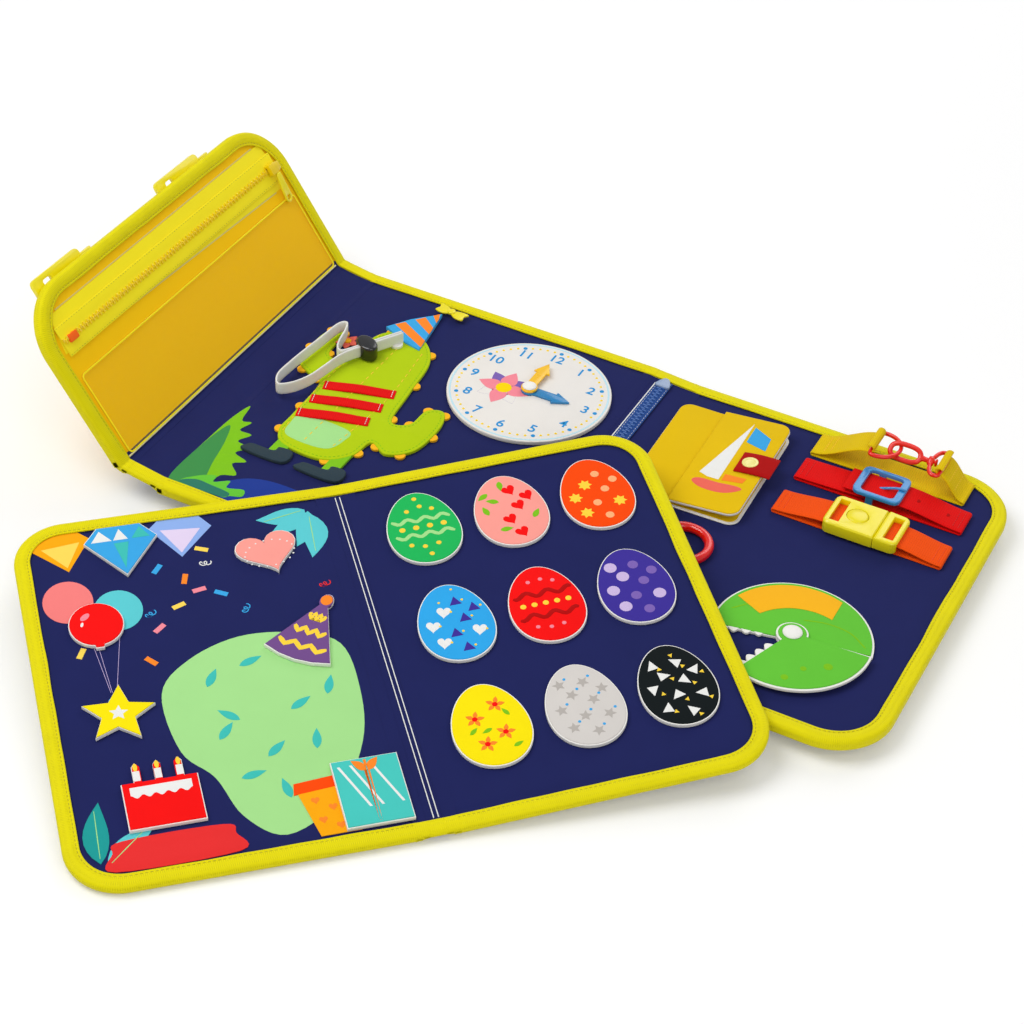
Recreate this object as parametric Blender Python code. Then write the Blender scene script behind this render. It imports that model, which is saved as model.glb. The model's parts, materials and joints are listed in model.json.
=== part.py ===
"""Busy board backpack, opened flat, with its felt book leaning on it.

Lengths are metres, +Z is up and +Y runs from the near edge to the far edge. The origin is the middle
of the near shoulder strap's underside. Every board has a face frame: x runs along the chain of boards from
its left crease, y from its near edge, and z from its top face.
"""
import math

import bmesh
import bpy
from mathutils import Vector

# Boards and soft strips
BOARD_DEPTH = 0.320
BOARD_THICKNESS = 0.008
MIDDLE_WIDTH = 0.252
SPINE_WIDTH = 0.040
END_WIDTH = 0.262
FLAP_STRIP_WIDTH = 0.030
FLAP_LENGTH = 0.1375
SOFT_THICKNESS = 0.004
CORNER_RADIUS = 0.045
FLAP_STRIP_TILT = math.radians(9)
FLAP_TILT = math.radians(46)

# Edge binding and running gaps
TAPE = 0.0012
BINDING_FACE = 0.011
FIT_GAP = 0.0003
CREASE_SHARE = 0.02
BINDING_PROUD = TAPE + FIT_GAP
CORNER_STEPS = 7

# Shoulder straps and closure sockets, which the open bag rests on
STRAP_THICKNESS = 0.012
STRAP_WIDTH = 0.050
STRAP_TAIL_WIDTH = 0.025
STRAP_TAIL_THICKNESS = 0.0025
STRAP_TOP_SPACING = 0.120
STRAP_FOOT_SPACING = 0.190
STRAP_END_MARGIN = 0.012
HAUL_LOOP_SAG = 0.004
HAUL_LOOP_SPAN = 0.060
SOCKET_THICKNESS = 0.009
SOCKET_LENGTH = 0.040
SOCKET_WIDTH = 0.036
SOCKET_SLOT_HEIGHT = 0.0036
SOCKET_SLOT_WIDTH = 0.022
SOCKET_X = 0.070
SOCKET_Y_SHARES = (0.25, 0.77)

# Felt book
PAGE_WIDTH = 0.220
PAGE_THICKNESS = 0.0055
BOOK_SPINE_WIDTH = 0.020
PAGE_RADIUS = 0.037
BOOK_YAW = math.radians(43)
BOOK_PLACE_X = 0.336
BOOK_PLACE_Y = -0.184
BOOK_REST_SLACK = 0.0011

# Felt, foam, webbing and moulded sheet
FELT = 0.003
FOAM = 0.0035
WEBBING = 0.0016
WEBBING_WIDTH = 0.0255
MOULDED = 0.003
RIVET_RADIUS = 0.0075
RIVET_HEAD = 0.002
ROUND_STEPS = 24

# Heights of the floor below the faces
STRAP_LAYER = STRAP_THICKNESS + FIT_GAP
END_DROP = STRAP_THICKNESS - SOCKET_THICKNESS
FLOOR_DEPTH = BOARD_THICKNESS + STRAP_LAYER
SPINE_SLOPE = math.asin(END_DROP / SPINE_WIDTH)

COLOURS = {
    "binding": ("#EEDC05", 0.75),
    "navy": ("#1F2560", 0.85),
    "flap": ("#F7C800", 0.5),
    "clear": ("#F5D21A", 0.2),
    "strap": ("#232A66", 0.85),
    "lime": ("#B9CF00", 0.8),
    "red": ("#E51005", 0.7),
    "white": ("#E8E4DE", 0.7),
    "black": ("#15161A", 0.5),
    "orange": ("#FF5205", 0.7),
    "yellow": ("#F5E600", 0.4),
    "card": ("#E8C000", 0.8),
    "blue": ("#3A8FD0", 0.4),
    "zip": ("#2F5FA8", 0.6),
    "green": ("#6BCB3C", 0.8),
    "pink": ("#FFA79A", 0.8),
    "purple": ("#3E3098", 0.8),
    "grey": ("#D5D0CB", 0.8),
    "teal": ("#48C8BE", 0.8),
    "sky": ("#2EA7EA", 0.8),
}


def clear_scene():
    """Remove what the opened file holds."""
    for item in list(bpy.data.objects):
        bpy.data.objects.remove(item, do_unlink=True)


def finish_material(name):
    """Return the Principled material of a colour name, made once."""
    found = bpy.data.materials.get(name)
    if found:
        return found
    code, roughness = COLOURS[name]
    material = bpy.data.materials.new(name)
    material.use_nodes = True
    shader = material.node_tree.nodes["Principled BSDF"]
    channels = [int(code[place:place + 2], 16) / 255 for place in (1, 3, 5)]
    shader.inputs["Base Color"].default_value = (*[value ** 2.2 for value in channels], 1)
    shader.inputs["Roughness"].default_value = roughness
    return material


def pivot(name, parent=None, place=(0, 0, 0), turn=(0, 0, 0)):
    """Return an empty that carries the pieces of one frame."""
    empty = bpy.data.objects.new(name, None)
    bpy.context.scene.collection.objects.link(empty)
    empty.parent = parent
    empty.location = place
    empty.rotation_euler = turn
    return empty


def piece(name, mesh, colour, parent, place=(0, 0, 0), turn=(0, 0, 0), smooth=None):
    """Turn a bmesh into the named object and hang it on its frame."""
    bmesh.ops.recalc_face_normals(mesh, faces=mesh.faces)
    data = bpy.data.meshes.new(name)
    mesh.to_mesh(data)
    mesh.free()
    item = bpy.data.objects.new(name, data)
    bpy.context.scene.collection.objects.link(item)
    data.materials.append(finish_material(colour))
    if smooth is not None:
        data.shade_smooth()
        data.set_sharp_from_angle(angle=math.radians(smooth))
    item.parent = parent
    item.location = place
    item.rotation_euler = turn
    return item


def cut(item, cutter_mesh, name):
    """Subtract a wire cutter, hung beside the piece, from the piece."""
    bmesh.ops.recalc_face_normals(cutter_mesh, faces=cutter_mesh.faces)
    data = bpy.data.meshes.new(name)
    cutter_mesh.to_mesh(data)
    cutter_mesh.free()
    cutter = bpy.data.objects.new(name, data)
    bpy.context.scene.collection.objects.link(cutter)
    cutter.hide_render = True
    cutter.display_type = "WIRE"
    cutter.parent = item
    modifier = item.modifiers.new(name, "BOOLEAN")
    modifier.operation = "DIFFERENCE"
    modifier.object = cutter


def join(item, helper_mesh, name):
    """Fuse a wire helper, hung beside the piece, with the piece."""
    cut(item, helper_mesh, name)
    item.modifiers[name].operation = "UNION"


# Shape tools

def turned(mesh, pairs, steps=12):
    """Stack circles of (x, radius) pairs along the x axis, capped at both ends."""
    return loft(mesh, [[Vector((x, y, z)) for y, z in circle((0, 0), radius, steps)] for x, radius in pairs])


def loft(mesh, rings, closed_path=False):
    """Skin rings of equal point counts, with caps unless the path closes on itself."""
    rows = [[mesh.verts.new(point) for point in ring] for ring in rings]
    pairs = list(zip(rows, rows[1:]))
    if closed_path:
        pairs.append((rows[-1], rows[0]))
    for low, high in pairs:
        count = len(low)
        for start in range(count):
            after = (start + 1) % count
            mesh.faces.new((low[start], low[after], high[after], high[start]))
    if not closed_path:
        mesh.faces.new(list(reversed(rows[0])))
        mesh.faces.new(rows[-1])
    return mesh


def level(outline, height):
    """Lift an outline of (x, y) points to one height."""
    return [Vector((x, y, height)) for x, y in outline]


def plate(mesh, outline, low, high):
    """Add an outline extruded from one height to another."""
    return loft(mesh, [level(outline, low), level(outline, high)])


def arc(centre, radius, start, end, steps):
    """Return points along an arc, its angles in degrees, both ends included."""
    points = []
    for step in range(steps + 1):
        angle = math.radians(start + (end - start) * step / steps)
        points.append((centre[0] + radius * math.cos(angle), centre[1] + radius * math.sin(angle)))
    return points


def circle(centre, radius, steps=ROUND_STEPS):
    """Return a closed circle of points."""
    return arc(centre, radius, 0, 360, steps)[:-1]


def rounded(low, high, radius, steps=4):
    """Return a rectangle with four equal round corners."""
    (x0, y0), (x1, y1) = low, high
    points = arc((x1 - radius, y0 + radius), radius, -90, 0, steps)
    points += arc((x1 - radius, y1 - radius), radius, 0, 90, steps)
    points += arc((x0 + radius, y1 - radius), radius, 90, 180, steps)
    points += arc((x0 + radius, y0 + radius), radius, 180, 270, steps)
    return points


def box_outline(low, high):
    """Return a plain rectangle."""
    return [(low[0], low[1]), (high[0], low[1]), (high[0], high[1]), (low[0], high[1])]


def grown(outline, amount):
    """Return an outline moved outward by an amount along its point normals."""
    count = len(outline)
    moved = []
    for index, (x, y) in enumerate(outline):
        before = Vector(outline[index - 1])
        after = Vector(outline[(index + 1) % count])
        along = (after - before).normalized()
        moved.append((x + along.y * amount, y - along.x * amount))
    return moved


def lathe(mesh, profile, centre=(0, 0), steps=ROUND_STEPS):
    """Stack circles of (radius, height) pairs, capped at both ends."""
    return loft(mesh, [level(circle(centre, radius, steps), height) for radius, height in profile])


def dome_profile(radius, low, rise, steps=4):
    """Return the (radius, height) pairs of a domed head."""
    pairs = [(radius, low)]
    for step in range(1, steps):
        angle = math.radians(90) * step / steps
        pairs.append((radius * math.cos(angle), low + rise * math.sin(angle)))
    return pairs


def ribbon(mesh, path, thickness, start, end, closed_path=False, upright=False):
    """Sweep a flat band along a path of (x, z) points between two y places.

    An upright band follows (x, y) points and stands between two heights instead.
    """
    count = len(path)
    rings = []
    for index, (x, other) in enumerate(path):
        before = Vector(path[index - 1] if index or closed_path else path[0])
        after = Vector(path[(index + 1) % count] if index < count - 1 or closed_path else path[-1])
        along = (after - before).normalized()
        side = Vector((-along.y, along.x)) * thickness / 2
        corners = []
        for sign, edge in ((1, start), (1, end), (-1, end), (-1, start)):
            spot = (x + sign * side.x, other + sign * side.y)
            corners.append(Vector((*spot, edge)) if upright else Vector((spot[0], edge, spot[1])))
        rings.append(corners)
    return loft(mesh, rings, closed_path)


def tube(mesh, points, radius, sides=10, closed_path=False):
    """Sweep a round section along a path of 3-D points."""
    count = len(points)
    spots = [Vector(point) for point in points]
    rings = []
    guide = None
    for index, spot in enumerate(spots):
        before = spots[index - 1] if index or closed_path else spots[0]
        after = spots[(index + 1) % count] if index < count - 1 or closed_path else spots[-1]
        along = (after - before).normalized()
        if guide is None:
            guide = along.orthogonal().normalized()
        guide = (guide - along * guide.dot(along)).normalized()
        other = along.cross(guide)
        ring = []
        for side in range(sides):
            angle = math.tau * side / sides
            ring.append(spot + guide * radius * math.cos(angle) + other * radius * math.sin(angle))
        rings.append(ring)
    return loft(mesh, rings, closed_path)


def curve_through(points, steps):
    """Return a smooth Catmull-Rom path through hand-placed points."""
    spots = [Vector(point) for point in points]
    spots = [spots[0] * 2 - spots[1]] + spots + [spots[-1] * 2 - spots[-2]]
    path = []
    for index in range(1, len(spots) - 2):
        before, start, end, after = spots[index - 1:index + 3]
        for step in range(steps):
            share = step / steps
            path.append((start * 2 + (end - before) * share
                         + (before * 2 - start * 5 + end * 4 - after) * share ** 2
                         + (start * 3 - before - end * 3 + after) * share ** 3) / 2)
    path.append(spots[-2])
    return path


def closed_curve(points, steps):
    """Return a smooth closed outline of (x, y) points."""
    count = len(points)
    outline = []
    for index in range(count):
        before, start, end, after = [Vector(points[(index + shift) % count]) for shift in (-1, 0, 1, 2)]
        for step in range(steps):
            share = step / steps
            spot = (start * 2 + (end - before) * share
                    + (before * 2 - start * 5 + end * 4 - after) * share ** 2
                    + (start * 3 - before - end * 3 + after) * share ** 3) / 2
            outline.append((spot.x, spot.y))
    return outline


def scaled(shares, size, place=(0, 0)):
    """Return an outline given as shares of a size, moved to its place."""
    return [(place[0] + x * size[0], place[1] + y * size[1]) for x, y in shares]


# Bound boards and pages

def bound_outline(width, depth, radius, sides, inset):
    """Return a board's outline, drawn in along its bound sides.

    Sides names the bound sides among left and right; the near and far sides are always bound. A
    bound side has round corners, and a side at a hinge has square ones, just short of its crease.
    """
    crease = FIT_GAP + inset * CREASE_SHARE
    left = inset if "left" in sides else crease
    right = width - inset if "right" in sides else width - crease
    near = inset
    far = depth - inset
    bend = max(radius - inset, TAPE)
    points = []
    if "right" in sides:
        points += arc((right - bend, near + bend), bend, -90, 0, CORNER_STEPS)
        points += arc((right - bend, far - bend), bend, 0, 90, CORNER_STEPS)
    else:
        points += [(right, near), (right, far)]
    if "left" in sides:
        points += arc((left + bend, far - bend), bend, 90, 180, CORNER_STEPS)
        points += arc((left + bend, near + bend), bend, 180, 270, CORNER_STEPS)
    else:
        points += [(left, far), (left, near)]
    return points


def bound_board(width, depth, radius, sides, thickness):
    """Return a board whose rim is rebated underneath for the binding's lower flange."""
    mesh = bmesh.new()
    rebate = bound_outline(width, depth, radius, sides, BINDING_FACE + FIT_GAP)
    edge = bound_outline(width, depth, radius, sides, BINDING_PROUD)
    return loft(mesh, [
        level(rebate, -thickness),
        level(rebate, -thickness + BINDING_PROUD),
        level(edge, -thickness + BINDING_PROUD),
        level(edge, 0),
    ])


def channel_section(thickness):
    """Return the folded tape's section as (inset, height) pairs."""
    low = -thickness
    top = BINDING_PROUD
    soft = TAPE / 2
    return [
        (BINDING_FACE, low),
        (BINDING_FACE, low + TAPE),
        (TAPE, low + TAPE),
        (TAPE, top - TAPE),
        (BINDING_FACE, top - TAPE),
        (BINDING_FACE, top),
        (soft, top),
        (0, top - soft),
        (0, low + soft),
        (soft, low),
    ]


def edge_stations(width, depth, radius, sides):
    """Return runs of (point, inward direction) along the bound edges."""
    near_in = Vector((0, 1))
    far_in = Vector((0, -1))
    if sides == "":
        return [
            [(Vector((FIT_GAP, 0)), near_in), (Vector((width - FIT_GAP, 0)), near_in)],
            [(Vector((FIT_GAP, depth)), far_in), (Vector((width - FIT_GAP, depth)), far_in)],
        ]
    outer = width if sides == "right" else 0
    inner = FIT_GAP if sides == "right" else width - FIT_GAP
    bend = outer - radius if sides == "right" else outer + radius
    turn = 1 if sides == "right" else -1
    run = [(Vector((inner, 0)), near_in)]
    for centre_y, start in ((radius, -90), (depth - radius, 0)):
        for step in range(CORNER_STEPS + 1):
            angle = math.radians(start + 90 * step / CORNER_STEPS)
            outward = Vector((math.cos(angle) * turn, math.sin(angle)))
            run.append((Vector((bend, centre_y)) + outward * radius, -outward))
    run.append((Vector((inner, depth)), far_in))
    return [run]


def edge_binding(width, depth, radius, sides, thickness):
    """Return the tape folded round a board's bound edges."""
    mesh = bmesh.new()
    section = channel_section(thickness)
    for run in edge_stations(width, depth, radius, sides):
        rings = []
        for point, inward in run:
            rings.append([Vector((*(point + inward * inset), height)) for inset, height in section])
        loft(mesh, rings)
    return mesh


def soft_strip(left, right, depth, thickness):
    """Return a soft strip between two creases, its two ends bound like the boards beside it."""
    mesh = bmesh.new()
    section = [
        (0, -thickness), (depth, -thickness), (depth, BINDING_PROUD - TAPE / 2),
        (depth - TAPE / 2, BINDING_PROUD), (depth - BINDING_FACE, BINDING_PROUD), (depth - BINDING_FACE, 0),
        (BINDING_FACE, 0), (BINDING_FACE, BINDING_PROUD), (TAPE / 2, BINDING_PROUD),
        (0, BINDING_PROUD - TAPE / 2),
    ]
    return loft(mesh, [[Vector((x, y, z)) for y, z in section] for x in (left + FIT_GAP, right - FIT_GAP)])


def face_frame(name, hinge):
    """Return the frame of a board's top face, below its hinge axis."""
    return pivot(name, hinge, (0, 0, -BINDING_PROUD))


# Middle board

FIGURE_X = 0.008
FIGURE_Y = 0.086
FIGURE_WIDTH = 0.138
FIGURE_HEIGHT = 0.172
FIGURE_SHARES = [
    (0.34, 0.00), (0.58, -0.01), (0.71, 0.08), (0.74, 0.20), (0.86, 0.16), (0.98, 0.25), (1.00, 0.44),
    (0.95, 0.55), (0.86, 0.52), (0.84, 0.40), (0.74, 0.38), (0.70, 0.60), (0.66, 0.84), (0.55, 0.97),
    (0.41, 1.00), (0.28, 0.93), (0.23, 0.76), (0.20, 0.66), (0.12, 0.68), (0.10, 0.84), (0.03, 0.86),
    (-0.01, 0.76), (0.02, 0.56), (0.12, 0.50), (0.22, 0.46), (0.24, 0.22), (0.25, 0.08),
]
SHOE_LENGTH = 0.035
SHOE_HEIGHT = 0.015
SHOE_SHARES = [(0.0, 0.0), (0.95, 0.0), (1.0, 0.95), (0.66, 1.0), (0.60, 0.62), (0.12, 0.60), (0.0, 0.4)]
SHOE_X_SHARES = (0.17, 0.50)
SHOE_Y = 0.0665
LEG_WIDTH = 0.012
LEG_SHARE = 0.66
HAT_X = 0.046
HAT_Y = 0.2405
HAT_WIDTH = 0.038
HAT_HEIGHT = 0.056
HAT_SHARES = [
    (0.00, 0.26), (0.30, 0.14), (0.62, 0.05), (1.00, 0.00), (0.84, 0.84), (1.14, 0.86), (1.18, 0.98),
    (0.86, 1.00), (0.80, 1.14), (0.62, 1.10), (0.66, 0.94), (0.33, 0.60),
]
SASH_LENGTH = 0.056
SASH_WIDTH = 0.0105
SASH_THICKNESS = 0.0015
SASH_TILT = math.radians(17)
SASH_X = 0.070
SASH_Y_SHARES = (0.27, 0.385, 0.50)
ELASTIC_THICKNESS = 0.0014
ELASTIC_WIDTH = 0.010
ELASTIC_LIFT = 0.002
ELASTIC_SPACING = 0.0024
ELASTIC_LEAD = 0.016
ELASTIC_TAIL = 0.032
LOOP_LENGTH = 0.100
LOOP_NEAR_SHARES = [(0.41, 0.53), (0.385, 0.37), (0.355, 0.21), (0.29, 0.07), (0.20, 0.00)]
LOOP_FAR_SHARES = [
    (0.135, 0.11), (0.135, 0.30), (0.15, 0.50), (0.17, 0.70), (0.19, 0.91), (0.24, 0.96), (0.28, 0.87),
    (0.31, 0.73), (0.345, 0.64), (0.39, 0.615),
]
LOOP_Y = 0.135
TOGGLE_X = 0.052
TOGGLE_Y = 0.214
TOGGLE_LENGTH = 0.022
TOGGLE_REACH = 0.015
TOGGLE_WALL = 0.0014
TOGGLE_TURN = math.radians(60)
CLOCK_X = 0.183
CLOCK_MARGIN = 0.083
CLOCK_Y = BOARD_DEPTH - CLOCK_MARGIN
CLOCK_RADIUS = 0.0637
HAND_THICKNESS = 0.002
HAND_LENGTH = 0.0345
HAND_WIDTH = 0.008
HAND_HUB = 0.0065
HAND_HOLE = 0.0033
HAND_SHARES = [(0.5, 0.62), (0.85, 0.62), (0.0, 1.0), (-0.85, 0.62), (-0.5, 0.62)]
POST_RADIUS = 0.0028
POST_HEAD = 0.0055
FELT_TOP = FIT_GAP + FELT


def strap_section(x, middle, width, thickness):
    """Return a padded strap's section, flat above and soft at its sides."""
    top = -BOARD_THICKNESS - FIT_GAP
    foot = top - thickness
    soft = thickness / 3
    half = width / 2
    pairs = [
        (half - soft, top), (-half + soft, top), (-half, top - soft), (-half, foot + soft),
        (-half + soft, foot), (half - soft, foot), (half, foot + soft), (half, top - soft),
    ]
    return [Vector((x, middle + y, z)) for y, z in pairs]


def shoulder_straps():
    """Return two padded straps that end in webbing tails."""
    mesh = bmesh.new()
    length = MIDDLE_WIDTH - 2 * STRAP_END_MARGIN
    stations = 15
    for side in (-1, 1):
        rings = []
        for station in range(stations + 1):
            share = station / stations
            ease = share * share * (3 - 2 * share)
            padding = min(1, 0.5 + 5 * share, max(0, (0.72 - share) * 10))
            half_gap = (STRAP_TOP_SPACING + (STRAP_FOOT_SPACING - STRAP_TOP_SPACING) * ease) / 2
            width = STRAP_TAIL_WIDTH + (STRAP_WIDTH - STRAP_TAIL_WIDTH) * padding
            thickness = STRAP_TAIL_THICKNESS + (STRAP_THICKNESS - STRAP_TAIL_THICKNESS) * padding
            rings.append(strap_section(STRAP_END_MARGIN + length * share,
                                       BOARD_DEPTH / 2 + side * half_gap, width, thickness))
        loft(mesh, rings)
    return mesh


def strap_yoke():
    """Return the yoke sewn across the tops of both straps."""
    top = -BOARD_THICKNESS - 2 * FIT_GAP
    half = STRAP_TOP_SPACING / 2 + STRAP_TAIL_WIDTH / 3
    outline = box_outline((STRAP_END_MARGIN + FIT_GAP, BOARD_DEPTH / 2 - half),
                          (STRAP_END_MARGIN + WEBBING_WIDTH, BOARD_DEPTH / 2 + half))
    return plate(bmesh.new(), outline, top - 2 * WEBBING, top)


def haul_loop():
    """Return the haul loop that hangs from the yoke."""
    top = -BOARD_THICKNESS - FIT_GAP - 2 * WEBBING
    half = HAUL_LOOP_SPAN / 2
    low = STRAP_END_MARGIN + 2 * FIT_GAP
    high = STRAP_END_MARGIN + WEBBING_WIDTH - 2 * FIT_GAP
    rings = []
    for share in (-1, -0.85, -0.6, -0.3, 0, 0.3, 0.6, 0.85, 1):
        y = BOARD_DEPTH / 2 + half * share
        z = top - HAUL_LOOP_SAG * (1 - abs(share) ** 3)
        rings.append([Vector((x, y, z + rise)) for x, rise in (
            (low, WEBBING / 2), (high, WEBBING / 2), (high, -WEBBING / 2), (low, -WEBBING / 2))])
    return loft(bmesh.new(), rings)


def binding_link():
    """Return the seam tape under the left crease, which joins the two runs of the binding."""
    mesh = bmesh.new()
    low = -BOARD_THICKNESS - FIT_GAP - TAPE
    high = BINDING_FACE - 2 * FIT_GAP
    outline = box_outline((2 * FIT_GAP, TAPE), (high, BOARD_DEPTH - TAPE))
    plate(mesh, outline, low, low + TAPE)
    return mesh


def link_ends():
    """Return the two steps where the seam tape meets the binding's runs."""
    mesh = bmesh.new()
    low = -BOARD_THICKNESS - TAPE
    high = BINDING_FACE - 2 * FIT_GAP
    for start, end in ((2 * TAPE, high), (BOARD_DEPTH - high, BOARD_DEPTH - 2 * TAPE)):
        plate(mesh, box_outline((3 * FIT_GAP, start), (high - FIT_GAP, end)), low, low + TAPE + FIT_GAP * 2)
    return mesh


def felt_figure():
    """Return the lacing figure's body."""
    mesh = bmesh.new()
    body = closed_curve(scaled(FIGURE_SHARES, (FIGURE_WIDTH, FIGURE_HEIGHT), (FIGURE_X, FIGURE_Y)), 2)
    plate(mesh, body, FIT_GAP, FELT_TOP)
    return mesh


def figure_trims():
    """Return what is sewn on the figure: its hat, its two shoes and the three bands across it."""
    mesh = bmesh.new()
    hat = scaled(HAT_SHARES, (HAT_WIDTH, HAT_HEIGHT), (HAT_X, HAT_Y))
    plate(mesh, hat, FIT_GAP * 2, FELT_TOP + SASH_THICKNESS)
    for share in SHOE_X_SHARES:
        shoe = scaled(SHOE_SHARES, (SHOE_LENGTH, SHOE_HEIGHT), (FIGURE_X + FIGURE_WIDTH * share, SHOE_Y))
        plate(mesh, shoe, FIT_GAP, FELT_TOP)
    for share in SASH_Y_SHARES:
        centre = Vector((SASH_X, FIGURE_Y + FIGURE_HEIGHT * share))
        along = Vector((math.cos(SASH_TILT), math.sin(SASH_TILT))) * SASH_LENGTH / 2
        across = Vector((-math.sin(SASH_TILT), math.cos(SASH_TILT))) * SASH_WIDTH / 2
        corners = [centre - along - across, centre + along - across, centre + along + across,
                   centre - along + across]
        plate(mesh, [tuple(corner) for corner in corners], FELT_TOP - FIT_GAP, FELT_TOP + SASH_THICKNESS)
    return mesh


def figure_legs():
    """Return the two legs between the figure's body and its shoes."""
    mesh = bmesh.new()
    half = LEG_WIDTH / 2
    for share in SHOE_X_SHARES:
        x = FIGURE_X + FIGURE_WIDTH * share + SHOE_LENGTH * LEG_SHARE
        outline = box_outline((x - half, SHOE_Y + SHOE_HEIGHT * 0.3), (x + half, FIGURE_Y + SHOE_HEIGHT))
        plate(mesh, outline, FIT_GAP * 2, FELT_TOP - FIT_GAP)
    return mesh


def elastic_loop():
    """Return the elastic band, doubled through its toggle."""
    mesh = bmesh.new()
    along = Vector((math.cos(TOGGLE_TURN), math.sin(TOGGLE_TURN)))
    across = Vector((-along.y, along.x)) * ELASTIC_SPACING / 2
    centre = Vector((TOGGLE_X, TOGGLE_Y))
    head = centre + along * ELASTIC_TAIL
    foot = centre - along * ELASTIC_LEAD
    near = scaled(LOOP_NEAR_SHARES, (LOOP_LENGTH, LOOP_LENGTH), (0, LOOP_Y))
    far = scaled(LOOP_FAR_SHARES, (LOOP_LENGTH, LOOP_LENGTH), (0, LOOP_Y))
    spots = [head - across, centre - across, foot - across, *near, *far, foot + across, centre + across,
             head + across]
    path = curve_through([Vector((*spot, 0)) for spot in spots], 3)
    low = FELT_TOP + ELASTIC_LIFT
    return ribbon(mesh, [(spot.x, spot.y) for spot in path], ELASTIC_THICKNESS, low, low + ELASTIC_WIDTH,
                  upright=True)


def elastic_patch():
    """Return the patch that holds both strands' ends on the figure."""
    along = Vector((math.cos(TOGGLE_TURN), math.sin(TOGGLE_TURN)))
    centre = Vector((TOGGLE_X, TOGGLE_Y)) + along * (ELASTIC_TAIL - ELASTIC_WIDTH / 2)
    low = FELT_TOP + FIT_GAP
    return plate(bmesh.new(), circle(centre, ELASTIC_WIDTH / 2, 12), low, low + ELASTIC_LIFT)


def cord_toggle():
    """Return the oval toggle with the slot that the doubled elastic runs through."""
    mesh = bmesh.new()
    outline = [(TOGGLE_REACH / 2 * math.cos(angle), TOGGLE_LENGTH / 2 * math.sin(angle))
               for angle in (math.tau * step / 20 for step in range(20))]
    low = FIT_GAP
    high = ELASTIC_LIFT + ELASTIC_WIDTH + FIT_GAP + TOGGLE_WALL
    soft = TOGGLE_WALL
    inner = grown(outline, -soft)
    return loft(mesh, [level(inner, low), level(outline, low + soft), level(outline, high - soft),
                       level(inner, high)])


def toggle_slot():
    """Return the cutter of the toggle's slot."""
    half = ELASTIC_SPACING / 2 + ELASTIC_THICKNESS / 2 + FIT_GAP
    low = ELASTIC_LIFT - FIT_GAP
    high = ELASTIC_LIFT + ELASTIC_WIDTH + FIT_GAP
    mesh = bmesh.new()
    return plate(mesh, box_outline((-TOGGLE_REACH, -half), (TOGGLE_REACH, half)), low, high)


def clock_face():
    """Return the clock disc with the rivet that both hands turn on."""
    mesh = bmesh.new()
    top = FIT_GAP + FOAM
    head = top + 2 * HAND_THICKNESS + 3 * FIT_GAP
    return lathe(mesh, [
        (CLOCK_RADIUS, FIT_GAP), (CLOCK_RADIUS, top - FIT_GAP), (CLOCK_RADIUS - FIT_GAP, top),
        (POST_RADIUS, top), (POST_RADIUS, head),
        *dome_profile(POST_HEAD, head, RIVET_HEAD)], steps=36)


def clock_hand(length):
    """Return an arrow-shaped hand along +Y with a round hub."""
    mesh = bmesh.new()
    start = math.degrees(math.asin(HAND_WIDTH / 2 / HAND_HUB))
    hub = arc((0, 0), HAND_HUB, 90 + start, 450 - start, 14)
    outline = hub + scaled(HAND_SHARES, (HAND_WIDTH, length))
    return plate(mesh, outline, 0, HAND_THICKNESS)


def hub_hole():
    """Return the cutter of a hand's hole."""
    return lathe(bmesh.new(), [(HAND_HOLE, -HAND_THICKNESS), (HAND_HOLE, 2 * HAND_THICKNESS)], steps=16)


def build_middle(face):
    """Build the middle board with everything that stays on it or moves on it."""
    piece("middle_panel", bound_board(MIDDLE_WIDTH, BOARD_DEPTH, CORNER_RADIUS, "", BOARD_THICKNESS),
          "navy", face)
    strip = edge_binding(MIDDLE_WIDTH, BOARD_DEPTH, CORNER_RADIUS, "", BOARD_THICKNESS)
    tape = piece("middle_binding", strip, "binding", face)
    join(tape, binding_link(), "binding_link")
    join(tape, link_ends(), "link_ends")
    straps = piece("shoulder_straps", shoulder_straps(), "strap", face)
    join(straps, strap_yoke(), "strap_yoke")
    join(straps, haul_loop(), "haul_loop")
    figure = piece("felt_figure", felt_figure(), "lime", face)
    join(figure, figure_trims(), "figure_trims")
    join(figure, figure_legs(), "figure_legs")
    elastic = piece("elastic_loop", elastic_loop(), "white", face)
    join(elastic, elastic_patch(), "elastic_patch")
    toggle = piece("cord_toggle", cord_toggle(), "black", face, (TOGGLE_X, TOGGLE_Y, FELT_TOP),
                   (0, 0, TOGGLE_TURN), smooth=40)
    cut(toggle, toggle_slot(), "toggle_slot")
    clock = piece("clock_face", clock_face(), "white", face, (CLOCK_X, CLOCK_Y, 0), smooth=30)
    hand_place = (CLOCK_X, CLOCK_Y, FIT_GAP + FOAM + FIT_GAP)
    hour = piece("hour_hand", clock_hand(HAND_LENGTH), "blue", face, hand_place, (0, 0, math.radians(-90)))
    cut(hour, hub_hole(), "hour_hole")
    minute = piece("minute_hand", clock_hand(HAND_LENGTH), "card", face,
                   (CLOCK_X, CLOCK_Y, hand_place[2] + HAND_THICKNESS + FIT_GAP))
    cut(minute, hub_hole(), "minute_hole")
    return clock


# Flap

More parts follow.
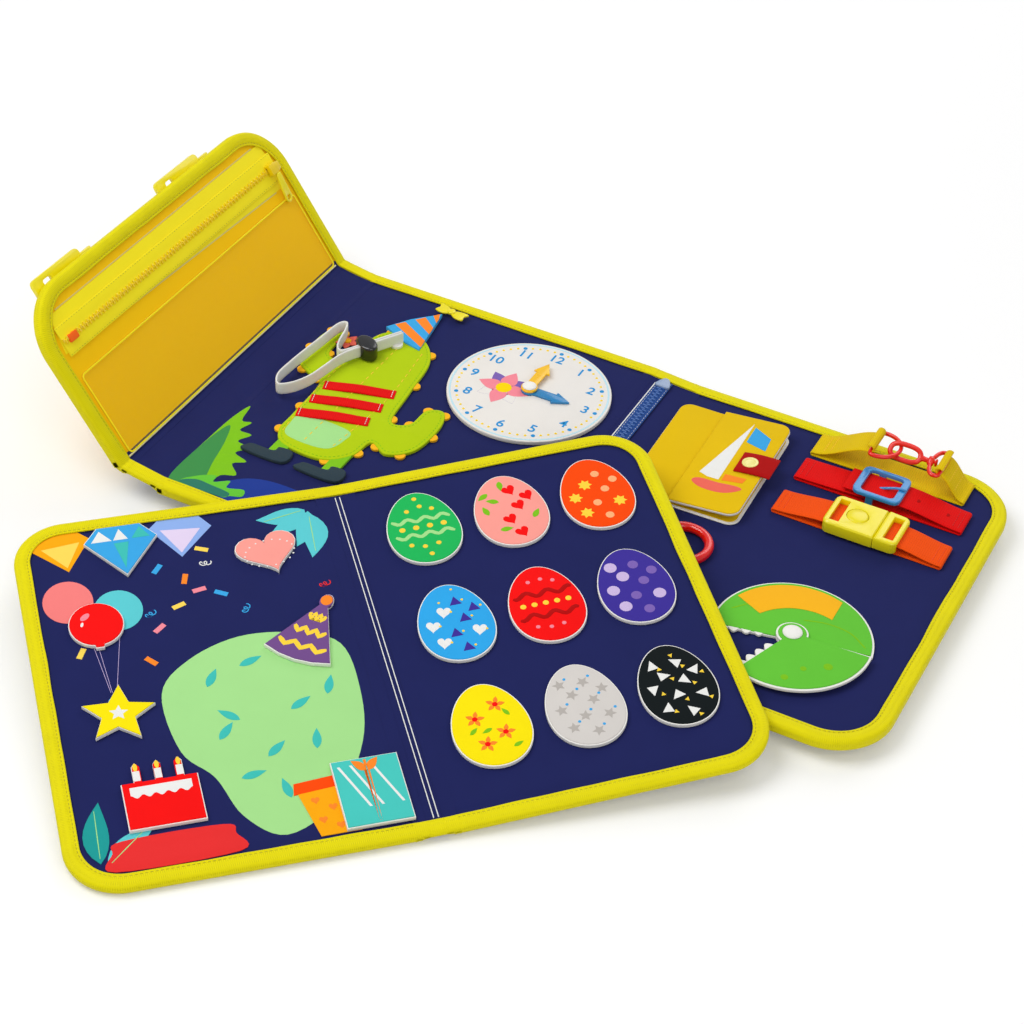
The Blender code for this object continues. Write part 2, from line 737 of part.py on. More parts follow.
WINDOW_THICKNESS = 0.0008
WINDOW_MARGIN = 0.014
WINDOW_HEIGHT = 0.070
ZIP_TAPE_WIDTH = 0.024
ZIP_TAPE_THICKNESS = 0.001
ZIP_FROM_FOLD = 0.0975
ZIP_CHAIN_WIDTH = 0.005
ZIP_CHAIN_RISE = 0.0018
ZIP_END_MARGIN = 0.0165
SLIDER_LENGTH = 0.012
SLIDER_WIDTH = 0.009
SLIDER_RISE = 0.0055
SLIDER_MARGIN = 0.0235
SLIDER_Y = BOARD_DEPTH - SLIDER_MARGIN
PULL_LENGTH = 0.026
PULL_WIDTH = 0.0085
PULL_THICKNESS = 0.002
PULL_HOLE = 0.0022
TONGUE_LENGTH = 0.056
TONGUE_WIDTH = 0.018
TONGUE_REACH = 0.0065
TONGUE_SLOT_LENGTH = 0.009
TONGUE_SLOT_WIDTH = 0.0095
TONGUE_SLOT_START = 0.011
TONGUE_ROUND = 0.004
TAB_LENGTH = 0.012
TAB_WIDTH = 0.015
TONGUE_NEAR_Y = 0.029
TONGUE_FAR_Y = 0.1855


def zip_band(tape_width, chain_width, length, taper=0):
    """Return a zip along +Y: its tape with the coil standing along the middle."""
    mesh = bmesh.new()
    half = tape_width / 2
    coil = chain_width / 2
    low = FIT_GAP
    tape = low + ZIP_TAPE_THICKNESS
    top = tape + ZIP_CHAIN_RISE
    section = [(half, low), (half, tape), (coil, tape), (coil * 0.7, top), (-coil * 0.7, top), (-coil, tape),
               (-half, tape), (-half, low)]
    return loft(mesh, [[Vector((x, y, z)) for x, z in section] for y in (0, length)])


def zip_slider():
    """Return the slider: a body over the coil, waisted, with the bridge that holds the pull."""
    mesh = bmesh.new()
    half = SLIDER_WIDTH / 2
    outline = [(-half, -SLIDER_LENGTH / 2), (half, -SLIDER_LENGTH / 2), (half, 0),
               (half * 0.7, SLIDER_LENGTH / 2), (-half * 0.7, SLIDER_LENGTH / 2), (-half, 0)]
    low = ZIP_TAPE_THICKNESS + FIT_GAP + FIT_GAP
    return plate(mesh, outline, low, low + SLIDER_RISE)


def slider_channel():
    """Return the cutter of the channel that the coil passes through."""
    half = ZIP_CHAIN_WIDTH / 2 + FIT_GAP
    top = FIT_GAP + ZIP_TAPE_THICKNESS + ZIP_CHAIN_RISE + FIT_GAP
    outline = box_outline((-half, -SLIDER_LENGTH), (half, SLIDER_LENGTH))
    return plate(bmesh.new(), outline, 0, top)


def zip_pull():
    """Return the pull: a tapered plate with a round end and an eye."""
    mesh = bmesh.new()
    wide = PULL_WIDTH / 2
    outline = [(0, wide * 0.6), (0, -wide * 0.6)]
    outline = arc((PULL_LENGTH - wide, 0), wide, -90, 90, 8) + outline
    return plate(mesh, outline, -PULL_THICKNESS, 0)


def pull_eye():
    """Return the cutter of the pull's eye."""
    mesh = bmesh.new()
    centre = (PULL_LENGTH - PULL_WIDTH / 2, 0)
    return plate(mesh, circle(centre, PULL_HOLE, 12), -PULL_THICKNESS, 2 * PULL_THICKNESS)


def closure_tongue():
    """Return a closure's tongue along -Y from its hinge, with the webbing tab that holds it."""
    mesh = bmesh.new()
    half = TONGUE_WIDTH / 2
    end = -TAB_LENGTH - TONGUE_LENGTH
    plate_outline = arc((half - TONGUE_ROUND, end + TONGUE_ROUND), TONGUE_ROUND, -90, 0, 3)
    plate_outline += arc((half - TONGUE_ROUND, -TAB_LENGTH - TONGUE_ROUND), TONGUE_ROUND, 0, 90, 3)
    plate_outline += [(TAB_WIDTH / 2 - TONGUE_ROUND, -TAB_LENGTH), (TAB_WIDTH / 2 - TONGUE_ROUND, 0),
                      (-TAB_WIDTH / 2 + TONGUE_ROUND, 0), (-TAB_WIDTH / 2 + TONGUE_ROUND, -TAB_LENGTH)]
    plate_outline += arc((TONGUE_ROUND - half, -TAB_LENGTH - TONGUE_ROUND), TONGUE_ROUND, 90, 180, 3)
    plate_outline += arc((TONGUE_ROUND - half, end + TONGUE_ROUND), TONGUE_ROUND, 180, 270, 3)
    return plate(mesh, plate_outline, -MOULDED, 0)


def tongue_slot():
    """Return the cutter of the tongue's window."""
    mesh = bmesh.new()
    start = -TAB_LENGTH - TONGUE_LENGTH + TONGUE_SLOT_START
    half = TONGUE_SLOT_WIDTH / 2
    outline = rounded((-half, start), (half, start + TONGUE_SLOT_LENGTH), TONGUE_ROUND / 3, 2)
    return plate(mesh, outline, -2 * MOULDED, MOULDED)


def build_flap(face):
    """Build the strip, the flap, its zip pocket and its two closure tongues."""
    strip_hinge = pivot("flap_strip_hinge", face, (0, 0, BINDING_PROUD), (0, FLAP_STRIP_TILT, 0))
    strip_face = face_frame("flap_strip_face", strip_hinge)
    piece("flap_spine", soft_strip(-FLAP_STRIP_WIDTH, 0, BOARD_DEPTH, SOFT_THICKNESS), "navy", strip_face)
    flap_hinge = pivot("flap_hinge", strip_hinge, (-FLAP_STRIP_WIDTH, 0, 0), (0, FLAP_TILT, 0))
    flap = pivot("flap_face", flap_hinge, (-FLAP_LENGTH, 0, -BINDING_PROUD))
    piece("flap_panel", bound_board(FLAP_LENGTH, BOARD_DEPTH, CORNER_RADIUS, "left", BOARD_THICKNESS),
          "flap", flap)
    piece("flap_binding", edge_binding(FLAP_LENGTH, BOARD_DEPTH, CORNER_RADIUS, "left", BOARD_THICKNESS),
          "binding", flap)
    window_right = FLAP_LENGTH - FIT_GAP * 4
    window = box_outline((window_right - WINDOW_HEIGHT, WINDOW_MARGIN),
                         (window_right, BOARD_DEPTH - WINDOW_MARGIN))
    piece("flap_window", plate(bmesh.new(), window, FIT_GAP, FIT_GAP + WINDOW_THICKNESS), "clear", flap)
    zip_x = FLAP_LENGTH - ZIP_FROM_FOLD
    zip_length = BOARD_DEPTH - 2 * ZIP_END_MARGIN
    piece("flap_zipper", zip_band(ZIP_TAPE_WIDTH, ZIP_CHAIN_WIDTH, zip_length), "flap", flap,
          (zip_x, ZIP_END_MARGIN, 0))
    slider = piece("zip_slider", zip_slider(), "yellow", flap, (zip_x, SLIDER_Y, 0))
    cut(slider, slider_channel(), "slider_channel")
    slider_top = ZIP_TAPE_THICKNESS + 2 * FIT_GAP + SLIDER_RISE
    droop = math.asin((slider_top - PULL_THICKNESS - WINDOW_THICKNESS - FIT_GAP) / PULL_LENGTH)
    pull = piece("zip_pull", zip_pull(), "yellow", flap,
                 (zip_x + SLIDER_WIDTH / 2 + 2 * FIT_GAP, SLIDER_Y, slider_top + FIT_GAP), (0, droop, 0))
    cut(pull, pull_eye(), "pull_eye")
    tongue_x = TONGUE_WIDTH / 2 - TONGUE_REACH
    for name, near in (("closure_tongue_near", TONGUE_NEAR_Y), ("closure_tongue_far", TONGUE_FAR_Y)):
        tongue = piece(name, closure_tongue(), "yellow", flap,
                       (tongue_x, near + TONGUE_LENGTH + TAB_LENGTH, -BOARD_THICKNESS - FIT_GAP))
        cut(tongue, tongue_slot(), name + "_window")


# Spine and end board

SPINE_ZIP_X = 0.0155
SPINE_ZIP_WIDTH = 0.010
SPINE_ZIP_COIL = 0.006
SPINE_ZIP_START = 0.080
SPINE_ZIP_MARGIN = 0.013
SPINE_ZIP_END = BOARD_DEPTH - SPINE_ZIP_MARGIN
RING_X = 0.067
RING_BELOW_CARD = 0.036
RING_RADIUS = 0.0195
RING_TUBE = 0.0035
RING_TAB_WIDTH = 0.014
RING_TAB_FOOT = 0.012
RING_TAB_EASE = 0.0026
CARD_X = 0.003
CARD_FAR_MARGIN = 0.030
CARD_WIDTH = 0.089
CARD_HEIGHT = 0.120
CARD_Y = BOARD_DEPTH - CARD_FAR_MARGIN - CARD_HEIGHT
RING_Y = CARD_Y - RING_BELOW_CARD
CARD_MARGIN = 0.034
CARD_TURN = math.radians(2)
CARD_LIFT = math.radians(5)
CARD_BACK = 0.0012
CARD_COVER = 0.0025
CARD_RADIUS = 0.009
CARD_STRAP_LENGTH = 0.031
CARD_STRAP_WIDTH = 0.027
CARD_STRAP_THICKNESS = 0.0022
CARD_STRAP_OVERHANG = 0.006
CARD_STRAP_Y = 0.062
SNAP_RADIUS = 0.0062
SNAP_RISE = 0.0022
JAW_X = 0.1725
JAW_Y = 0.083
JAW_RADIUS = 0.0565
JAW_RIVET = 0.007
JAW_POST = 0.003
TOOTH_DEPTH = 0.0065
JAW_UPPER_START = 8
JAW_UPPER_END = 196
JAW_LOWER_START = 248
JAW_LOWER_END = 365
JAW_TEETH = 4
BELT_LEFT = 0.1075
BELT_RIGHT = 0.2375
FOLD_RADIUS = 0.0013
CLIP_MARGIN = 0.0265
CLIP_Y = BOARD_DEPTH - CLIP_MARGIN
CLIP_RIGHT_FOLD = 0.2280
CLIP_LEFT_X = 0.152
CLIP_RIGHT_X = 0.206
CLIP_HEIGHT = 0.0215
CLIP_BAR = 0.0015
CLIP_BAR_EASE = 0.0005
D_RING_REACH = 0.0195
D_RING_LEG = 0.0045
D_RING_BEND = 0.0025
D_RING_HALF = 0.0150
D_RING_SHORT = 0.010
HOOK_LENGTH = 0.027
HOOK_HALF = 0.0078
HOOK_TUBE = 0.00175
HOOK_LEFT = 0.162
HOOK_ROLL = math.radians(42)
SHANK_RADIUS = 0.0016
COLLAR_LENGTH = 0.0055
COLLAR_RADIUS = 0.0042
COLLAR_X = 0.1955
RED_MARGIN = 0.060
RED_Y = BOARD_DEPTH - RED_MARGIN
RED_BUCKLE_X = 0.171
RED_BUCKLE_LENGTH = 0.037
RED_BUCKLE_WIDTH = 0.033
RED_BUCKLE_BAR = 0.0055
RED_BUCKLE_THICKNESS = 0.0032
RED_BUCKLE_RAIL = 0.0034
RED_PIN = 0.0010
RED_PIN_SHIFT = 0.004
RED_UNDER = 0.0052
RED_OVER = 0.0088
RED_TIP = 0.145
RED_HOLE_SHARES = (0.43, 0.78)
RED_HOLE = 0.0018
PRONG_RADIUS = 0.0008
PRONG_SLOT_WIDTH = 0.0026
PRONG_SLOT_LENGTH = 0.0125
ORANGE_MARGIN = 0.104
ORANGE_Y = BOARD_DEPTH - ORANGE_MARGIN
RELEASE_X = 0.147
RELEASE_LENGTH = 0.057
RELEASE_WIDTH = 0.035
RELEASE_LOW = 0.0035
RELEASE_HIGH = 0.0130
RELEASE_SPLIT = 0.0395
RELEASE_ROUND = 0.005
RELEASE_BAR = 0.004
RELEASE_WINDOW = 0.0075
RELEASE_BAR_HEIGHT = 0.0034
RELEASE_BAND = 0.008
BLADE_LENGTH = 0.020
BLADE_WIDTH = 0.018
BLADE_THICKNESS = 0.0021
BLADE_LOW = 0.0055
BUTTON_RADIUS = 0.0080
BUTTON_X = 0.0215
BUTTON_PROUD = 0.0006
BUTTON_DEPTH = 0.0028
BUTTON_TRAVEL = 0.0015


def build_spine(hinge):
    """Build the spine strip and the short zip laid on it."""
    face = face_frame("spine_face", hinge)
    piece("board_spine", soft_strip(0, SPINE_WIDTH, BOARD_DEPTH, SOFT_THICKNESS), "navy", face)
    piece("spine_zipper", zip_band(SPINE_ZIP_WIDTH, SPINE_ZIP_COIL, SPINE_ZIP_END - SPINE_ZIP_START), "zip",
          face, (SPINE_ZIP_X, SPINE_ZIP_START, 0))


def socket_webbing():
    """Return the webbing sewn along the end board's underside, which carries both sockets."""
    top = -BOARD_THICKNESS - FIT_GAP
    half = WEBBING_WIDTH / 2
    start = BOARD_DEPTH * SOCKET_Y_SHARES[0] - SOCKET_LENGTH / 2 + 2 * TAPE
    end = BOARD_DEPTH * SOCKET_Y_SHARES[1] + SOCKET_LENGTH
    outline = box_outline((SOCKET_X - half, start), (SOCKET_X + half, end))
    return plate(bmesh.new(), outline, top - WEBBING, top)


def closure_sockets():
    """Return the two closure sockets."""
    mesh = bmesh.new()
    top = -BOARD_THICKNESS - 2 * FIT_GAP
    foot = top - SOCKET_THICKNESS + FIT_GAP
    half = SOCKET_WIDTH / 2
    for share in SOCKET_Y_SHARES:
        middle = BOARD_DEPTH * share
        low = (SOCKET_X - half, middle - SOCKET_LENGTH / 2)
        high = (SOCKET_X + half, middle + SOCKET_LENGTH / 2)
        outline = rounded(low, high, TONGUE_ROUND, 3)
        small = grown(outline, -TAPE)
        loft(mesh, [level(small, foot), level(outline, foot + TAPE), level(outline, top)])
    return mesh


def socket_slots():
    """Return the cutter of both sockets' slots, open at the near end."""
    mesh = bmesh.new()
    centre = -BOARD_THICKNESS - FIT_GAP - SOCKET_THICKNESS / 2
    for share in SOCKET_Y_SHARES:
        near = BOARD_DEPTH * share - SOCKET_LENGTH / 2
        outline = box_outline((SOCKET_X - SOCKET_SLOT_WIDTH / 2, near - TAPE),
                              (SOCKET_X + SOCKET_SLOT_WIDTH / 2, near + SOCKET_LENGTH * 0.8))
        plate(mesh, outline, centre - SOCKET_SLOT_HEIGHT / 2, centre + SOCKET_SLOT_HEIGHT / 2)
    return mesh


def ring_tab():
    """Return the webbing tab that arches over the pull ring and is sewn down at both feet."""
    low = WEBBING / 2 - FIT_GAP
    x = RING_X - RING_RADIUS
    radius = RING_TUBE + RING_TAB_EASE + WEBBING / 2
    top = FIT_GAP + RING_TUBE + radius
    half = RING_TAB_FOOT + radius
    shares = ((-1, 0), (-0.66, 0), (-0.42, 0.25), (-0.32, 0.75), (0, 1), (0.32, 0.75), (0.42, 0.25), (0.66, 0))
    spots = [(x + half * across, low + (top - low) * rise) for across, rise in shares]
    path = [(spot.x, spot.y) for spot in curve_through(spots, 3)]
    return ribbon(bmesh.new(), path, WEBBING, RING_Y - RING_TAB_WIDTH / 2, RING_Y + RING_TAB_WIDTH / 2)


def ring_points(radius, steps):
    """Return a level circle of points."""
    return [(radius * math.cos(math.tau * step / steps), radius * math.sin(math.tau * step / steps), 0)
            for step in range(steps)]


def card_outline(left, right):
    """Return the card's outline between two places along its width, round at the card's own corners."""
    points = []
    bend = CARD_RADIUS
    if right == CARD_WIDTH:
        points += arc((right - bend, bend), bend, -90, 0, 4)
        points += arc((right - bend, CARD_HEIGHT - bend), bend, 0, 90, 4)
    else:
        points += [(right, 0), (right, CARD_HEIGHT)]
    if left == 0:
        points += arc((bend, CARD_HEIGHT - bend), bend, 90, 180, 4)
        points += arc((bend, bend), bend, 180, 270, 4)
    else:
        points += [(left, CARD_HEIGHT), (left, 0)]
    return points


def card_margin():
    """Return the card's margin, which stays sewn down over its back sheet."""
    outline = card_outline(0, CARD_MARGIN)
    return plate(bmesh.new(), grown(outline, -FIT_GAP), 2 * FIT_GAP, 2 * FIT_GAP + CARD_BACK + CARD_COVER)


def card_strap():
    """Return the tab sewn on the card's cover and turned down past its edge."""
    half = CARD_STRAP_WIDTH / 2
    right = CARD_WIDTH - CARD_MARGIN + CARD_STRAP_OVERHANG
    left = right - CARD_STRAP_LENGTH
    outline = [(right, -half), (right, half)]
    outline += arc((left + TONGUE_ROUND, half - TONGUE_ROUND), TONGUE_ROUND, 90, 180, 3)
    outline += arc((left + TONGUE_ROUND, TONGUE_ROUND - half), TONGUE_ROUND, 180, 270, 3)
    mesh = plate(bmesh.new(), outline, -FIT_GAP, CARD_STRAP_THICKNESS)
    bmesh.ops.translate(mesh, verts=mesh.verts, vec=(0, CARD_STRAP_Y, 0))
    return mesh


def card_strap_details():
    """Return the strap's turned-down lip and its domed snap cap."""
    mesh = bmesh.new()
    half = CARD_STRAP_WIDTH / 2 - FIT_GAP
    right = CARD_WIDTH - CARD_MARGIN + CARD_STRAP_OVERHANG - FIT_GAP
    lip = box_outline((right - CARD_STRAP_THICKNESS, CARD_STRAP_Y - half), (right, CARD_STRAP_Y + half))
    plate(mesh, lip, -CARD_COVER, FIT_GAP)
    cap_x = right - CARD_STRAP_LENGTH * 0.6
    base = CARD_STRAP_THICKNESS - FIT_GAP
    profile = [(SNAP_RADIUS, base), (SNAP_RADIUS, base + SNAP_RISE / 2),
               (SNAP_RADIUS * 0.8, base + SNAP_RISE), (SNAP_RADIUS * 0.3, base + SNAP_RISE * 1.1)]
    return lathe(mesh, profile, (cap_x, CARD_STRAP_Y), 20)


def toothed_edge(start, end, inward):
    """Return points along a jaw's edge from the pivot outward, or back, with pointed teeth."""
    points = []
    begin = Vector(start)
    run = Vector(end) - begin
    side = Vector((-run.y, run.x)).normalized() * inward
    for tooth in range(JAW_TEETH):
        share = (tooth + 0.25) / JAW_TEETH
        points.append(tuple(begin + run * share))
        points.append(tuple(begin + run * (share + 0.3 / JAW_TEETH) + side * TOOTH_DEPTH))
        points.append(tuple(begin + run * (share + 0.6 / JAW_TEETH)))
    return points


def jaw_outline(first, last, tooth_side):
    """Return a jaw: a sector of the disc with teeth along the edge that faces the mouth."""
    rim = arc((0, 0), JAW_RADIUS, first, last, 14)
    hub = JAW_RIVET * 1.6
    if tooth_side == "last":
        outer = Vector(rim[-1])
        bite = toothed_edge(outer * 0.97, outer * 0.22, -1)
        back = arc((0, 0), hub, last, first + 360, 8) if last < first + 360 else []
        return rim + bite + back
    outer = Vector(rim[0])
    bite = toothed_edge(outer * 0.22, outer * 0.97, -1)
    back = arc((0, 0), hub, last, first + 360, 8)
    return rim + back + bite


def jaw_plate():
    """Return the fixed upper jaw with the rivet that the lower jaw turns on."""
    mesh = bmesh.new()
    plate(mesh, jaw_outline(JAW_UPPER_START, JAW_UPPER_END, "last"), FIT_GAP, FIT_GAP + FELT)
    return mesh


def jaw_rivet():
    """Return the rivet's post and domed head above the upper jaw."""
    mesh = bmesh.new()
    start = FIT_GAP + FELT / 2
    head = FIT_GAP + FELT + 2 * FIT_GAP + FELT
    return lathe(mesh, [(JAW_POST, start), (JAW_POST, head), *dome_profile(JAW_RIVET, head, RIVET_HEAD)],
                 steps=20)


def fold_path(left_end, right_end, left_climb, right_climb, right_fold=BELT_RIGHT):
    """Return a webbing's path: an upper run, a fold, the run sewn to the board, a fold, an upper run."""
    low = FIT_GAP + WEBBING / 2
    high = low + 2 * FOLD_RADIUS
    left = BELT_LEFT + FOLD_RADIUS
    right = right_fold - FOLD_RADIUS
    steps = 7

    def run(start, end, climb):
        spots = []
        for step in range(steps + 1):
            share = step / steps
            rise = min(1, share / climb)
            spots.append((start + (end[0] - start) * share,
                          high + (end[1] - high) * rise * rise * (3 - 2 * rise)))
        return spots

    path = list(reversed(run(left, left_end, left_climb)))
    path += arc((left, low + FOLD_RADIUS), FOLD_RADIUS, 90, 270, 6)[1:]
    path += arc((right, low + FOLD_RADIUS), FOLD_RADIUS, -90, 90, 6)
    path += run(right, right_end, right_climb)[1:]
    return path


def curl(centre, radius, start, sweep):
    """Return the curl of a webbing's end round a bar."""
    return arc(centre, radius, start, start + sweep, 8)


def clip_webbing():
    """Return the clip's webbing, curled at both ends round its bars, with the ring at its left."""
    mesh = bmesh.new()
    radius = CLIP_BAR + CLIP_BAR_EASE + WEBBING / 2
    path = fold_path((CLIP_LEFT_X, CLIP_HEIGHT + radius), (CLIP_RIGHT_X, CLIP_HEIGHT + radius), 1, 1,
                     CLIP_RIGHT_FOLD)
    start = list(reversed(curl((CLIP_LEFT_X, CLIP_HEIGHT), radius, 90, -230)))
    end = curl((CLIP_RIGHT_X, CLIP_HEIGHT), radius, 90, 230)
    half = WEBBING_WIDTH / 2
    ribbon(mesh, start[:-1] + path + end[1:], WEBBING, CLIP_Y - half, CLIP_Y + half)
    return mesh


def d_ring(mesh, bar_x, reach):
    """Add a D ring: its straight bar inside the webbing's curl and its bow towards the clip's middle."""
    leg = math.copysign(D_RING_LEG, reach)
    bend = math.copysign(D_RING_BEND, reach)
    steps = 12
    soft = D_RING_BEND * 0.3
    spots = [(0, D_RING_BEND - D_RING_HALF), (bend * 0.3, soft - D_RING_HALF), (bend, -D_RING_HALF)]
    for step in range(steps + 1):
        angle = math.radians(180 * step / steps - 90)
        spots.append((leg + (reach - leg) * math.cos(angle), D_RING_HALF * math.sin(angle)))
    spots += [(bend, D_RING_HALF), (bend * 0.3, D_RING_HALF - soft), (0, D_RING_HALF - D_RING_BEND), (0, 0)]
    points = [(bar_x + x, CLIP_Y + y, CLIP_HEIGHT) for x, y in spots]
    return tube(mesh, points, CLIP_BAR, 8, closed_path=True)


def swivel_hook():
    """Return the hook's closed eye, its gate shut, along -X from the collar."""
    steps = 22
    centre = HOOK_LEFT + HOOK_LENGTH / 2 - COLLAR_X
    half = HOOK_LENGTH / 2 - HOOK_TUBE
    side = HOOK_HALF - HOOK_TUBE
    points = []
    for step in range(steps):
        angle = math.tau * step / steps
        round_x = math.copysign(abs(math.cos(angle)) ** 0.75, math.cos(angle))
        round_y = math.copysign(abs(math.sin(angle)) ** 0.75, math.sin(angle))
        points.append((centre + half * round_x, side * round_y, 0))
    return tube(bmesh.new(), points, HOOK_TUBE, 8, closed_path=True)


def hook_shank():
    """Return the hook's shank through the collar, with the head that keeps it there."""
    start = HOOK_LEFT + HOOK_LENGTH - HOOK_TUBE - COLLAR_X
    end = COLLAR_LENGTH / 2 + 2 * FIT_GAP
    return turned(bmesh.new(), [
        (start, SHANK_RADIUS), (end, SHANK_RADIUS), (end, COLLAR_RADIUS * 0.7),
        (end + SHANK_RADIUS, COLLAR_RADIUS * 0.7)])


def build_clip(face):
    """Build the clip: webbing, the two bars that it curls round, and the hook linked through one."""
    piece("clip_webbing", clip_webbing(), "card", face)
    piece("clip_ring", d_ring(bmesh.new(), CLIP_LEFT_X, D_RING_REACH), "red", face, smooth=50)
    collar_place = Vector((COLLAR_X, CLIP_Y, CLIP_HEIGHT))
    holder = piece("hook_ring", d_ring(bmesh.new(), CLIP_RIGHT_X, -D_RING_SHORT), "red", face, smooth=50)
    half = COLLAR_LENGTH / 2
    collar = turned(bmesh.new(), [(-half, COLLAR_RADIUS), (half, COLLAR_RADIUS)])
    bmesh.ops.translate(collar, verts=collar.verts, vec=collar_place)
    join(holder, collar, "clip_collar")
    bore_radius = SHANK_RADIUS + FIT_GAP
    bore = turned(bmesh.new(), [(-COLLAR_LENGTH, bore_radius), (half + SHANK_RADIUS, bore_radius)])
    bmesh.ops.translate(bore, verts=bore.verts, vec=collar_place)
    cut(holder, bore, "clip_bore")
    hook = piece("swivel_hook", swivel_hook(), "red", face, collar_place, (HOOK_ROLL, 0, 0), smooth=50)
    join(hook, hook_shank(), "hook_shank")


def red_belt():
    """Return the red belt: short run under the buckle's pin, holed run over it, both folded to the base."""
    half = WEBBING_WIDTH / 2
    pin_x = RED_BUCKLE_X - RED_PIN_SHIFT
    eye = RED_PIN + FIT_GAP + 2 * PRONG_RADIUS
    path = fold_path((pin_x - eye - 2 * FIT_GAP, RED_UNDER), (RED_TIP, RED_OVER), 1, 0.5)
    return ribbon(bmesh.new(), path, WEBBING, RED_Y - half, RED_Y + half)


def red_belt_holes():
    """Return the cutter of the free holes and of the long hole that the prong stands in."""
    mesh = bmesh.new()
    low = FIT_GAP + WEBBING + FIT_GAP
    high = RED_OVER * 2
    for share in RED_HOLE_SHARES:
        x = RED_BUCKLE_X + (BELT_RIGHT - RED_BUCKLE_X) * share
        lathe(mesh, [(RED_HOLE, low), (RED_HOLE, high)], (x, RED_Y), 12)
    pin_x = RED_BUCKLE_X - RED_PIN_SHIFT
    eye = RED_PIN + FIT_GAP + 2 * PRONG_RADIUS
    start = pin_x - eye - FIT_GAP
    half = PRONG_SLOT_WIDTH / 2
    outline = rounded((start, RED_Y - half), (start + PRONG_SLOT_LENGTH, RED_Y + half), half * 0.9, 3)
    return plate(mesh, outline, RED_UNDER + WEBBING / 2 + FIT_GAP, high)


def buckle_frame():
    """Return the belt buckle's frame, chamfered, with the legs that carry its pin."""
    mesh = bmesh.new()
    half_x = RED_BUCKLE_LENGTH / 2
    half_y = RED_BUCKLE_WIDTH / 2
    low = RED_OVER + WEBBING / 2 + FIT_GAP
    outline = rounded((-half_x, -half_y), (half_x, half_y), RED_BUCKLE_BAR, 3)
    top = low + RED_BUCKLE_THICKNESS
    return loft(mesh, [level(outline, low), level(outline, top - FIT_GAP * 2),
                       level(grown(outline, -FIT_GAP * 2), top)])


def build_red_belt(face):
    """Build the red belt with its buckle and prong."""
    belt = piece("red_belt", red_belt(), "red", face)
    cut(belt, red_belt_holes(), "red_belt_holes")
    low = RED_OVER + WEBBING / 2 + FIT_GAP
    top = low + RED_BUCKLE_THICKNESS
    inner_y = WEBBING_WIDTH / 2 + FIT_GAP
    outer_y = RED_BUCKLE_WIDTH / 2
    window_x = RED_BUCKLE_LENGTH / 2 - RED_BUCKLE_BAR
    buckle = piece("belt_buckle", buckle_frame(), "blue", face, (RED_BUCKLE_X, RED_Y, 0))
    window = rounded((-window_x, -inner_y), (window_x, inner_y), RED_BUCKLE_RAIL, 3)
    cut(buckle, plate(bmesh.new(), window, low - FIT_GAP, top + FIT_GAP), "buckle_window")
    legs = bmesh.new()
    leg = RED_PIN + RED_BUCKLE_RAIL / 2
    foot = RED_UNDER - leg
    for side in (-1, 1):
        near, far = sorted((side * inner_y, side * (outer_y - FIT_GAP * 2)))
        outline = box_outline((-RED_PIN_SHIFT - leg, near), (-RED_PIN_SHIFT + leg, far))
        plate(legs, outline, foot, low + FIT_GAP * 2)
    join(buckle, legs, "buckle_legs")
    pin = bmesh.new()
    rings = []
    for y in (-inner_y - FIT_GAP * 2, inner_y + FIT_GAP * 2):
        rings.append([Vector((x - RED_PIN_SHIFT, y, z + RED_UNDER)) for x, z in circle((0, 0), RED_PIN, 12)])
    loft(pin, rings)
    join(buckle, pin, "buckle_pin")
    radius = RED_PIN + FIT_GAP + PRONG_RADIUS
    rest = top + FIT_GAP + PRONG_RADIUS
    window_end = window_x + RED_PIN_SHIFT
    lean = math.degrees(math.atan2(rest - RED_UNDER - radius, window_end))
    path = [(window_end + RED_BUCKLE_BAR, 0, rest - RED_UNDER), (window_end, 0, rest - RED_UNDER),
            (window_end - RED_BUCKLE_BAR / 2, 0, rest - RED_UNDER - PRONG_RADIUS)]
    path += [(x, 0, z) for x, z in arc((0, 0), radius, 90 + lean, 360 + lean + 20, 10)]
    piece("belt_prong", tube(bmesh.new(), path, PRONG_RADIUS, 8), "blue", face,
          (RED_BUCKLE_X - RED_PIN_SHIFT, RED_Y, RED_UNDER), smooth=60)


def release_shell(left, right, round_left):
    """Return one half of the release buckle, round at its webbing end."""
    half = RELEASE_WIDTH / 2
    bend = RELEASE_ROUND
    if round_left:
        outline = [(right, -half), (right, half)] + arc((left + bend, half - bend), bend, 90, 180, 4)
        outline += arc((left + bend, bend - half), bend, 180, 270, 4)
    else:
        outline = arc((right - bend, bend - half), bend, -90, 0, 4)
        outline += arc((right - bend, half - bend), bend, 0, 90, 4) + [(left, half), (left, -half)]
    soft = TAPE
    mesh = bmesh.new()
    return loft(mesh, [level(outline, RELEASE_LOW), level(outline, RELEASE_HIGH - soft),
                       level(grown(outline, -soft), RELEASE_HIGH)])


def webbing_window(outer, inner, end):
    """Return the cutter of a window for the webbing, and of its way in under the outer bar."""
    mesh = bmesh.new()
    half = WEBBING_WIDTH / 2 + FIT_GAP
    low, high = sorted((outer, inner))
    plate(mesh, box_outline((low, -half), (high, half)), RELEASE_LOW - TAPE, RELEASE_HIGH + TAPE)
    low, high = sorted((end, outer))
    way = bmesh.new()
    plate(way, box_outline((low, -half), (high, half)), RELEASE_LOW - TAPE, RELEASE_HIGH - RELEASE_BAR_HEIGHT)
    return mesh, way


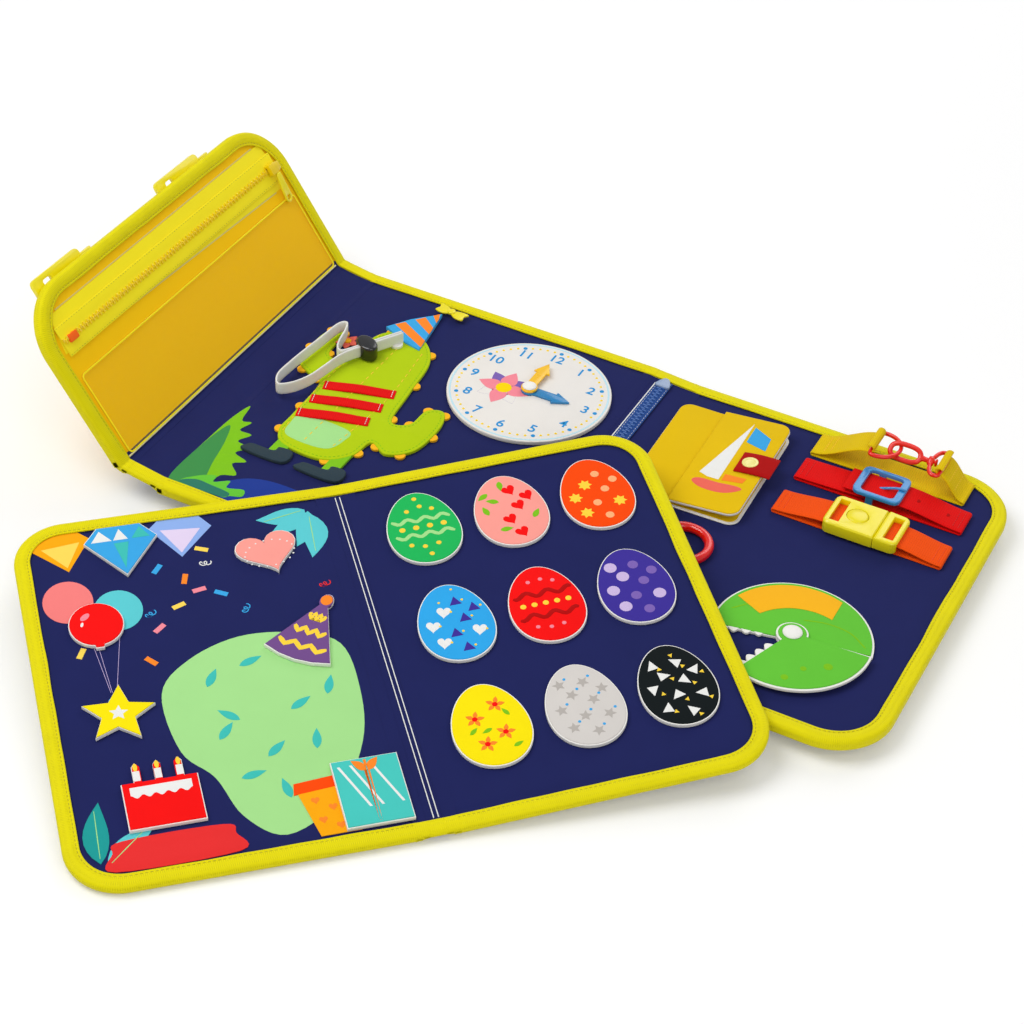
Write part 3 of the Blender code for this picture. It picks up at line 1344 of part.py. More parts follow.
def build_orange_belt(face):
    """Build the orange webbing with its release buckle: socket, tongue and button."""
    half = WEBBING_WIDTH / 2
    window_left = RELEASE_X + RELEASE_BAR + RELEASE_WINDOW - FIT_GAP
    window_right = RELEASE_X + RELEASE_LENGTH - RELEASE_BAR - RELEASE_WINDOW + FIT_GAP
    path = fold_path((window_left, RELEASE_BAND), (window_right, RELEASE_BAND), 0.8, 0.8)
    piece("orange_belt", ribbon(bmesh.new(), path, WEBBING, ORANGE_Y - half, ORANGE_Y + half), "orange", face)
    place = (RELEASE_X, ORANGE_Y, 0)
    socket = piece("release_socket", release_shell(0, RELEASE_SPLIT - FIT_GAP, True), "yellow", face, place)
    window, way = webbing_window(RELEASE_BAR, RELEASE_BAR + RELEASE_WINDOW, -TAPE)
    cut(socket, window, "socket_window")
    cut(socket, way, "socket_way")
    cavity_half = BLADE_WIDTH / 2 + FIT_GAP
    cavity_start = RELEASE_SPLIT - BLADE_LENGTH - FIT_GAP
    cavity = box_outline((cavity_start, -cavity_half), (RELEASE_SPLIT + TAPE, cavity_half))
    cut(socket, plate(bmesh.new(), cavity, BLADE_LOW - FIT_GAP, BLADE_LOW + BLADE_THICKNESS + FIT_GAP),
        "socket_cavity")
    floor = RELEASE_HIGH + BUTTON_PROUD - BUTTON_DEPTH - BUTTON_TRAVEL - FIT_GAP
    well = BUTTON_RADIUS + FIT_GAP
    cut(socket, lathe(bmesh.new(), [(well, floor), (well, RELEASE_HIGH + TAPE)], (BUTTON_X, 0)), "socket_well")
    tongue = piece("release_tongue", release_shell(RELEASE_SPLIT, RELEASE_LENGTH, False), "yellow", face, place)
    window, way = webbing_window(RELEASE_LENGTH - RELEASE_BAR, RELEASE_LENGTH - RELEASE_BAR - RELEASE_WINDOW,
                                 RELEASE_LENGTH + TAPE)
    cut(tongue, window, "tongue_window")
    cut(tongue, way, "tongue_way")
    blade_half = BLADE_WIDTH / 2
    blade = box_outline((RELEASE_SPLIT - BLADE_LENGTH, -blade_half), (RELEASE_SPLIT + TAPE, blade_half))
    join(tongue, plate(bmesh.new(), blade, BLADE_LOW, BLADE_LOW + BLADE_THICKNESS), "tongue_blade")
    top = RELEASE_HIGH + BUTTON_PROUD
    button = lathe(bmesh.new(), [(BUTTON_RADIUS, -BUTTON_DEPTH), (BUTTON_RADIUS, -BUTTON_PROUD),
                                 (BUTTON_RADIUS * 0.85, 0)])
    piece("release_button", button, "yellow", face, (RELEASE_X + BUTTON_X, ORANGE_Y, top), smooth=30)


def build_card(face):
    """Build the card: its sewn back and margin, the cover that opens, and its strap."""
    card = pivot("card_frame", face, (CARD_X, CARD_Y, 0), (0, 0, CARD_TURN))
    back = plate(bmesh.new(), card_outline(0, CARD_WIDTH), FIT_GAP, FIT_GAP + CARD_BACK)
    base = piece("card_base", back, "card", card)
    join(base, card_margin(), "card_margin")
    hinge_z = FIT_GAP + CARD_BACK + FIT_GAP + CARD_COVER
    hinge = pivot("card_hinge", card, (CARD_MARGIN, 0, hinge_z), (0, -CARD_LIFT, 0))
    outline = [(x - CARD_MARGIN, y) for x, y in card_outline(CARD_MARGIN + 2 * FIT_GAP, CARD_WIDTH)]
    cover = piece("card_cover", plate(bmesh.new(), outline, -CARD_COVER, 0), "card", hinge)
    join(cover, card_strap(), "card_strap")
    join(cover, card_strap_details(), "card_strap_details")


def build_end(hinge):
    """Build the end board with its fastenings, card, ring and jaws."""
    face = face_frame("end_face", hinge)
    panel = bound_board(END_WIDTH, BOARD_DEPTH, CORNER_RADIUS, "right", BOARD_THICKNESS)
    join(piece("end_panel", panel, "navy", face), ring_tab(), "ring_tab")
    piece("end_binding", edge_binding(END_WIDTH, BOARD_DEPTH, CORNER_RADIUS, "right", BOARD_THICKNESS),
          "binding", face)
    sockets = piece("closure_sockets", socket_webbing(), "yellow", face)
    join(sockets, closure_sockets(), "socket_bodies")
    cut(sockets, socket_slots(), "socket_slots")
    ring = tube(bmesh.new(), ring_points(RING_RADIUS, 28), RING_TUBE, 10, closed_path=True)
    piece("pull_ring", ring, "red", face, (RING_X, RING_Y, FIT_GAP + RING_TUBE), smooth=60)
    jaw = piece("jaw_plate", jaw_plate(), "green", face, (JAW_X, JAW_Y, 0))
    join(jaw, jaw_rivet(), "jaw_rivet")
    lower = plate(bmesh.new(), jaw_outline(JAW_LOWER_START, JAW_LOWER_END, "first"), 0, FELT)
    lower_jaw = piece("lower_jaw", lower, "green", face, (JAW_X, JAW_Y, FIT_GAP + FELT + FIT_GAP))
    hole = lathe(bmesh.new(), [(JAW_POST + FIT_GAP, -FELT), (JAW_POST + FIT_GAP, 2 * FELT)], steps=16)
    cut(lower_jaw, hole, "lower_jaw_hole")
    build_card(face)
    build_clip(face)
    build_red_belt(face)
    build_orange_belt(face)


# Book

PAGE_DEPTH = 0.320
BOOK_SOFT = 0.0035
EGG_WIDTH = 0.0525
EGG_HEIGHT = 0.070
EGG_TAPER = 0.14
EGG_X_SHARES = (0.1955, 0.4850, 0.7745)
EGG_Y_SHARES = (0.2328, 0.5219, 0.8109)
EGG_NAMES = [
    [("egg_yellow", "yellow"), ("egg_white", "grey"), ("egg_black", "black")],
    [("egg_blue", "sky"), ("egg_red", "red"), ("egg_purple", "purple")],
    [("egg_green", "green"), ("egg_pink", "pink"), ("egg_orange", "orange")],
]
# Each piece's colour, place and size as shares of the page's width and depth, and turn in degrees
PARTY_PIECE_SHARES = {
    "party_diamond": ("sky", 0.3386, 0.8844, 0.2318, 0.15, 0),
    "party_heart": ("pink", 0.7864, 0.8125, 0.2, 0.1187, 10),
    "party_balloon": ("red", 0.2136, 0.6766, 0.1773, 0.1281, 0),
    "party_star": ("yellow", 0.2273, 0.4281, 0.2273, 0.1562, -8),
    "party_cake": ("red", 0.3045, 0.2109, 0.2227, 0.1656, 0),
    "party_hat": ("purple", 0.8545, 0.5812, 0.2182, 0.2, -34),
    "party_gift": ("teal", 0.8932, 0.1281, 0.2, 0.1687, 0),
}
DIAMOND_SHARES = [(0, -0.5), (0.5, 0.22), (0.30, 0.5), (-0.30, 0.5), (-0.5, 0.22)]
CAKE_SHARES = [
    (-0.5, -0.5), (0.5, -0.5), (0.5, 0.20), (0.33, 0.20), (0.33, 0.44), (0.28, 0.5), (0.23, 0.44), (0.23, 0.20),
    (0.05, 0.20), (0.05, 0.44), (0, 0.5), (-0.05, 0.44), (-0.05, 0.20), (-0.23, 0.20), (-0.23, 0.44),
    (-0.28, 0.5), (-0.33, 0.44), (-0.33, 0.20), (-0.5, 0.20),
]
GIFT_SHARES = [(-0.5, -0.5), (0.5, -0.5), (0.5, 0.5), (-0.5, 0.5)]
STAR_WAIST_SHARE = 0.46


def egg_outline():
    """Return an egg, narrower at its far end."""
    points = []
    for step in range(24):
        angle = math.tau * step / 24
        reach = 1 - EGG_TAPER * math.sin(angle)
        points.append((EGG_WIDTH / 2 * math.cos(angle) * reach, EGG_HEIGHT / 2 * math.sin(angle)))
    return points


def heart_outline():
    """Return a heart as shares of its width and height."""
    points = []
    for step in range(26):
        angle = math.tau * (step + 0.5) / 26
        x = math.sin(angle) ** 3
        y = (13 * math.cos(angle) - 5 * math.cos(2 * angle) - 2 * math.cos(3 * angle) - math.cos(4 * angle)) / 29
        points.append((-x / 2, y + 0.09))
    return points


def balloon_outline():
    """Return a round balloon with its small knot, as shares."""
    return arc((0, 0.025), 0.475, -80, 260, 22) + [(-0.07, -0.5), (0.07, -0.5)]


def star_outline():
    """Return a five-pointed star as shares."""
    points = []
    for step in range(10):
        angle = math.radians(90 + 36 * step)
        reach = 0.5 if step % 2 == 0 else 0.5 * STAR_WAIST_SHARE
        points.append((reach * math.cos(angle), reach * math.sin(angle)))
    return points


def hat_outline():
    """Return a cone hat with its pompon, as shares."""
    ball = arc((0, 0.40), 0.10, -50, 230, 9)
    brim = [(-0.5, -0.42), (-0.25, -0.48), (0, -0.5), (0.25, -0.48), (0.5, -0.42)]
    return brim + ball


def party_outline(name):
    """Return a party piece's outline in shares of its width and height."""
    outlines = {
        "party_diamond": DIAMOND_SHARES,
        "party_heart": heart_outline(),
        "party_balloon": balloon_outline(),
        "party_star": star_outline(),
        "party_cake": CAKE_SHARES,
        "party_hat": hat_outline(),
        "party_gift": GIFT_SHARES,
    }
    return outlines[name]


def book_tilt():
    """Return the tilt that rests the book's underside on the middle board's near edge."""
    reach = -BOOK_PLACE_Y / math.cos(BOOK_YAW)
    rise = FLOOR_DEPTH + BINDING_PROUD + FIT_GAP + BOOK_REST_SLACK
    return math.atan(rise / reach)


def page_roll():
    """Return the right page's roll, set by where it crosses the bag's near edge."""
    tilt = book_tilt()
    sine = math.sin(BOOK_YAW)
    cosine = math.cos(BOOK_YAW)
    bearing = BINDING_PROUD + FIT_GAP + FIT_GAP
    edge = BOOK_SPINE_WIDTH / 2 + PAGE_WIDTH
    across = MIDDLE_WIDTH - BOOK_PLACE_X
    corner = (across * cosine - BOOK_PLACE_Y * sine, -across * sine - BOOK_PLACE_Y * cosine)
    outer = (edge, (-BOOK_PLACE_Y - edge * sine) / cosine)
    middle_rise = (FLOOR_DEPTH + bearing - corner[1] * math.tan(tilt)) / corner[0]
    end_rise = (FLOOR_DEPTH - END_DROP + bearing - outer[1] * math.tan(tilt)) / outer[0]
    return math.asin(max(middle_rise, end_rise))


def build_book(board):
    """Build the book: two bound pages, the spine between them, and the pieces that peel off."""
    half_spine = BOOK_SPINE_WIDTH / 2
    roll = page_roll()
    place = pivot("book_place", board, (
        BOOK_PLACE_X - half_spine * math.cos(BOOK_YAW), BOOK_PLACE_Y - half_spine * math.sin(BOOK_YAW),
        FIT_GAP - FLOOR_DEPTH), (book_tilt(), 0, BOOK_YAW))
    left_crease = pivot("left_crease", place, (0, 0, PAGE_THICKNESS + BINDING_PROUD))
    spine_crease = pivot("spine_crease", left_crease, turn=(0, -roll / 2, 0))
    right_crease = pivot("right_crease", spine_crease, (BOOK_SPINE_WIDTH, 0, 0), (0, -roll / 2, 0))
    left = pivot("left_page_face", left_crease, (-PAGE_WIDTH, 0, -BINDING_PROUD))
    right = face_frame("right_page_face", right_crease)
    spine = face_frame("book_spine_face", spine_crease)
    for name, face, side in (("left", left, "left"), ("right", right, "right")):
        sizes = (PAGE_WIDTH, PAGE_DEPTH, PAGE_RADIUS, side, PAGE_THICKNESS)
        piece(name + "_page", bound_board(*sizes), "navy", face)
        piece(name + "_binding", edge_binding(*sizes), "binding", face)
    piece("book_spine", soft_strip(0, BOOK_SPINE_WIDTH, PAGE_DEPTH, BOOK_SOFT), "navy", spine)
    for y_share, names in zip(EGG_Y_SHARES, EGG_NAMES):
        for x_share, (name, colour) in zip(EGG_X_SHARES, names):
            spot = (PAGE_WIDTH * x_share, PAGE_DEPTH * y_share, FIT_GAP)
            piece(name, plate(bmesh.new(), egg_outline(), 0, FOAM), colour, right, spot)
    for name, (colour, x, y, width, height, turn) in PARTY_PIECE_SHARES.items():
        outline = scaled(party_outline(name), (PAGE_WIDTH * width, PAGE_DEPTH * height))
        piece(name, plate(bmesh.new(), outline, 0, FOAM), colour, left, (PAGE_WIDTH * x, PAGE_DEPTH * y, FIT_GAP),
              (0, 0, math.radians(turn)))


def build():
    """Build the whole busy board."""
    clear_scene()
    strap_gap = (STRAP_TOP_SPACING + STRAP_FOOT_SPACING) / 4
    board = pivot("board_frame", None, (-MIDDLE_WIDTH / 2, strap_gap - BOARD_DEPTH / 2, FLOOR_DEPTH))
    build_middle(board)
    build_flap(board)
    spine_hinge = pivot("spine_hinge", board, (MIDDLE_WIDTH, 0, BINDING_PROUD), (0, SPINE_SLOPE, 0))
    build_spine(spine_hinge)
    end_hinge = pivot("end_hinge", spine_hinge, (SPINE_WIDTH, 0, 0), (0, -SPINE_SLOPE, 0))
    build_end(end_hinge)
    build_book(board)


build()
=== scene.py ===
"""Look of the folding busy board backpack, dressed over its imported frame.

Each sub-assembly is a class that holds its own sizes, builds its meshes in the plane of the board that
carries it and gives them their finishes. Lengths are in metres. A board's plane has x running from its
left crease or edge, y from its near edge and z out of its face.
"""

from __future__ import annotations

import json
import logging
import math
from contextlib import contextmanager
from dataclasses import dataclass
from enum import Enum
from typing import Callable, Iterable, Iterator, Optional, Sequence, Union

import bpy
from mathutils import Matrix, Vector, noise


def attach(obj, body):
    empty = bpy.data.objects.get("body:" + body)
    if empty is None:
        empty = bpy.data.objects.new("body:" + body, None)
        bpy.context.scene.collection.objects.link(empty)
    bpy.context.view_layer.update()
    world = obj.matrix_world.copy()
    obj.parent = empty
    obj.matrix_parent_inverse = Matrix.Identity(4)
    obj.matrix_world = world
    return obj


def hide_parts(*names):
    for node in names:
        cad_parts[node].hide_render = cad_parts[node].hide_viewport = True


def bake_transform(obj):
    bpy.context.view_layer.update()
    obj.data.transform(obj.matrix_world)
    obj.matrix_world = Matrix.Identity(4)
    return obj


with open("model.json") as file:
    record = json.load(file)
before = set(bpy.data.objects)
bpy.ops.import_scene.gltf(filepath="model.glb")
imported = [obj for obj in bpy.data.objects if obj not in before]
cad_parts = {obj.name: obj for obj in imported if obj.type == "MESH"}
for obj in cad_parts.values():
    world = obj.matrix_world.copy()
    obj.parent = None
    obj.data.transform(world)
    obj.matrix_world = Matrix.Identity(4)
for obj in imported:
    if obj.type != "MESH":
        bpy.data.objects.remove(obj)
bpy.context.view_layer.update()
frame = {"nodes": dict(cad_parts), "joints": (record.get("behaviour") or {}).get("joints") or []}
LOG = logging.getLogger("busy_board")
MM = 0.001
UP = Vector((0, 0, 1))
ALONG = Vector((0, 1, 0))
WEBBING_HALF = 0.01275
WEBBING_THICK = 0.0014
WEBBING_FOLD = 0.0013
WEBBING_RISE = 0.0008
Point2 = tuple[float, float]
Outline = list[Point2]


# Shader writing

class Sheet:
    """One material's node tree, with a single way to add a node."""

    def __init__(self, name: str) -> None:
        """Start an empty Principled material of that name."""
        self.material = bpy.data.materials.new(name)
        self.material.use_nodes = True
        self.tree = self.material.node_tree
        self.shader = self.tree.nodes["Principled BSDF"]

    def node(self, kind: str, settings: Optional[dict] = None, inputs: Optional[dict] = None) -> bpy.types.Node:
        """Add a node.

        Args:
            kind: Blender's node type.
            settings: attributes set first; "stops" fills a ramp with (place, colour) pairs.
            inputs: socket name or number to a value, a colour or a Signal.

        Returns:
            The new node.
        """
        made = self.tree.nodes.new(kind)
        for key, value in (settings or {}).items():
            if key == "stops":
                ramp = made.color_ramp
                while len(ramp.elements) < len(value):
                    ramp.elements.new(1.0)
                for element, (place, colour) in zip(ramp.elements, value):
                    element.position = place
                    element.color = colour
            else:
                setattr(made, key, value)
        for key, value in (inputs or {}).items():
            self.feed(made.inputs[key], value)
        return made

    def feed(self, socket: bpy.types.NodeSocket, value: object) -> None:
        """Link a Signal to a socket, or set the socket's own value."""
        if isinstance(value, Signal):
            self.tree.links.new(value.socket, socket)
        else:
            socket.default_value = value

    def surface(self, **inputs: object) -> None:
        """Feed the Principled shader's sockets, named with underscores for spaces."""
        for key, value in inputs.items():
            self.feed(self.shader.inputs[key.replace("_", " ")], value)

    def place(self) -> "Signal":
        """Return the piece's own coordinates, in metres."""
        return Signal(self, self.node("ShaderNodeTexCoord").outputs["Object"])

    def path(self) -> "Signal":
        """Return the coordinates along and across a swept piece, in metres."""
        return Signal(self, self.node("ShaderNodeUVMap", {"uv_map": "path"}).outputs["UV"])

    def split(self, vector: "Signal") -> tuple["Signal", "Signal", "Signal"]:
        """Return a vector's three parts."""
        made = self.node("ShaderNodeSeparateXYZ", inputs={0: vector})
        return tuple(Signal(self, made.outputs[index]) for index in range(3))

    def speckle(self, vector: "Signal", scale: float, detail: float = 3.0, rough: float = 0.6) -> "Signal":
        """Return fractal noise from 0 to 1 at a scale in features per metre."""
        made = self.node("ShaderNodeTexNoise", inputs={
            "Vector": vector, "Scale": scale, "Detail": detail, "Roughness": rough})
        return Signal(self, made.outputs["Fac"])

    def mix(self, share: object, first: object, second: object) -> "Signal":
        """Blend two colours by a share."""
        made = self.node("ShaderNodeMix", {"data_type": "RGBA"})
        self.feed(made.inputs[0], share)
        self.feed(made.inputs[6], first)
        self.feed(made.inputs[7], second)
        return Signal(self, made.outputs[2])

    def bump(self, height: "Signal", depth: float) -> "Signal":
        """Return a normal for a height signal whose full step is a depth in metres."""
        made = self.node("ShaderNodeBump", inputs={"Height": height, "Distance": depth, "Strength": 1.0})
        return Signal(self, made.outputs["Normal"])


@dataclass
class Signal:
    """A number that varies over a surface; arithmetic on it adds Math nodes."""

    sheet: Sheet
    socket: bpy.types.NodeSocket

    def _math(self, operation: str, *values: object) -> "Signal":
        """Return a Math node's output for these values."""
        made = self.sheet.node("ShaderNodeMath", {"operation": operation},
                               {index: value for index, value in enumerate(values)})
        return Signal(self.sheet, made.outputs[0])

    def __add__(self, other: object) -> "Signal":
        """Add."""
        return self._math("ADD", self, other)

    __radd__ = __add__

    def __mul__(self, other: object) -> "Signal":
        """Multiply."""
        return self._math("MULTIPLY", self, other)

    __rmul__ = __mul__

    def __sub__(self, other: object) -> "Signal":
        """Subtract."""
        return self._math("SUBTRACT", self, other)

    def __rsub__(self, other: object) -> "Signal":
        """Subtract from a number."""
        return self._math("SUBTRACT", other, self)

    def __gt__(self, other: object) -> "Signal":
        """Return 1 where it is greater."""
        return self._math("GREATER_THAN", self, other)

    def wave(self) -> "Signal":
        """Return the sine."""
        return self._math("SINE", self)

    def size(self) -> "Signal":
        """Return the value without its sign."""
        return self._math("ABSOLUTE", self)


def rgb(code: str, shade: float = 1.0) -> tuple[float, float, float, float]:
    """Return a written colour as linear light.

    Args:
        code: six hex digits.
        shade: what the light values are multiplied by.

    Returns:
        Red, green, blue and 1.
    """
    parts = [int(code[start:start + 2], 16) / 255 for start in (0, 2, 4)]
    light = [part / 12.92 if part <= 0.04045 else ((part + 0.055) / 1.055) ** 2.4 for part in parts]
    return (*[min(1.0, part * shade) for part in light], 1.0)


_FINISHED: dict[str, bpy.types.Material] = {}


@dataclass(frozen=True)
class Finish:
    """A finish: its name, its colour and the record slot that it belongs to."""

    name: str
    code: str
    slot: str

    def material(self) -> bpy.types.Material:
        """Return the finish's material, made once."""
        if self.name not in _FINISHED:
            sheet = Sheet(self.name)
            self.write(sheet)
            _FINISHED[self.name] = sheet.material
        return _FINISHED[self.name]

    def write(self, sheet: Sheet) -> None:
        """Write the finish's nodes."""
        raise NotImplementedError


@dataclass(frozen=True)
class Cloth(Finish):
    """Brushed felt or printed cloth: soft mottling, fibres and a little sheen."""

    mottle: float = 0.12
    fibre: float = 0.00012
    grain: float = 2600.0
    rough: float = 0.85

    def write(self, sheet: Sheet) -> None:
        """Write mottled colour over a fibrous bump."""
        place = sheet.place()
        broad = sheet.speckle(place, 28.0, 2.0)
        fine = sheet.speckle(place, self.grain, 2.0, 0.7)
        share = broad * 0.55 + fine * 0.45
        colour = sheet.mix(share, rgb(self.code, 1 - self.mottle), rgb(self.code, 1 + self.mottle))
        sheet.surface(Base_Color=colour, Roughness=fine * 0.12 + (self.rough - 0.06), Sheen_Weight=0.04,
                      Sheen_Roughness=0.6, Specular_IOR_Level=0.06, Normal=sheet.bump(fine + broad, self.fibre))


@dataclass(frozen=True)
class Weave(Finish):
    """Ribbon or webbing woven along its own path, with ribs across it and rows along it."""

    rib: float = 0.0011
    row: float = 0.0022
    depth: float = 0.00022
    rough: float = 0.7
    gleam: float = 0.0

    def write(self, sheet: Sheet) -> None:
        """Write ribs across and rows along the path, with painted shade in their troughs and a painted highlight on
        their crests.
        """
        along, across, _ = sheet.split(sheet.path())
        ribs = (along * (math.tau / self.rib)).wave()
        rows = (across * (math.tau / self.row)).wave()
        height = (ribs + ribs * rows) * 0.25 + 0.5
        wear = sheet.speckle(sheet.place(), 60.0, 2.0)
        # Mixing by the weave's height paints shade into the troughs and a highlight onto the crests; the wear noise
        # adds random mottling.
        share = height * 0.6 + wear * 0.4
        colour = sheet.mix(share, rgb(self.code, 0.80), rgb(self.code, 1.12))
        sheet.surface(Base_Color=colour, Roughness=wear * 0.1 + (self.rough - 0.05), Sheen_Weight=0.03,
                      Coat_Weight=self.gleam, Coat_Roughness=0.35, Specular_IOR_Level=0.1,
                      Normal=sheet.bump(height, self.depth))


@dataclass(frozen=True)
class Plastic(Finish):
    """Moulded plastic: even colour, faint swirl and a clear gloss."""

    rough: float = 0.28
    coat: float = 0.35
    alpha: float = 1.0

    def write(self, sheet: Sheet) -> None:
        """Write faintly uneven colour and gloss."""
        place = sheet.place()
        swirl = sheet.speckle(place, 120.0, 3.0)
        grain = sheet.speckle(place, 2200.0, 1.0)
        colour = sheet.mix(swirl, rgb(self.code, 0.94), rgb(self.code, 1.05))
        sheet.surface(Base_Color=colour, Roughness=swirl * 0.12 + (self.rough - 0.06), Coat_Weight=self.coat,
                      Coat_Roughness=0.12, Alpha=self.alpha, Normal=sheet.bump(grain, 0.00002))


@dataclass(frozen=True)
class Foam(Finish):
    """Closed-cell foam seen at a cut edge, or under a printed skin."""

    rough: float = 0.7

    def write(self, sheet: Sheet) -> None:
        """Write fine cells in the bump and slight mottling in the colour."""
        place = sheet.place()
        cells = sheet.speckle(place, 1500.0, 4.0, 0.7)
        broad = sheet.speckle(place, 45.0, 2.0)
        colour = sheet.mix(broad * 0.6 + cells * 0.4, rgb(self.code, 0.93), rgb(self.code, 1.06))
        sheet.surface(Base_Color=colour, Roughness=cells * 0.14 + (self.rough - 0.07), Specular_IOR_Level=0.1,
                      Normal=sheet.bump(cells, 0.00008))


class Look(Enum):
    """Every finish on the busy board, by the maker's plain names."""

    NAVY = Cloth("navy_cloth", "1C2259", "navy_felt", mottle=0.16)
    TAPE = Weave("edge_tape", "E9DD02", "yellow_tape", rib=0.0013, row=0.0040, depth=0.0002, rough=0.55)
    THREAD = Plastic("yellow_thread", "BFB400", "yellow_tape", rough=0.6, coat=0.0)
    FLAP = Cloth("yellow_cloth", "FFC800", "yellow_cloth", mottle=0.04, fibre=0.00005, rough=0.6)
    FLAP_BAND = Cloth("pale_yellow_cloth", "FFEA20", "yellow_cloth", mottle=0.05, fibre=0.00005, rough=0.55)
    PIPING = Plastic("pale_piping", "E2D8A4", "yellow_cloth", rough=0.5, coat=0.1)
    VINYL = Plastic("clear_vinyl", "FFD81A", "clear_vinyl", rough=0.1, coat=0.5, alpha=0.1)
    STRAP = Weave("dark_webbing", "20243A", "dark_webbing")
    LIME = Cloth("lime_felt", "B4CE0A", "lime_felt", mottle=0.07)
    LEAF = Cloth("leaf_green_felt", "7FC31C", "lime_felt", mottle=0.07)
    ELASTIC = Weave("white_elastic", "EDEDEA", "white_elastic", rib=0.0009, row=0.0016, depth=0.00015)
    ELASTIC_THREAD = Plastic("white_thread", "F1F0EC", "white_elastic", rough=0.65, coat=0.0)
    ZIP_BLUE_THREAD = Plastic("blue_thread", "3A63B8", "zip_blue", rough=0.6, coat=0.0)
    SLATE = Cloth("slate_felt", "30404A", "dark_webbing", mottle=0.1)
    ZIP_YELLOW_TEETH = Plastic("yellow_teeth", "F3D200", "yellow_cloth", rough=0.35)
    ZIP_END = Plastic("zip_end", "8FA3C4", "zip_blue", rough=0.4)
    ZIP_TEETH = Plastic("blue_teeth", "3A66AE", "zip_blue", rough=0.35)
    ORANGE_WEBBING_CLOTH = Cloth("orange_tag", "FF6A1E", "orange_webbing", mottle=0.06)
    PRINT_CREAM = Cloth("print_cream", "DCCB72", "yellow_cloth", mottle=0.05)
    RED_WEBBING_THREAD = Plastic("red_thread", "D81414", "red_webbing", rough=0.6, coat=0.0)
    CLIP_RED = Plastic("scarlet_plastic", "F0220F", "red_plastic", rough=0.25)
    ORANGE_THREAD = Plastic("orange_thread", "F2540E", "orange_webbing", rough=0.6, coat=0.0)
    AMBER_THREAD = Plastic("amber_thread", "FFC830", "yellow_webbing", rough=0.6, coat=0.0)
    CRIMSON_WEBBING = Cloth("crimson_strap", "AE0808", "red_webbing", mottle=0.08)
    BLACK = Plastic("black_plastic", "15171B", "black_plastic", rough=0.22, coat=0.5)
    DIAL = Foam("dial_white", "EAE6E1", "white_foam")
    DIAL_RIM = Foam("dial_pale_blue", "BFE3F0", "white_foam")
    INK_BLUE = Foam("ink_blue", "2E95D6", "foam_blue")
    INK_YELLOW = Foam("ink_yellow", "FFD900", "foam_yellow")
    WHITE = Foam("white_foam", "F3F1EC", "white_foam")
    HAND_YELLOW = Plastic("amber_plastic", "FFC400", "yellow_plastic")
    HAND_BLUE = Plastic("deep_blue_plastic", "0F7FBC", "blue_plastic")
    YELLOW_PLASTIC = Plastic("yellow_plastic", "F3E300", "yellow_plastic", rough=0.3)
    CLASP_BLUE = Plastic("sky_blue_plastic", "3A8FD0", "blue_plastic")
    RED_PLASTIC = Plastic("red_plastic", "E90F08", "red_plastic", rough=0.2, coat=0.6)
    ZIP_BLUE = Weave("zip_blue", "284C90", "zip_blue", rib=0.0018, row=0.0030, depth=0.0003)
    CARD = Cloth("mustard_felt", "E6BE04", "card_felt", mottle=0.08)
    CARD_EDGE = Foam("card_white_edge", "EFEDE6", "white_foam")
    CORAL = Cloth("coral_felt", "EF6A5A", "foam_pink", mottle=0.06)
    CRIMSON = Cloth("crimson_felt", "B40606", "red_webbing", mottle=0.08)
    CREAM = Plastic("cream_plastic", "F4E98C", "yellow_plastic")
    GREEN = Cloth("green_felt", "66C63A", "green_felt", mottle=0.07)
    AMBER = Cloth("amber_felt", "FFB81E", "card_felt", mottle=0.06)
    MUSTARD_WEBBING = Weave("mustard_webbing", "E6C400", "yellow_webbing", rib=0.0016, row=0.0031)
    RED_WEBBING = Weave("red_webbing", "E60606", "red_webbing", rib=0.0016, row=0.0031)
    ORANGE_WEBBING = Weave("orange_webbing", "FF5205", "orange_webbing", rib=0.0016, row=0.0031)
    FOAM_GREEN = Foam("foam_green", "1FB85A", "foam_green")
    FOAM_PINK = Foam("foam_pink", "FF9F94", "foam_pink")
    FOAM_ORANGE = Foam("foam_orange", "FF4A00", "foam_orange")
    FOAM_BLUE = Foam("foam_blue", "2EA7EA", "foam_blue")
    FOAM_RED = Foam("foam_red", "F80A0A", "foam_red")
    FOAM_PURPLE = Foam("foam_purple", "3E3098", "foam_purple")
    FOAM_YELLOW = Foam("foam_yellow", "FFE600", "foam_yellow")
    FOAM_GREY = Foam("foam_grey", "D5D0CB", "foam_grey")
    FOAM_BLACK = Foam("foam_black", "0E1618", "foam_black")
    FOAM_TEAL = Foam("foam_teal", "48C8BE", "foam_teal")
    FOAM_VIOLET = Foam("foam_violet", "744E8C", "foam_purple")
    PRINT_MINT = Cloth("print_mint", "A6E08E", "foam_teal", mottle=0.05)
    PRINT_AQUA = Cloth("print_aqua", "5CCBD2", "foam_teal", mottle=0.07)
    PRINT_TEAL_DEEP = Cloth("print_teal_deep", "1F9C98", "foam_teal", mottle=0.07)
    PRINT_AMBER = Cloth("print_amber", "FFAA08", "foam_orange", mottle=0.05)
    PRINT_CORN = Cloth("print_corn", "FFD95A", "foam_yellow", mottle=0.05)
    PRINT_PERIWINKLE = Cloth("print_periwinkle", "8FB0EC", "foam_blue", mottle=0.05)
    PRINT_BLUSH = Cloth("print_blush", "E3D3F0", "foam_pink", mottle=0.05)
    PRINT_SALMON = Cloth("print_salmon", "F5807E", "foam_pink", mottle=0.06)
    PRINT_TEAL = Cloth("print_teal", "3FC0B6", "foam_teal", mottle=0.05)
    PRINT_SKY = Cloth("print_sky", "3BA7E6", "foam_blue", mottle=0.05)
    PRINT_PINK = Cloth("print_pink", "F58C9B", "foam_pink", mottle=0.05)
    PRINT_RED = Cloth("print_red", "E93030", "foam_red", mottle=0.05)
    PRINT_YELLOW = Cloth("print_yellow", "FFD640", "foam_yellow", mottle=0.05)
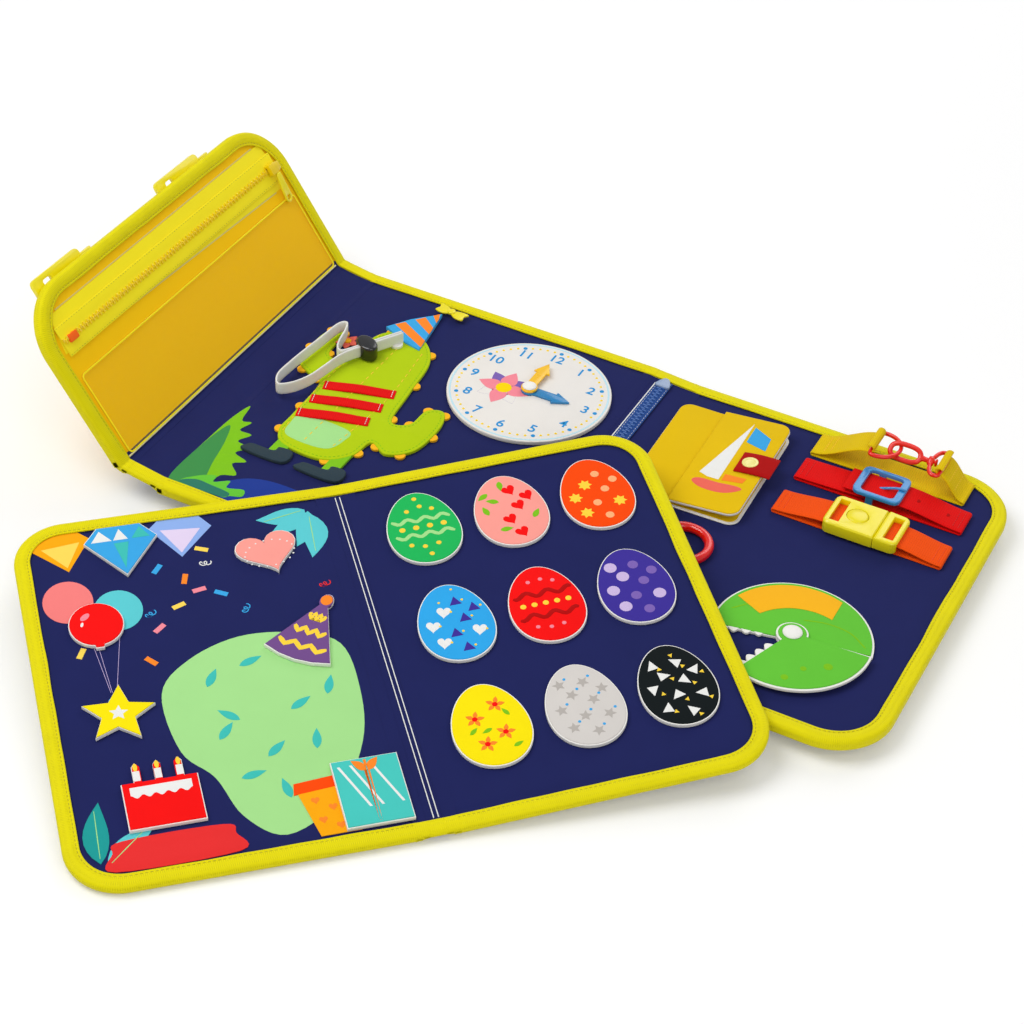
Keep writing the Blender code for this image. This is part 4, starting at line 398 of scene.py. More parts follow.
    PRINT_ORANGE = Cloth("print_orange", "FF8A2A", "foam_orange", mottle=0.05)
    PRINT_WHITE = Cloth("print_white", "EDEDEA", "foam_grey", mottle=0.05)
    GREY_SHADE = Cloth("grey_shade", "B7B1AB", "foam_grey", mottle=0.05)
    PRINT_LILAC = Cloth("print_lilac", "CDB8E2", "foam_purple", mottle=0.05)
    PRINT_PEACH = Cloth("print_peach", "FFB27A", "foam_orange", mottle=0.05)
    PRINT_VIOLET = Cloth("print_violet", "7E64B4", "foam_purple", mottle=0.05)
    TEAL_SHADE = Cloth("print_teal_shade", "2E7A66", "lime_felt", mottle=0.08)
    FERN_DARK = Cloth("print_fern_dark", "3F8F4C", "lime_felt", mottle=0.08)
    PRINT_HILL = Cloth("print_hill", "1D3A94", "navy_felt", mottle=0.08)

    def paint(self) -> bpy.types.Material:
        """Return this finish's material."""
        return self.value.material()


# Outlines, flat in a board's plane

def arc(centre: Point2, radius: float, start: float, end: float, steps: int) -> Outline:
    """Return points along an arc, its angles in degrees, both ends included."""
    turns = [math.radians(start + (end - start) * step / steps) for step in range(steps + 1)]
    return [(centre[0] + radius * math.cos(turn), centre[1] + radius * math.sin(turn)) for turn in turns]


def circle(centre: Point2, radius: float, steps: int = 40) -> Outline:
    """Return a closed circle."""
    return arc(centre, radius, 0, 360, steps)[:-1]


def rounded(low: Point2, high: Point2, radius: float, steps: int = 6) -> Outline:
    """Return a rectangle with four equal round corners."""
    points = arc((high[0] - radius, low[1] + radius), radius, -90, 0, steps)
    points += arc((high[0] - radius, high[1] - radius), radius, 0, 90, steps)
    points += arc((low[0] + radius, high[1] - radius), radius, 90, 180, steps)
    return points + arc((low[0] + radius, low[1] + radius), radius, 180, 270, steps)


def smooth(points: Sequence[Sequence[float]], steps: int = 6, closed: bool = True) -> list[Vector]:
    """Return a Catmull-Rom curve through given points."""
    spots = [Vector((*point, 0.0)[:3]) for point in points]
    if closed:
        spots = [spots[-1], *spots, spots[0], spots[1]]
    else:
        spots = [spots[0] * 2 - spots[1], *spots, spots[-1] * 2 - spots[-2]]
    path = []
    for index in range(1, len(spots) - 2):
        before, start, end, after = spots[index - 1:index + 3]
        for step in range(steps):
            share = step / steps
            path.append((start * 2 + (end - before) * share
                         + (before * 2 - start * 5 + end * 4 - after) * share ** 2
                         + (start * 3 - before - end * 3 + after) * share ** 3) / 2)
    return path if closed else path + [spots[-2]]


def flat(points: Iterable[Vector]) -> Outline:
    """Return the x and y of each point."""
    return [(point[0], point[1]) for point in points]


def blob(points: Sequence[Point2], steps: int = 5, unit: float = MM) -> Outline:
    """Return a smooth closed outline through points given in a unit."""
    return flat(smooth([(x * unit, y * unit) for x, y in points], steps))


def crisp(points: Sequence[Point2], unit: float = MM) -> Outline:
    """Return a straight-sided outline given in a unit."""
    return [(x * unit, y * unit) for x, y in points]


def moved(outline: Outline, place: Point2 = (0, 0), turn: float = 0, size: Union[float, Point2] = 1) -> Outline:
    """Return an outline sized, then turned by degrees, then moved."""
    wide, high = size if isinstance(size, tuple) else (size, size)
    cosine, sine = math.cos(math.radians(turn)), math.sin(math.radians(turn))
    return [(place[0] + x * wide * cosine - y * high * sine, place[1] + x * wide * sine + y * high * cosine)
            for x, y in outline]


def grown(outline: Outline, amount: float) -> Outline:
    """Return an outline moved outward by an amount along its point normals."""
    count = len(outline)
    result = []
    for index, (x, y) in enumerate(outline):
        before, after = Vector(outline[index - 1]), Vector(outline[(index + 1) % count])
        along = (after - before).normalized()
        result.append((x + along.y * amount, y - along.x * amount))
    return result


def band(points: Sequence[Point2], width: float) -> Outline:
    """Return the outline of a line of one width, tapered a little at its ends."""
    spots = [Vector(point[:2]) for point in points]
    sides: tuple[list, list] = ([], [])
    for index, spot in enumerate(spots):
        along = (spots[min(index + 1, len(spots) - 1)] - spots[max(index - 1, 0)]).normalized()
        normal = Vector((-along.y, along.x)) * width / 2
        if index in (0, len(spots) - 1):
            normal *= 0.6
        sides[0].append(tuple(spot - normal))
        sides[1].append(tuple(spot + normal))
    return sides[0] + sides[1][::-1]


def star(points: int = 5, waist: float = 0.46) -> Outline:
    """Return a star of unit width."""
    return [(math.cos(math.radians(90 + 180 * step / points)) * (0.5 if step % 2 == 0 else 0.5 * waist),
             math.sin(math.radians(90 + 180 * step / points)) * (0.5 if step % 2 == 0 else 0.5 * waist))
            for step in range(2 * points)]


def heart(steps: int = 26) -> Outline:
    """Return a heart of unit width."""
    turns = [math.tau * (step + 0.5) / steps for step in range(steps)]
    return [(-math.sin(turn) ** 3 / 2, (13 * math.cos(turn) - 5 * math.cos(2 * turn) - 2 * math.cos(3 * turn)
                                        - math.cos(4 * turn)) / 29 + 0.09) for turn in turns]


def leaf(length: float, width: float, bow: float = 0.0) -> Outline:
    """Return a pointed leaf along +x from the origin, bowed sideways by a share of its length."""
    steps = 9
    upper, lower = [], []
    for step in range(steps + 1):
        share = step / steps
        half = width / 2 * math.sin(math.pi * share ** 0.8)
        rise = bow * length * share * (1 - share) * 4
        upper.append((length * share, rise + half))
        lower.append((length * share, rise - half))
    return lower + upper[-2:0:-1]


# Workbench

@dataclass
class Plane:
    """The plane of a board: the body that carries it and where its frame lies at rest."""

    body: str
    matrix: Matrix

    @classmethod
    def spanned(cls, body: str, origin: Vector, along: Vector, up: Vector) -> "Plane":
        """Return the plane at an origin, with x along one direction and z as near as can be to another."""
        x = along.normalized()
        y = up.cross(x).normalized()
        z = x.cross(y)
        matrix = Matrix((x, y, z)).transposed().to_4x4()
        matrix.translation = origin
        return cls(body, matrix)

    def shifted(self, place: Sequence[float], turn: float = 0, body: Optional[str] = None) -> "Plane":
        """Return this plane moved within itself and turned by degrees about its z."""
        matrix = self.matrix @ Matrix.Translation(Vector(place)) @ Matrix.Rotation(math.radians(turn), 4, "Z")
        return Plane(body or self.body, matrix)


def linked(name: str, data: bpy.types.ID) -> bpy.types.Object:
    """Return a new object of that name in the scene."""
    item = bpy.data.objects.new(name, data)
    bpy.context.scene.collection.objects.link(item)
    return item


def meshed(name: str, places: Sequence[Vector], faces: Sequence[Sequence[int]]) -> bpy.types.Object:
    """Return a new mesh object of points and faces."""
    data = bpy.data.meshes.new(name)
    data.from_pydata([tuple(place) for place in places], [], faces)
    return linked(name, data)


def applied(item: bpy.types.Object) -> bpy.types.Object:
    """Apply an object's place, turn and size to its mesh."""
    alone(item)
    bpy.ops.object.transform_apply(location=True, rotation=True, scale=True)
    return item


def added(name: str, place: Sequence[float], size: Sequence[float] = (1, 1, 1)) -> bpy.types.Object:
    """Name, size and place the primitive that was added last, and apply it."""
    item = bpy.context.view_layer.objects.active
    item.name = name
    item.scale = size
    item.location = place
    return applied(item)


def alone(item: Optional[bpy.types.Object] = None) -> None:
    """Deselect everything, then select and activate one object."""
    bpy.ops.object.select_all(action="DESELECT")
    if item is not None:
        item.select_set(True)
        bpy.context.view_layer.objects.active = item


@contextmanager
def editing(choice: str = "SELECT") -> Iterator[None]:
    """Edit the active mesh, with its parts first selected or deselected, or left as they are for an empty choice."""
    bpy.ops.object.mode_set(mode="EDIT")
    if choice:
        bpy.ops.mesh.select_all(action=choice)
    yield
    bpy.ops.object.mode_set(mode="OBJECT")


def tidy(item: bpy.types.Object, doubles: float = 1e-6, angle: float = 40, outward: bool = True) -> None:
    """Merge doubles, point faces outward and shade smooth up to an angle."""
    alone(item)
    with editing():
        bpy.ops.mesh.remove_doubles(threshold=doubles)
        if outward:
            bpy.ops.mesh.normals_make_consistent(inside=False)
    bpy.ops.object.shade_smooth_by_angle(angle=math.radians(angle))


def finished(item: bpy.types.Object, kind: str, **settings: object) -> bpy.types.Object:
    """Add a modifier with its settings and apply it."""
    alone(item)
    modifier = item.modifiers.new(kind.lower(), kind)
    for key, value in settings.items():
        setattr(modifier, key, value)
    bpy.ops.object.modifier_apply(modifier=modifier.name)
    return item


def joined(name: str, items: Sequence[bpy.types.Object]) -> bpy.types.Object:
    """Join meshes into the first one and rename it."""
    alone(items[0])
    for item in items:
        item.select_set(True)
    if len(items) > 1:
        bpy.ops.object.join()
    items[0].name = name
    return items[0]


def settle(item: bpy.types.Object, plane: Plane, look: Optional[Look] = None,
           stands_for: Sequence[str] = ()) -> bpy.types.Object:
    """Set a piece made in a board's plane into place, give it its finish and let it ride on the board.

    Args:
        item: the piece, modelled in the plane's coordinates.
        plane: the plane that carries it.
        look: its finish, unless it has its materials already.
        stands_for: the CAD nodes that it replaces.

    Returns:
        The same piece.
    """
    applied(item).data.transform(plane.matrix)
    item.data.update()
    if look is not None:
        item.data.materials.clear()
        item.data.materials.append(look.paint())
    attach(item, plane.body)
    if stands_for:
        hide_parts(*stands_for)
    LOG.info("made %s on %s", item.name, plane.body)
    return item


def cut_sheet(name: str, outlines: Sequence[Outline], low: float, high: float, soft: float = 0.0,
              angle: float = 40) -> bpy.types.Object:
    """Cut sheet material to outlines and round its rims.

    Args:
        name: the piece's name.
        outlines: closed outlines that don't cross; one inside another is a hole.
        low: height of its underside.
        high: height of its face.
        soft: radius of the rims.
        angle: degrees up to which it is shaded smooth.

    Returns:
        The sheet as a mesh.
    """
    curve = bpy.data.curves.new(name, "CURVE")
    curve.dimensions = "2D"
    curve.fill_mode = "BOTH"
    curve.extrude = max((high - low) / 2 - soft, 1e-6)
    curve.bevel_depth = soft
    curve.bevel_resolution = 2
    curve.offset = -soft
    for outline in outlines:
        spline = curve.splines.new("POLY")
        spline.points.add(len(outline) - 1)
        for point, (x, y) in zip(spline.points, outline):
            point.co = (x, y, 0, 1)
        spline.use_cyclic_u = True
    alone(linked(name, curve))
    bpy.ops.object.convert(target="MESH")
    item = bpy.context.view_layer.objects.active
    item.location.z = (low + high) / 2
    tidy(applied(item), 1e-6, angle)
    return item


def printed(name: str, plane: Plane, prints: dict[Look, Sequence[Outline]], face: float = 0.0,
            proud: float = 0.00012, sunk: float = 0.0004) -> None:
    """Lay printed shapes on a face, one piece for each ink, each ink a little prouder than the last.

    Args:
        name: what the pieces' names start with.
        plane: the plane that carries them.
        prints: ink to outlines, in the order of printing.
        face: height of the face in the plane.
        proud: how far the first ink stands out.
        sunk: how far each reaches into the face.
    """
    for order, (look, outlines) in enumerate(prints.items()):
        top = face + proud + order * 0.00004
        item = cut_sheet(f"{name}_{look.name.lower()}", outlines, face - sunk, top, 0.00002)
        settle(item, plane, look)


def swept(name: str, rings: Sequence[Sequence[Vector]], closed: bool = False,
          angle: float = 50) -> bpy.types.Object:
    """Skin equal rings of points, with the distances along and around them as the path coordinates."""
    count = len(rings[0])
    places = [point for ring in rings for point in ring]
    faces = []
    marks = []
    centres = [sum((Vector(point) for point in ring), Vector()) / count for ring in rings]
    along = [0.0]
    for first, second in zip(centres, centres[1:] + centres[:1]):
        along.append(along[-1] + (second - first).length)
    around = [0.0]
    for first, second in zip(rings[0], list(rings[0][1:]) + [rings[0][0]]):
        around.append(around[-1] + (Vector(second) - Vector(first)).length)
    total = len(rings) if closed else len(rings) - 1
    for row in range(total):
        after = (row + 1) % len(rings)
        for side in range(count):
            other = (side + 1) % count
            faces.append((row * count + side, row * count + other, after * count + other, after * count + side))
            marks += [(along[row], around[side]), (along[row], around[side + 1]),
                      (along[row + 1], around[side + 1]), (along[row + 1], around[side])]
    if not closed:
        for row, start in ((0, 0), (len(rings) - 1, (len(rings) - 1) * count)):
            faces.append(tuple(range(start, start + count)))
            marks += [(along[row], around[side]) for side in range(count)]
    item = meshed(name, places, faces)
    layer = item.data.uv_layers.new(name="path")
    for loop, mark in zip(layer.data, marks):
        loop.uv = mark
    tidy(item, 1e-7, angle)
    return item


def along_path(points: Sequence[Vector], step: float) -> list[Vector]:
    """Return a path's points again at even distances."""
    lengths = [0.0]
    for first, second in zip(points, points[1:]):
        lengths.append(lengths[-1] + (second - first).length)
    count = max(2, round(lengths[-1] / step))
    result = []
    index = 0
    for number in range(count + 1):
        reach = lengths[-1] * number / count
        while index < len(points) - 2 and lengths[index + 1] < reach:
            index += 1
        part = (reach - lengths[index]) / max(lengths[index + 1] - lengths[index], 1e-9)
        result.append(points[index].lerp(points[index + 1], part))
    return result


def tape_rings(path: Sequence[Vector], across: Vector, width: float, thick: float,
               closed: bool = False, crown: float = 0.0) -> list[list[Vector]]:
    """Return rounded tape sections along a path, flat in one direction across it.

    Args:
        path: the points that the tape's middle follows.
        across: the direction of its width.
        width: its width.
        thick: its thickness.
        closed: whether the path closes on itself.
        crown: how far its middle stands out over its sides.

    Returns:
        One ring of points for each point of the path.
    """
    rings = []
    count = len(path)
    across = across.normalized()
    edge = thick * 0.5
    for index, spot in enumerate(path):
        before = path[index - 1] if index or closed else path[0]
        after = path[(index + 1) % count] if index < count - 1 or closed else path[-1]
        normal = (after - before).normalized().cross(across).normalized()
        ring = []
        for face in (1, -1):
            for share in (-1, -0.94, -0.6, 0, 0.6, 0.94, 1):
                height = (edge if abs(share) < 1 else edge * 0.45) + crown * (1 - share * share)
                ring.append(spot + across * share * face * width / 2 + normal * height * face)
        rings.append(ring)
    return rings


def tube_rings(path: Sequence[Vector], radius: float, sides: int = 16, closed: bool = False) -> list[list[Vector]]:
    """Return round sections along a path."""
    rings = []
    guide = None
    count = len(path)
    for index, spot in enumerate(path):
        before = path[index - 1] if index or closed else path[0]
        after = path[(index + 1) % count] if index < count - 1 or closed else path[-1]
        along = (after - before).normalized()
        guide = along.orthogonal().normalized() if guide is None else guide
        guide = (guide - along * guide.dot(along)).normalized()
        other = along.cross(guide)
        rings.append([spot + guide * radius * math.cos(math.tau * side / sides)
                      + other * radius * math.sin(math.tau * side / sides) for side in range(sides)])
    return rings


def stitches(name: str, path: Sequence[Vector], length: float = 0.0022, pitch: float = 0.0032,
             thick: float = 0.00055, closed: bool = False, up: Vector = UP) -> bpy.types.Object:
    """Sew a line of thread stitches along a path.

    Args:
        name: the piece's name.
        path: the line's points.
        length: length of one stitch.
        pitch: distance from one stitch to the next.
        thick: thickness of the thread.
        closed: whether the line closes on itself.
        up: the cloth's outward direction.

    Returns:
        The stitches as one mesh.
    """
    spots = along_path(list(path) + ([path[0]] if closed else []), pitch)
    places, faces = [], []
    for first, second in zip(spots, spots[1:]):
        along = (second - first).normalized()
        side = up.cross(along).normalized()
        centre = (first + second) / 2
        base = len(places)
        for reach, size in ((-0.5, 0.35), (-0.3, 1.0), (0.3, 1.0), (0.5, 0.35)):
            for turn in range(6):
                angle = math.tau * turn / 6
                places.append(centre + along * length * reach + side * math.cos(angle) * thick / 2 * size
                              + up * (math.sin(angle) * thick / 2 * size + (size - 1) * thick * 0.4))
        for row in range(3):
            for turn in range(6):
                other = (turn + 1) % 6
                faces.append((base + row * 6 + turn, base + row * 6 + other, base + row * 6 + 6 + other,
                              base + row * 6 + 6 + turn))
        faces += [tuple(base + turn for turn in range(6)), tuple(base + 18 + turn for turn in range(6))]
    item = meshed(name, places, faces)
    tidy(item, 1e-8, 60)
    return item


def dome(name: str, place: Sequence[float], radius: float, squash: float, rings: int) -> bpy.types.Object:
    """Return the upper half of a flattened ball, closed at its foot."""
    alone()
    bpy.ops.mesh.primitive_uv_sphere_add(segments=2 * rings, ring_count=rings, radius=radius)
    item = added(name, place, (1, 1, squash))
    with editing():
        bpy.ops.mesh.bisect(plane_co=(0, 0, place[2]), plane_no=(0, 0, 1), clear_inner=True, use_fill=True)
    return item


def from_node(name: str, node: str) -> bpy.types.Object:
    """Return a clean copy of a CAD node's mesh to work on."""
    item = linked(name, frame["nodes"][node].data.copy())
    alone(item)
    with editing():
        bpy.ops.mesh.remove_doubles(threshold=1e-5)
        bpy.ops.mesh.tris_convert_to_quads(face_threshold=math.radians(5), shape_threshold=math.radians(40))
        bpy.ops.mesh.dissolve_limited(angle_limit=math.radians(1))
    return item


def refined(node: str, body: str, look: Look, edge: float = 0.0004, angle: float = 30,
            levels: int = 0, swell: float = 0.0) -> bpy.types.Object:
    """Replace a moulded CAD node by the same shape with softened edges.

    Args:
        node: the CAD node's name.
        body: the body that it rides on.
        look: its finish.
        edge: radius of its edges, or 0 to leave them.
        angle: degrees from which an edge counts as one.
        levels: subdivision levels for round stock.
        swell: how far round stock is let out again after it.

    Returns:
        The new piece.
    """
    item = from_node(f"{node}_moulding", node)
    if edge:
        finished(item, "BEVEL", width=edge, segments=2, limit_method="ANGLE", angle_limit=math.radians(angle),
                 use_clamp_overlap=True)
    if levels:
        finished(item, "SUBSURF", levels=levels, render_levels=levels)
        finished(item, "DISPLACE", strength=swell, mid_level=0.0)
    tidy(item, 1e-7, 45)
    return settle(item, Plane(body, Matrix.Identity(4)), look, [node])


# Boards

PROUD = 0.0015
TAPE_FACE = 0.011
FELT_GAP = 0.0003
FELT = 0.003
BOARD_DEPTH = 0.320
BOARD_THICK = 0.008
BOARD_CORNER = 0.045
PAGE_THICK = 0.0055
PAGE_CORNER = 0.037
STRIP_THICK = 0.004
BOOK_SOFT_THICK = 0.0035
MIDDLE_WIDTH = 0.252
FLAP_WIDTH = 0.1375
STRIP_WIDTH = 0.030
SPINE_WIDTH = 0.040
END_WIDTH = 0.262
PAGE_WIDTH = 0.220
BOOK_SPINE_WIDTH = 0.020


def read_planes() -> dict[str, Plane]:
    """Return the plane of every board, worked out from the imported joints."""
    joints = {joint["name"]: joint for joint in frame["joints"]}

    def spot(name: str) -> Vector:
        return Vector(joints[name]["pos_m"])

    def way(name: str) -> Vector:
        return Vector(joints[name]["axis"]).normalized()

    def hung(body: str, place: Vector, along: Vector, up: Vector, shift: float = 0.0) -> Plane:
        plane = Plane.spanned(body, place, along, up)
        plane.matrix.translation = plane.matrix @ Vector((shift, 0, -PROUD))
        return plane

    x, z = Vector((1, 0, 0)), Vector((0, 0, 1))
    near = way("zip_run")
    strip = spot("flap_strip_fold") - spot("flap_fold")
    rise = spot("end_fold") - spot("spine_fold")
    back = spot("book_back_fold") - spot("left_leaf_fold")
    return {
        "middle": hung("middle_board", spot("spine_fold"), x, z, -MIDDLE_WIDTH),
        "spine": hung("spine", spot("spine_fold"), rise, rise.cross(near)),
        "end": hung("end_board", spot("end_fold"), x, z),
        "strip": hung("flap_strip", spot("flap_strip_fold"), strip, strip.cross(near)),
        "flap": hung("flap", spot("flap_fold"), way("near_closure_fold"), way("near_closure_fold").cross(near),
                     -FLAP_WIDTH),
        "right": hung("right_leaf", spot("book_back_fold"), way("book_back_fold").cross(way("peel_egg_yellow")),
                      way("peel_egg_yellow")),
        "left": hung("left_leaf", spot("left_leaf_fold"), way("left_leaf_fold").cross(way("peel_party_star")),
                     way("peel_party_star"), -PAGE_WIDTH),
        "back": hung("book_back", spot("left_leaf_fold"), back, back.cross(way("left_leaf_fold"))),
    }


@dataclass
class BoundBoard:
    """A felt board whose free edges are bound in stitched tape."""

    name: str
    plane: Plane
    width: float
    thick: float
    radius: float
    bound: str
    panel_node: str
    binding_node: str
    cloth: Look = Look.NAVY
    depth: float = BOARD_DEPTH
    cell: float = 0.0045
    pinch: float = 0.0007

    def inward(self, x: float, y: float) -> float:
        """Return how far a spot lies from the nearest bound edge."""
        sideways = [x] if "left" in self.bound else []
        sideways += [self.width - x] if "right" in self.bound else []
        across = min(sideways) if sideways else 1.0
        down = min(y, self.depth - y)
        if across < self.radius and down < self.radius:
            return self.radius - math.hypot(self.radius - across, self.radius - down)
        return min(across, down)

    def panel(self) -> bpy.types.Object:
        """Make the felt board, pinched where its binding is sewn on."""
        alone()
        bpy.ops.mesh.primitive_grid_add(x_subdivisions=round(self.width / self.cell),
                                        y_subdivisions=round(self.depth / self.cell), size=1)
        item = added(f"{self.name}_felt", (self.width / 2, self.depth / 2, 0),
                     (self.width - 2 * FELT_GAP, self.depth - 0.003, 1))
        with editing("DESELECT"):
            pass
        for vertex in item.data.vertices:
            vertex.select = self.inward(vertex.co.x, vertex.co.y) < 0.0035
        with editing(""):
            bpy.ops.mesh.delete(type="VERT")
        finished(item, "SOLIDIFY", thickness=self.thick, offset=-1)
        finished(item, "BEVEL", width=0.0009, segments=2, limit_method="ANGLE", angle_limit=math.radians(50))
        middle = -self.thick / 2
        for vertex in item.data.vertices:
            reach = min(1.0, max(0.0, (self.inward(vertex.co.x, vertex.co.y) - 0.0095) / 0.0095))
            ease = reach * reach * (3 - 2 * reach)
            side = 1 if vertex.co.z > middle else -1
            vertex.co.z -= side * self.pinch * (1 - ease)
        tidy(item, 1e-7, 45)
        return settle(item, self.plane, self.cloth, [self.panel_node])

    def rim(self, step: float = 0.0035) -> list[list[tuple[Vector, Vector]]]:
        """Return runs of (point, inward direction) along the bound edges."""
        up, down = Vector((0, 1, 0)), Vector((0, -1, 0))
        if not self.bound:
            count = round(self.width / step)
            spots = [FELT_GAP + (self.width - 2 * FELT_GAP) * number / count for number in range(count + 1)]
            return [[(Vector((x, 0, 0)), up) for x in spots],
                    [(Vector((x, self.depth, 0)), down) for x in reversed(spots)]]
        outer = self.width if self.bound == "right" else 0.0
        inner = FELT_GAP if self.bound == "right" else self.width - FELT_GAP
        turn = 1 if self.bound == "right" else -1
        bend = outer - turn * self.radius
        run = []
        count = round(abs(bend - inner) / step)
        for number in range(count):
            run.append((Vector((inner + (bend - inner) * number / count, 0, 0)), up))
        side = self.depth - 2 * self.radius
        for centre, start in ((self.radius, -90), (self.depth - self.radius, 0)):
            for number in range(25):
                angle = math.radians(start + 90 * number / 24)
                out = Vector((math.cos(angle) * turn, math.sin(angle), 0))
                run.append((Vector((bend, centre, 0)) + out * self.radius, -out))
            if start == -90:
                rows = round(side / step)
                run += [(Vector((outer, self.radius + side * number / rows, 0)), Vector((-turn, 0, 0)))
                        for number in range(1, rows)]
        for number in range(1, count + 1):
            run.append((Vector((bend + (inner - bend) * number / count, self.depth, 0)), down))
        return [run]

    def section(self, along: float) -> list[tuple[float, float]]:
        """Return the tape's section at a distance along it, as (inset, height) pairs."""
        sway = noise.noise(Vector((along * 34, self.width * 90, 0))) * 0.0006
        swell = noise.noise(Vector((along * 60, 3, self.width * 70))) * 0.00025
        low, top = -self.thick, PROUD
        face = TAPE_FACE + sway
        return [
            (face, low + 0.0012), (0.0013, low + 0.0012), (0.0013, top - 0.0012), (face, top - 0.0012),
            (face + 0.0001, top - 0.0004), (face - 0.0004, top - 0.00005), (face - 0.0013, top - 0.0002),
            (face - 0.0019, top - 0.0005), (face - 0.0025, top - 0.0001), (face - 0.0040, top + swell + 0.0002),
            (0.0044, top + swell + 0.0002), (0.0024, top - 0.0001), (0.0010, top - 0.0007),
            (0.0002, top - 0.0017), (0.0, top - 0.0030), (0.0, low + 0.0026), (0.0003, low + 0.0014),
            (0.0011, low + 0.0005), (0.0026, low), (face - 0.0004, low), (face, low + 0.0003),
        ]

    def binding(self) -> None:
        """Fold the tape round the bound edges and sew it down on its top face."""
        tapes, seams = [], []
        for number, run in enumerate(self.rim()):
            along = 0.0
            rings = []
            for index, (point, inward) in enumerate(run):
                along += (point - run[index - 1][0]).length if index else 0.0
                rings.append([point + inward * inset + Vector((0, 0, height))
                              for inset, height in self.section(along)])
            tapes.append(swept(f"{self.name}_tape_{number}", rings, angle=65))
            inset = TAPE_FACE - 0.0019
            top = [point + inward * inset + Vector((0, 0, PROUD - 0.00028)) for point, inward in run]
            seams.append(stitches(f"{self.name}_seam_{number}", top))
        tape = joined(f"{self.name}_tape", tapes)
        settle(tape, self.plane, Look.TAPE, [self.binding_node])
        settle(joined(f"{self.name}_seam", seams), self.plane, Look.THREAD)

    def build(self) -> None:
        """Make the board and its binding."""
        self.panel()
        self.binding()


@dataclass
class Crease:
    """The cloth and tape that run on across the fold between two boards."""

    name: str
    first: Plane
    first_x: float
    first_thick: float
    second: Plane
    second_x: float
    second_thick: float
    reach: float = 0.0045
    cloth: Look = Look.NAVY

    def ring(self, share: float, section: Callable[[float], list[tuple[float, float]]]) -> list[Vector]:
        """Return a section's points in the world at a share from -1 to 1 across the fold."""
        thick = self.first_thick + (self.second_thick - self.first_thick) * (share + 1) / 2
        points = []
        for y, z in section(thick):
            before = self.first.matrix @ Vector((self.first_x + self.reach * min(share, 0), y, z))
            after = self.second.matrix @ Vector((self.second_x + self.reach * max(share, 0), y, z))
            weight = min(1.0, max(0.0, share * 2 + 0.5))
            points.append(before.lerp(after, weight))
        return points

    def wrap(self, name: str, look: Look, section: Callable[[float], list[tuple[float, float]]]) -> None:
        """Skin one section across the fold between the two boards."""
        shares = (-1, -0.7, -0.45, -0.25, -0.1, 0, 0.1, 0.25, 0.45, 0.7, 1)
        item = swept(f"{self.name}_{name}", [self.ring(share, section) for share in shares], angle=50)
        item.data.materials.append(look.paint())
        start = self.first.matrix @ Vector((self.first_x - self.reach * 0.6, BOARD_DEPTH / 2, 0))
        end = self.second.matrix @ Vector((self.second_x + self.reach * 0.6, BOARD_DEPTH / 2, 0))
        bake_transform(item)

    def build(self) -> None:
        """Make the cloth of the fold and the tape at both its ends."""
        edge = 0.008

        def cloth(thick: float) -> list[tuple[float, float]]:
            rise = 0.00012
            return [(edge, rise), (BOARD_DEPTH - edge, rise), (BOARD_DEPTH - edge, -thick - rise),
                    (edge, -thick - rise)]

        def tape(side: int) -> Callable[[float], list[tuple[float, float]]]:
            def section(thick: float) -> list[tuple[float, float]]:
                face, top, low = TAPE_FACE - 0.0001, PROUD + 0.0001, -thick - 0.0001
                pairs = [(face, 0.0), (face, top - 0.0003), (face - 0.0005, top), (0.0035, top + 0.0001),
                         (0.0012, top - 0.0006), (0.0, top - 0.0021), (0.0, low + 0.0015), (0.001, low + 0.0004),
                         (0.003, low), (face - 0.0004, low), (face, low + 0.0004)]
                return [(y if side < 0 else BOARD_DEPTH - y, z) for y, z in pairs]
            return section

        self.wrap("cloth", self.cloth, cloth)
        self.wrap("tape_near", Look.TAPE, tape(-1))
        self.wrap("tape_far", Look.TAPE, tape(1))


@dataclass
class SoftStrip:
    """A soft strip between two creases, bound at its near and far ends."""

    name: str
    plane: Plane
    left: float
    right: float
    thick: float
    node: str
    cloth: Look = Look.NAVY
    sag: float = 0.0004

    def build(self) -> None:
        """Make the strip, a little hollow along its middle, and its two bound ends."""
        alone()
        width = self.right - self.left - 2 * FELT_GAP
        bpy.ops.mesh.primitive_grid_add(x_subdivisions=10, y_subdivisions=80, size=1)
        item = added(f"{self.name}_felt", ((self.left + self.right) / 2, BOARD_DEPTH / 2, 0),
                     (width, BOARD_DEPTH - 0.004, 1))
        finished(item, "SOLIDIFY", thickness=self.thick, offset=-1)
        finished(item, "BEVEL", width=0.0006, segments=2, limit_method="ANGLE", angle_limit=math.radians(50))
        for vertex in item.data.vertices:
            share = (vertex.co.x - self.left) / (self.right - self.left)
            ripple = noise.noise(Vector((vertex.co.x * 30, vertex.co.y * 22, 5))) * 0.0004
            vertex.co.z -= (self.sag + ripple) * math.sin(math.pi * share) ** 2
        tidy(item, 1e-7, 45)
        settle(item, self.plane, self.cloth, [self.node])
        ends = []
        for side in (-1, 1):
            rings = []
            for number in range(9):
                x = self.left + FELT_GAP + width * number / 8
                face, top, low = TAPE_FACE, PROUD, -self.thick
                pairs = [(face, low + 0.0003), (face, top - 0.0003), (face - 0.0005, top - 0.00005),
                         (face - 0.0017, top - 0.0003), (face - 0.003, top), (0.0035, top), (0.0012, top - 0.0007),
                         (0.0, top - 0.0022), (0.0, low + 0.0014), (0.001, low + 0.0004), (0.003, low),
                         (face - 0.0004, low)]
                rings.append([Vector((x, y if side < 0 else BOARD_DEPTH - y, z)) for y, z in pairs])
            ends.append(swept(f"{self.name}_end_{side}", rings, angle=60))
        settle(joined(f"{self.name}_tape", ends), self.plane, Look.TAPE)


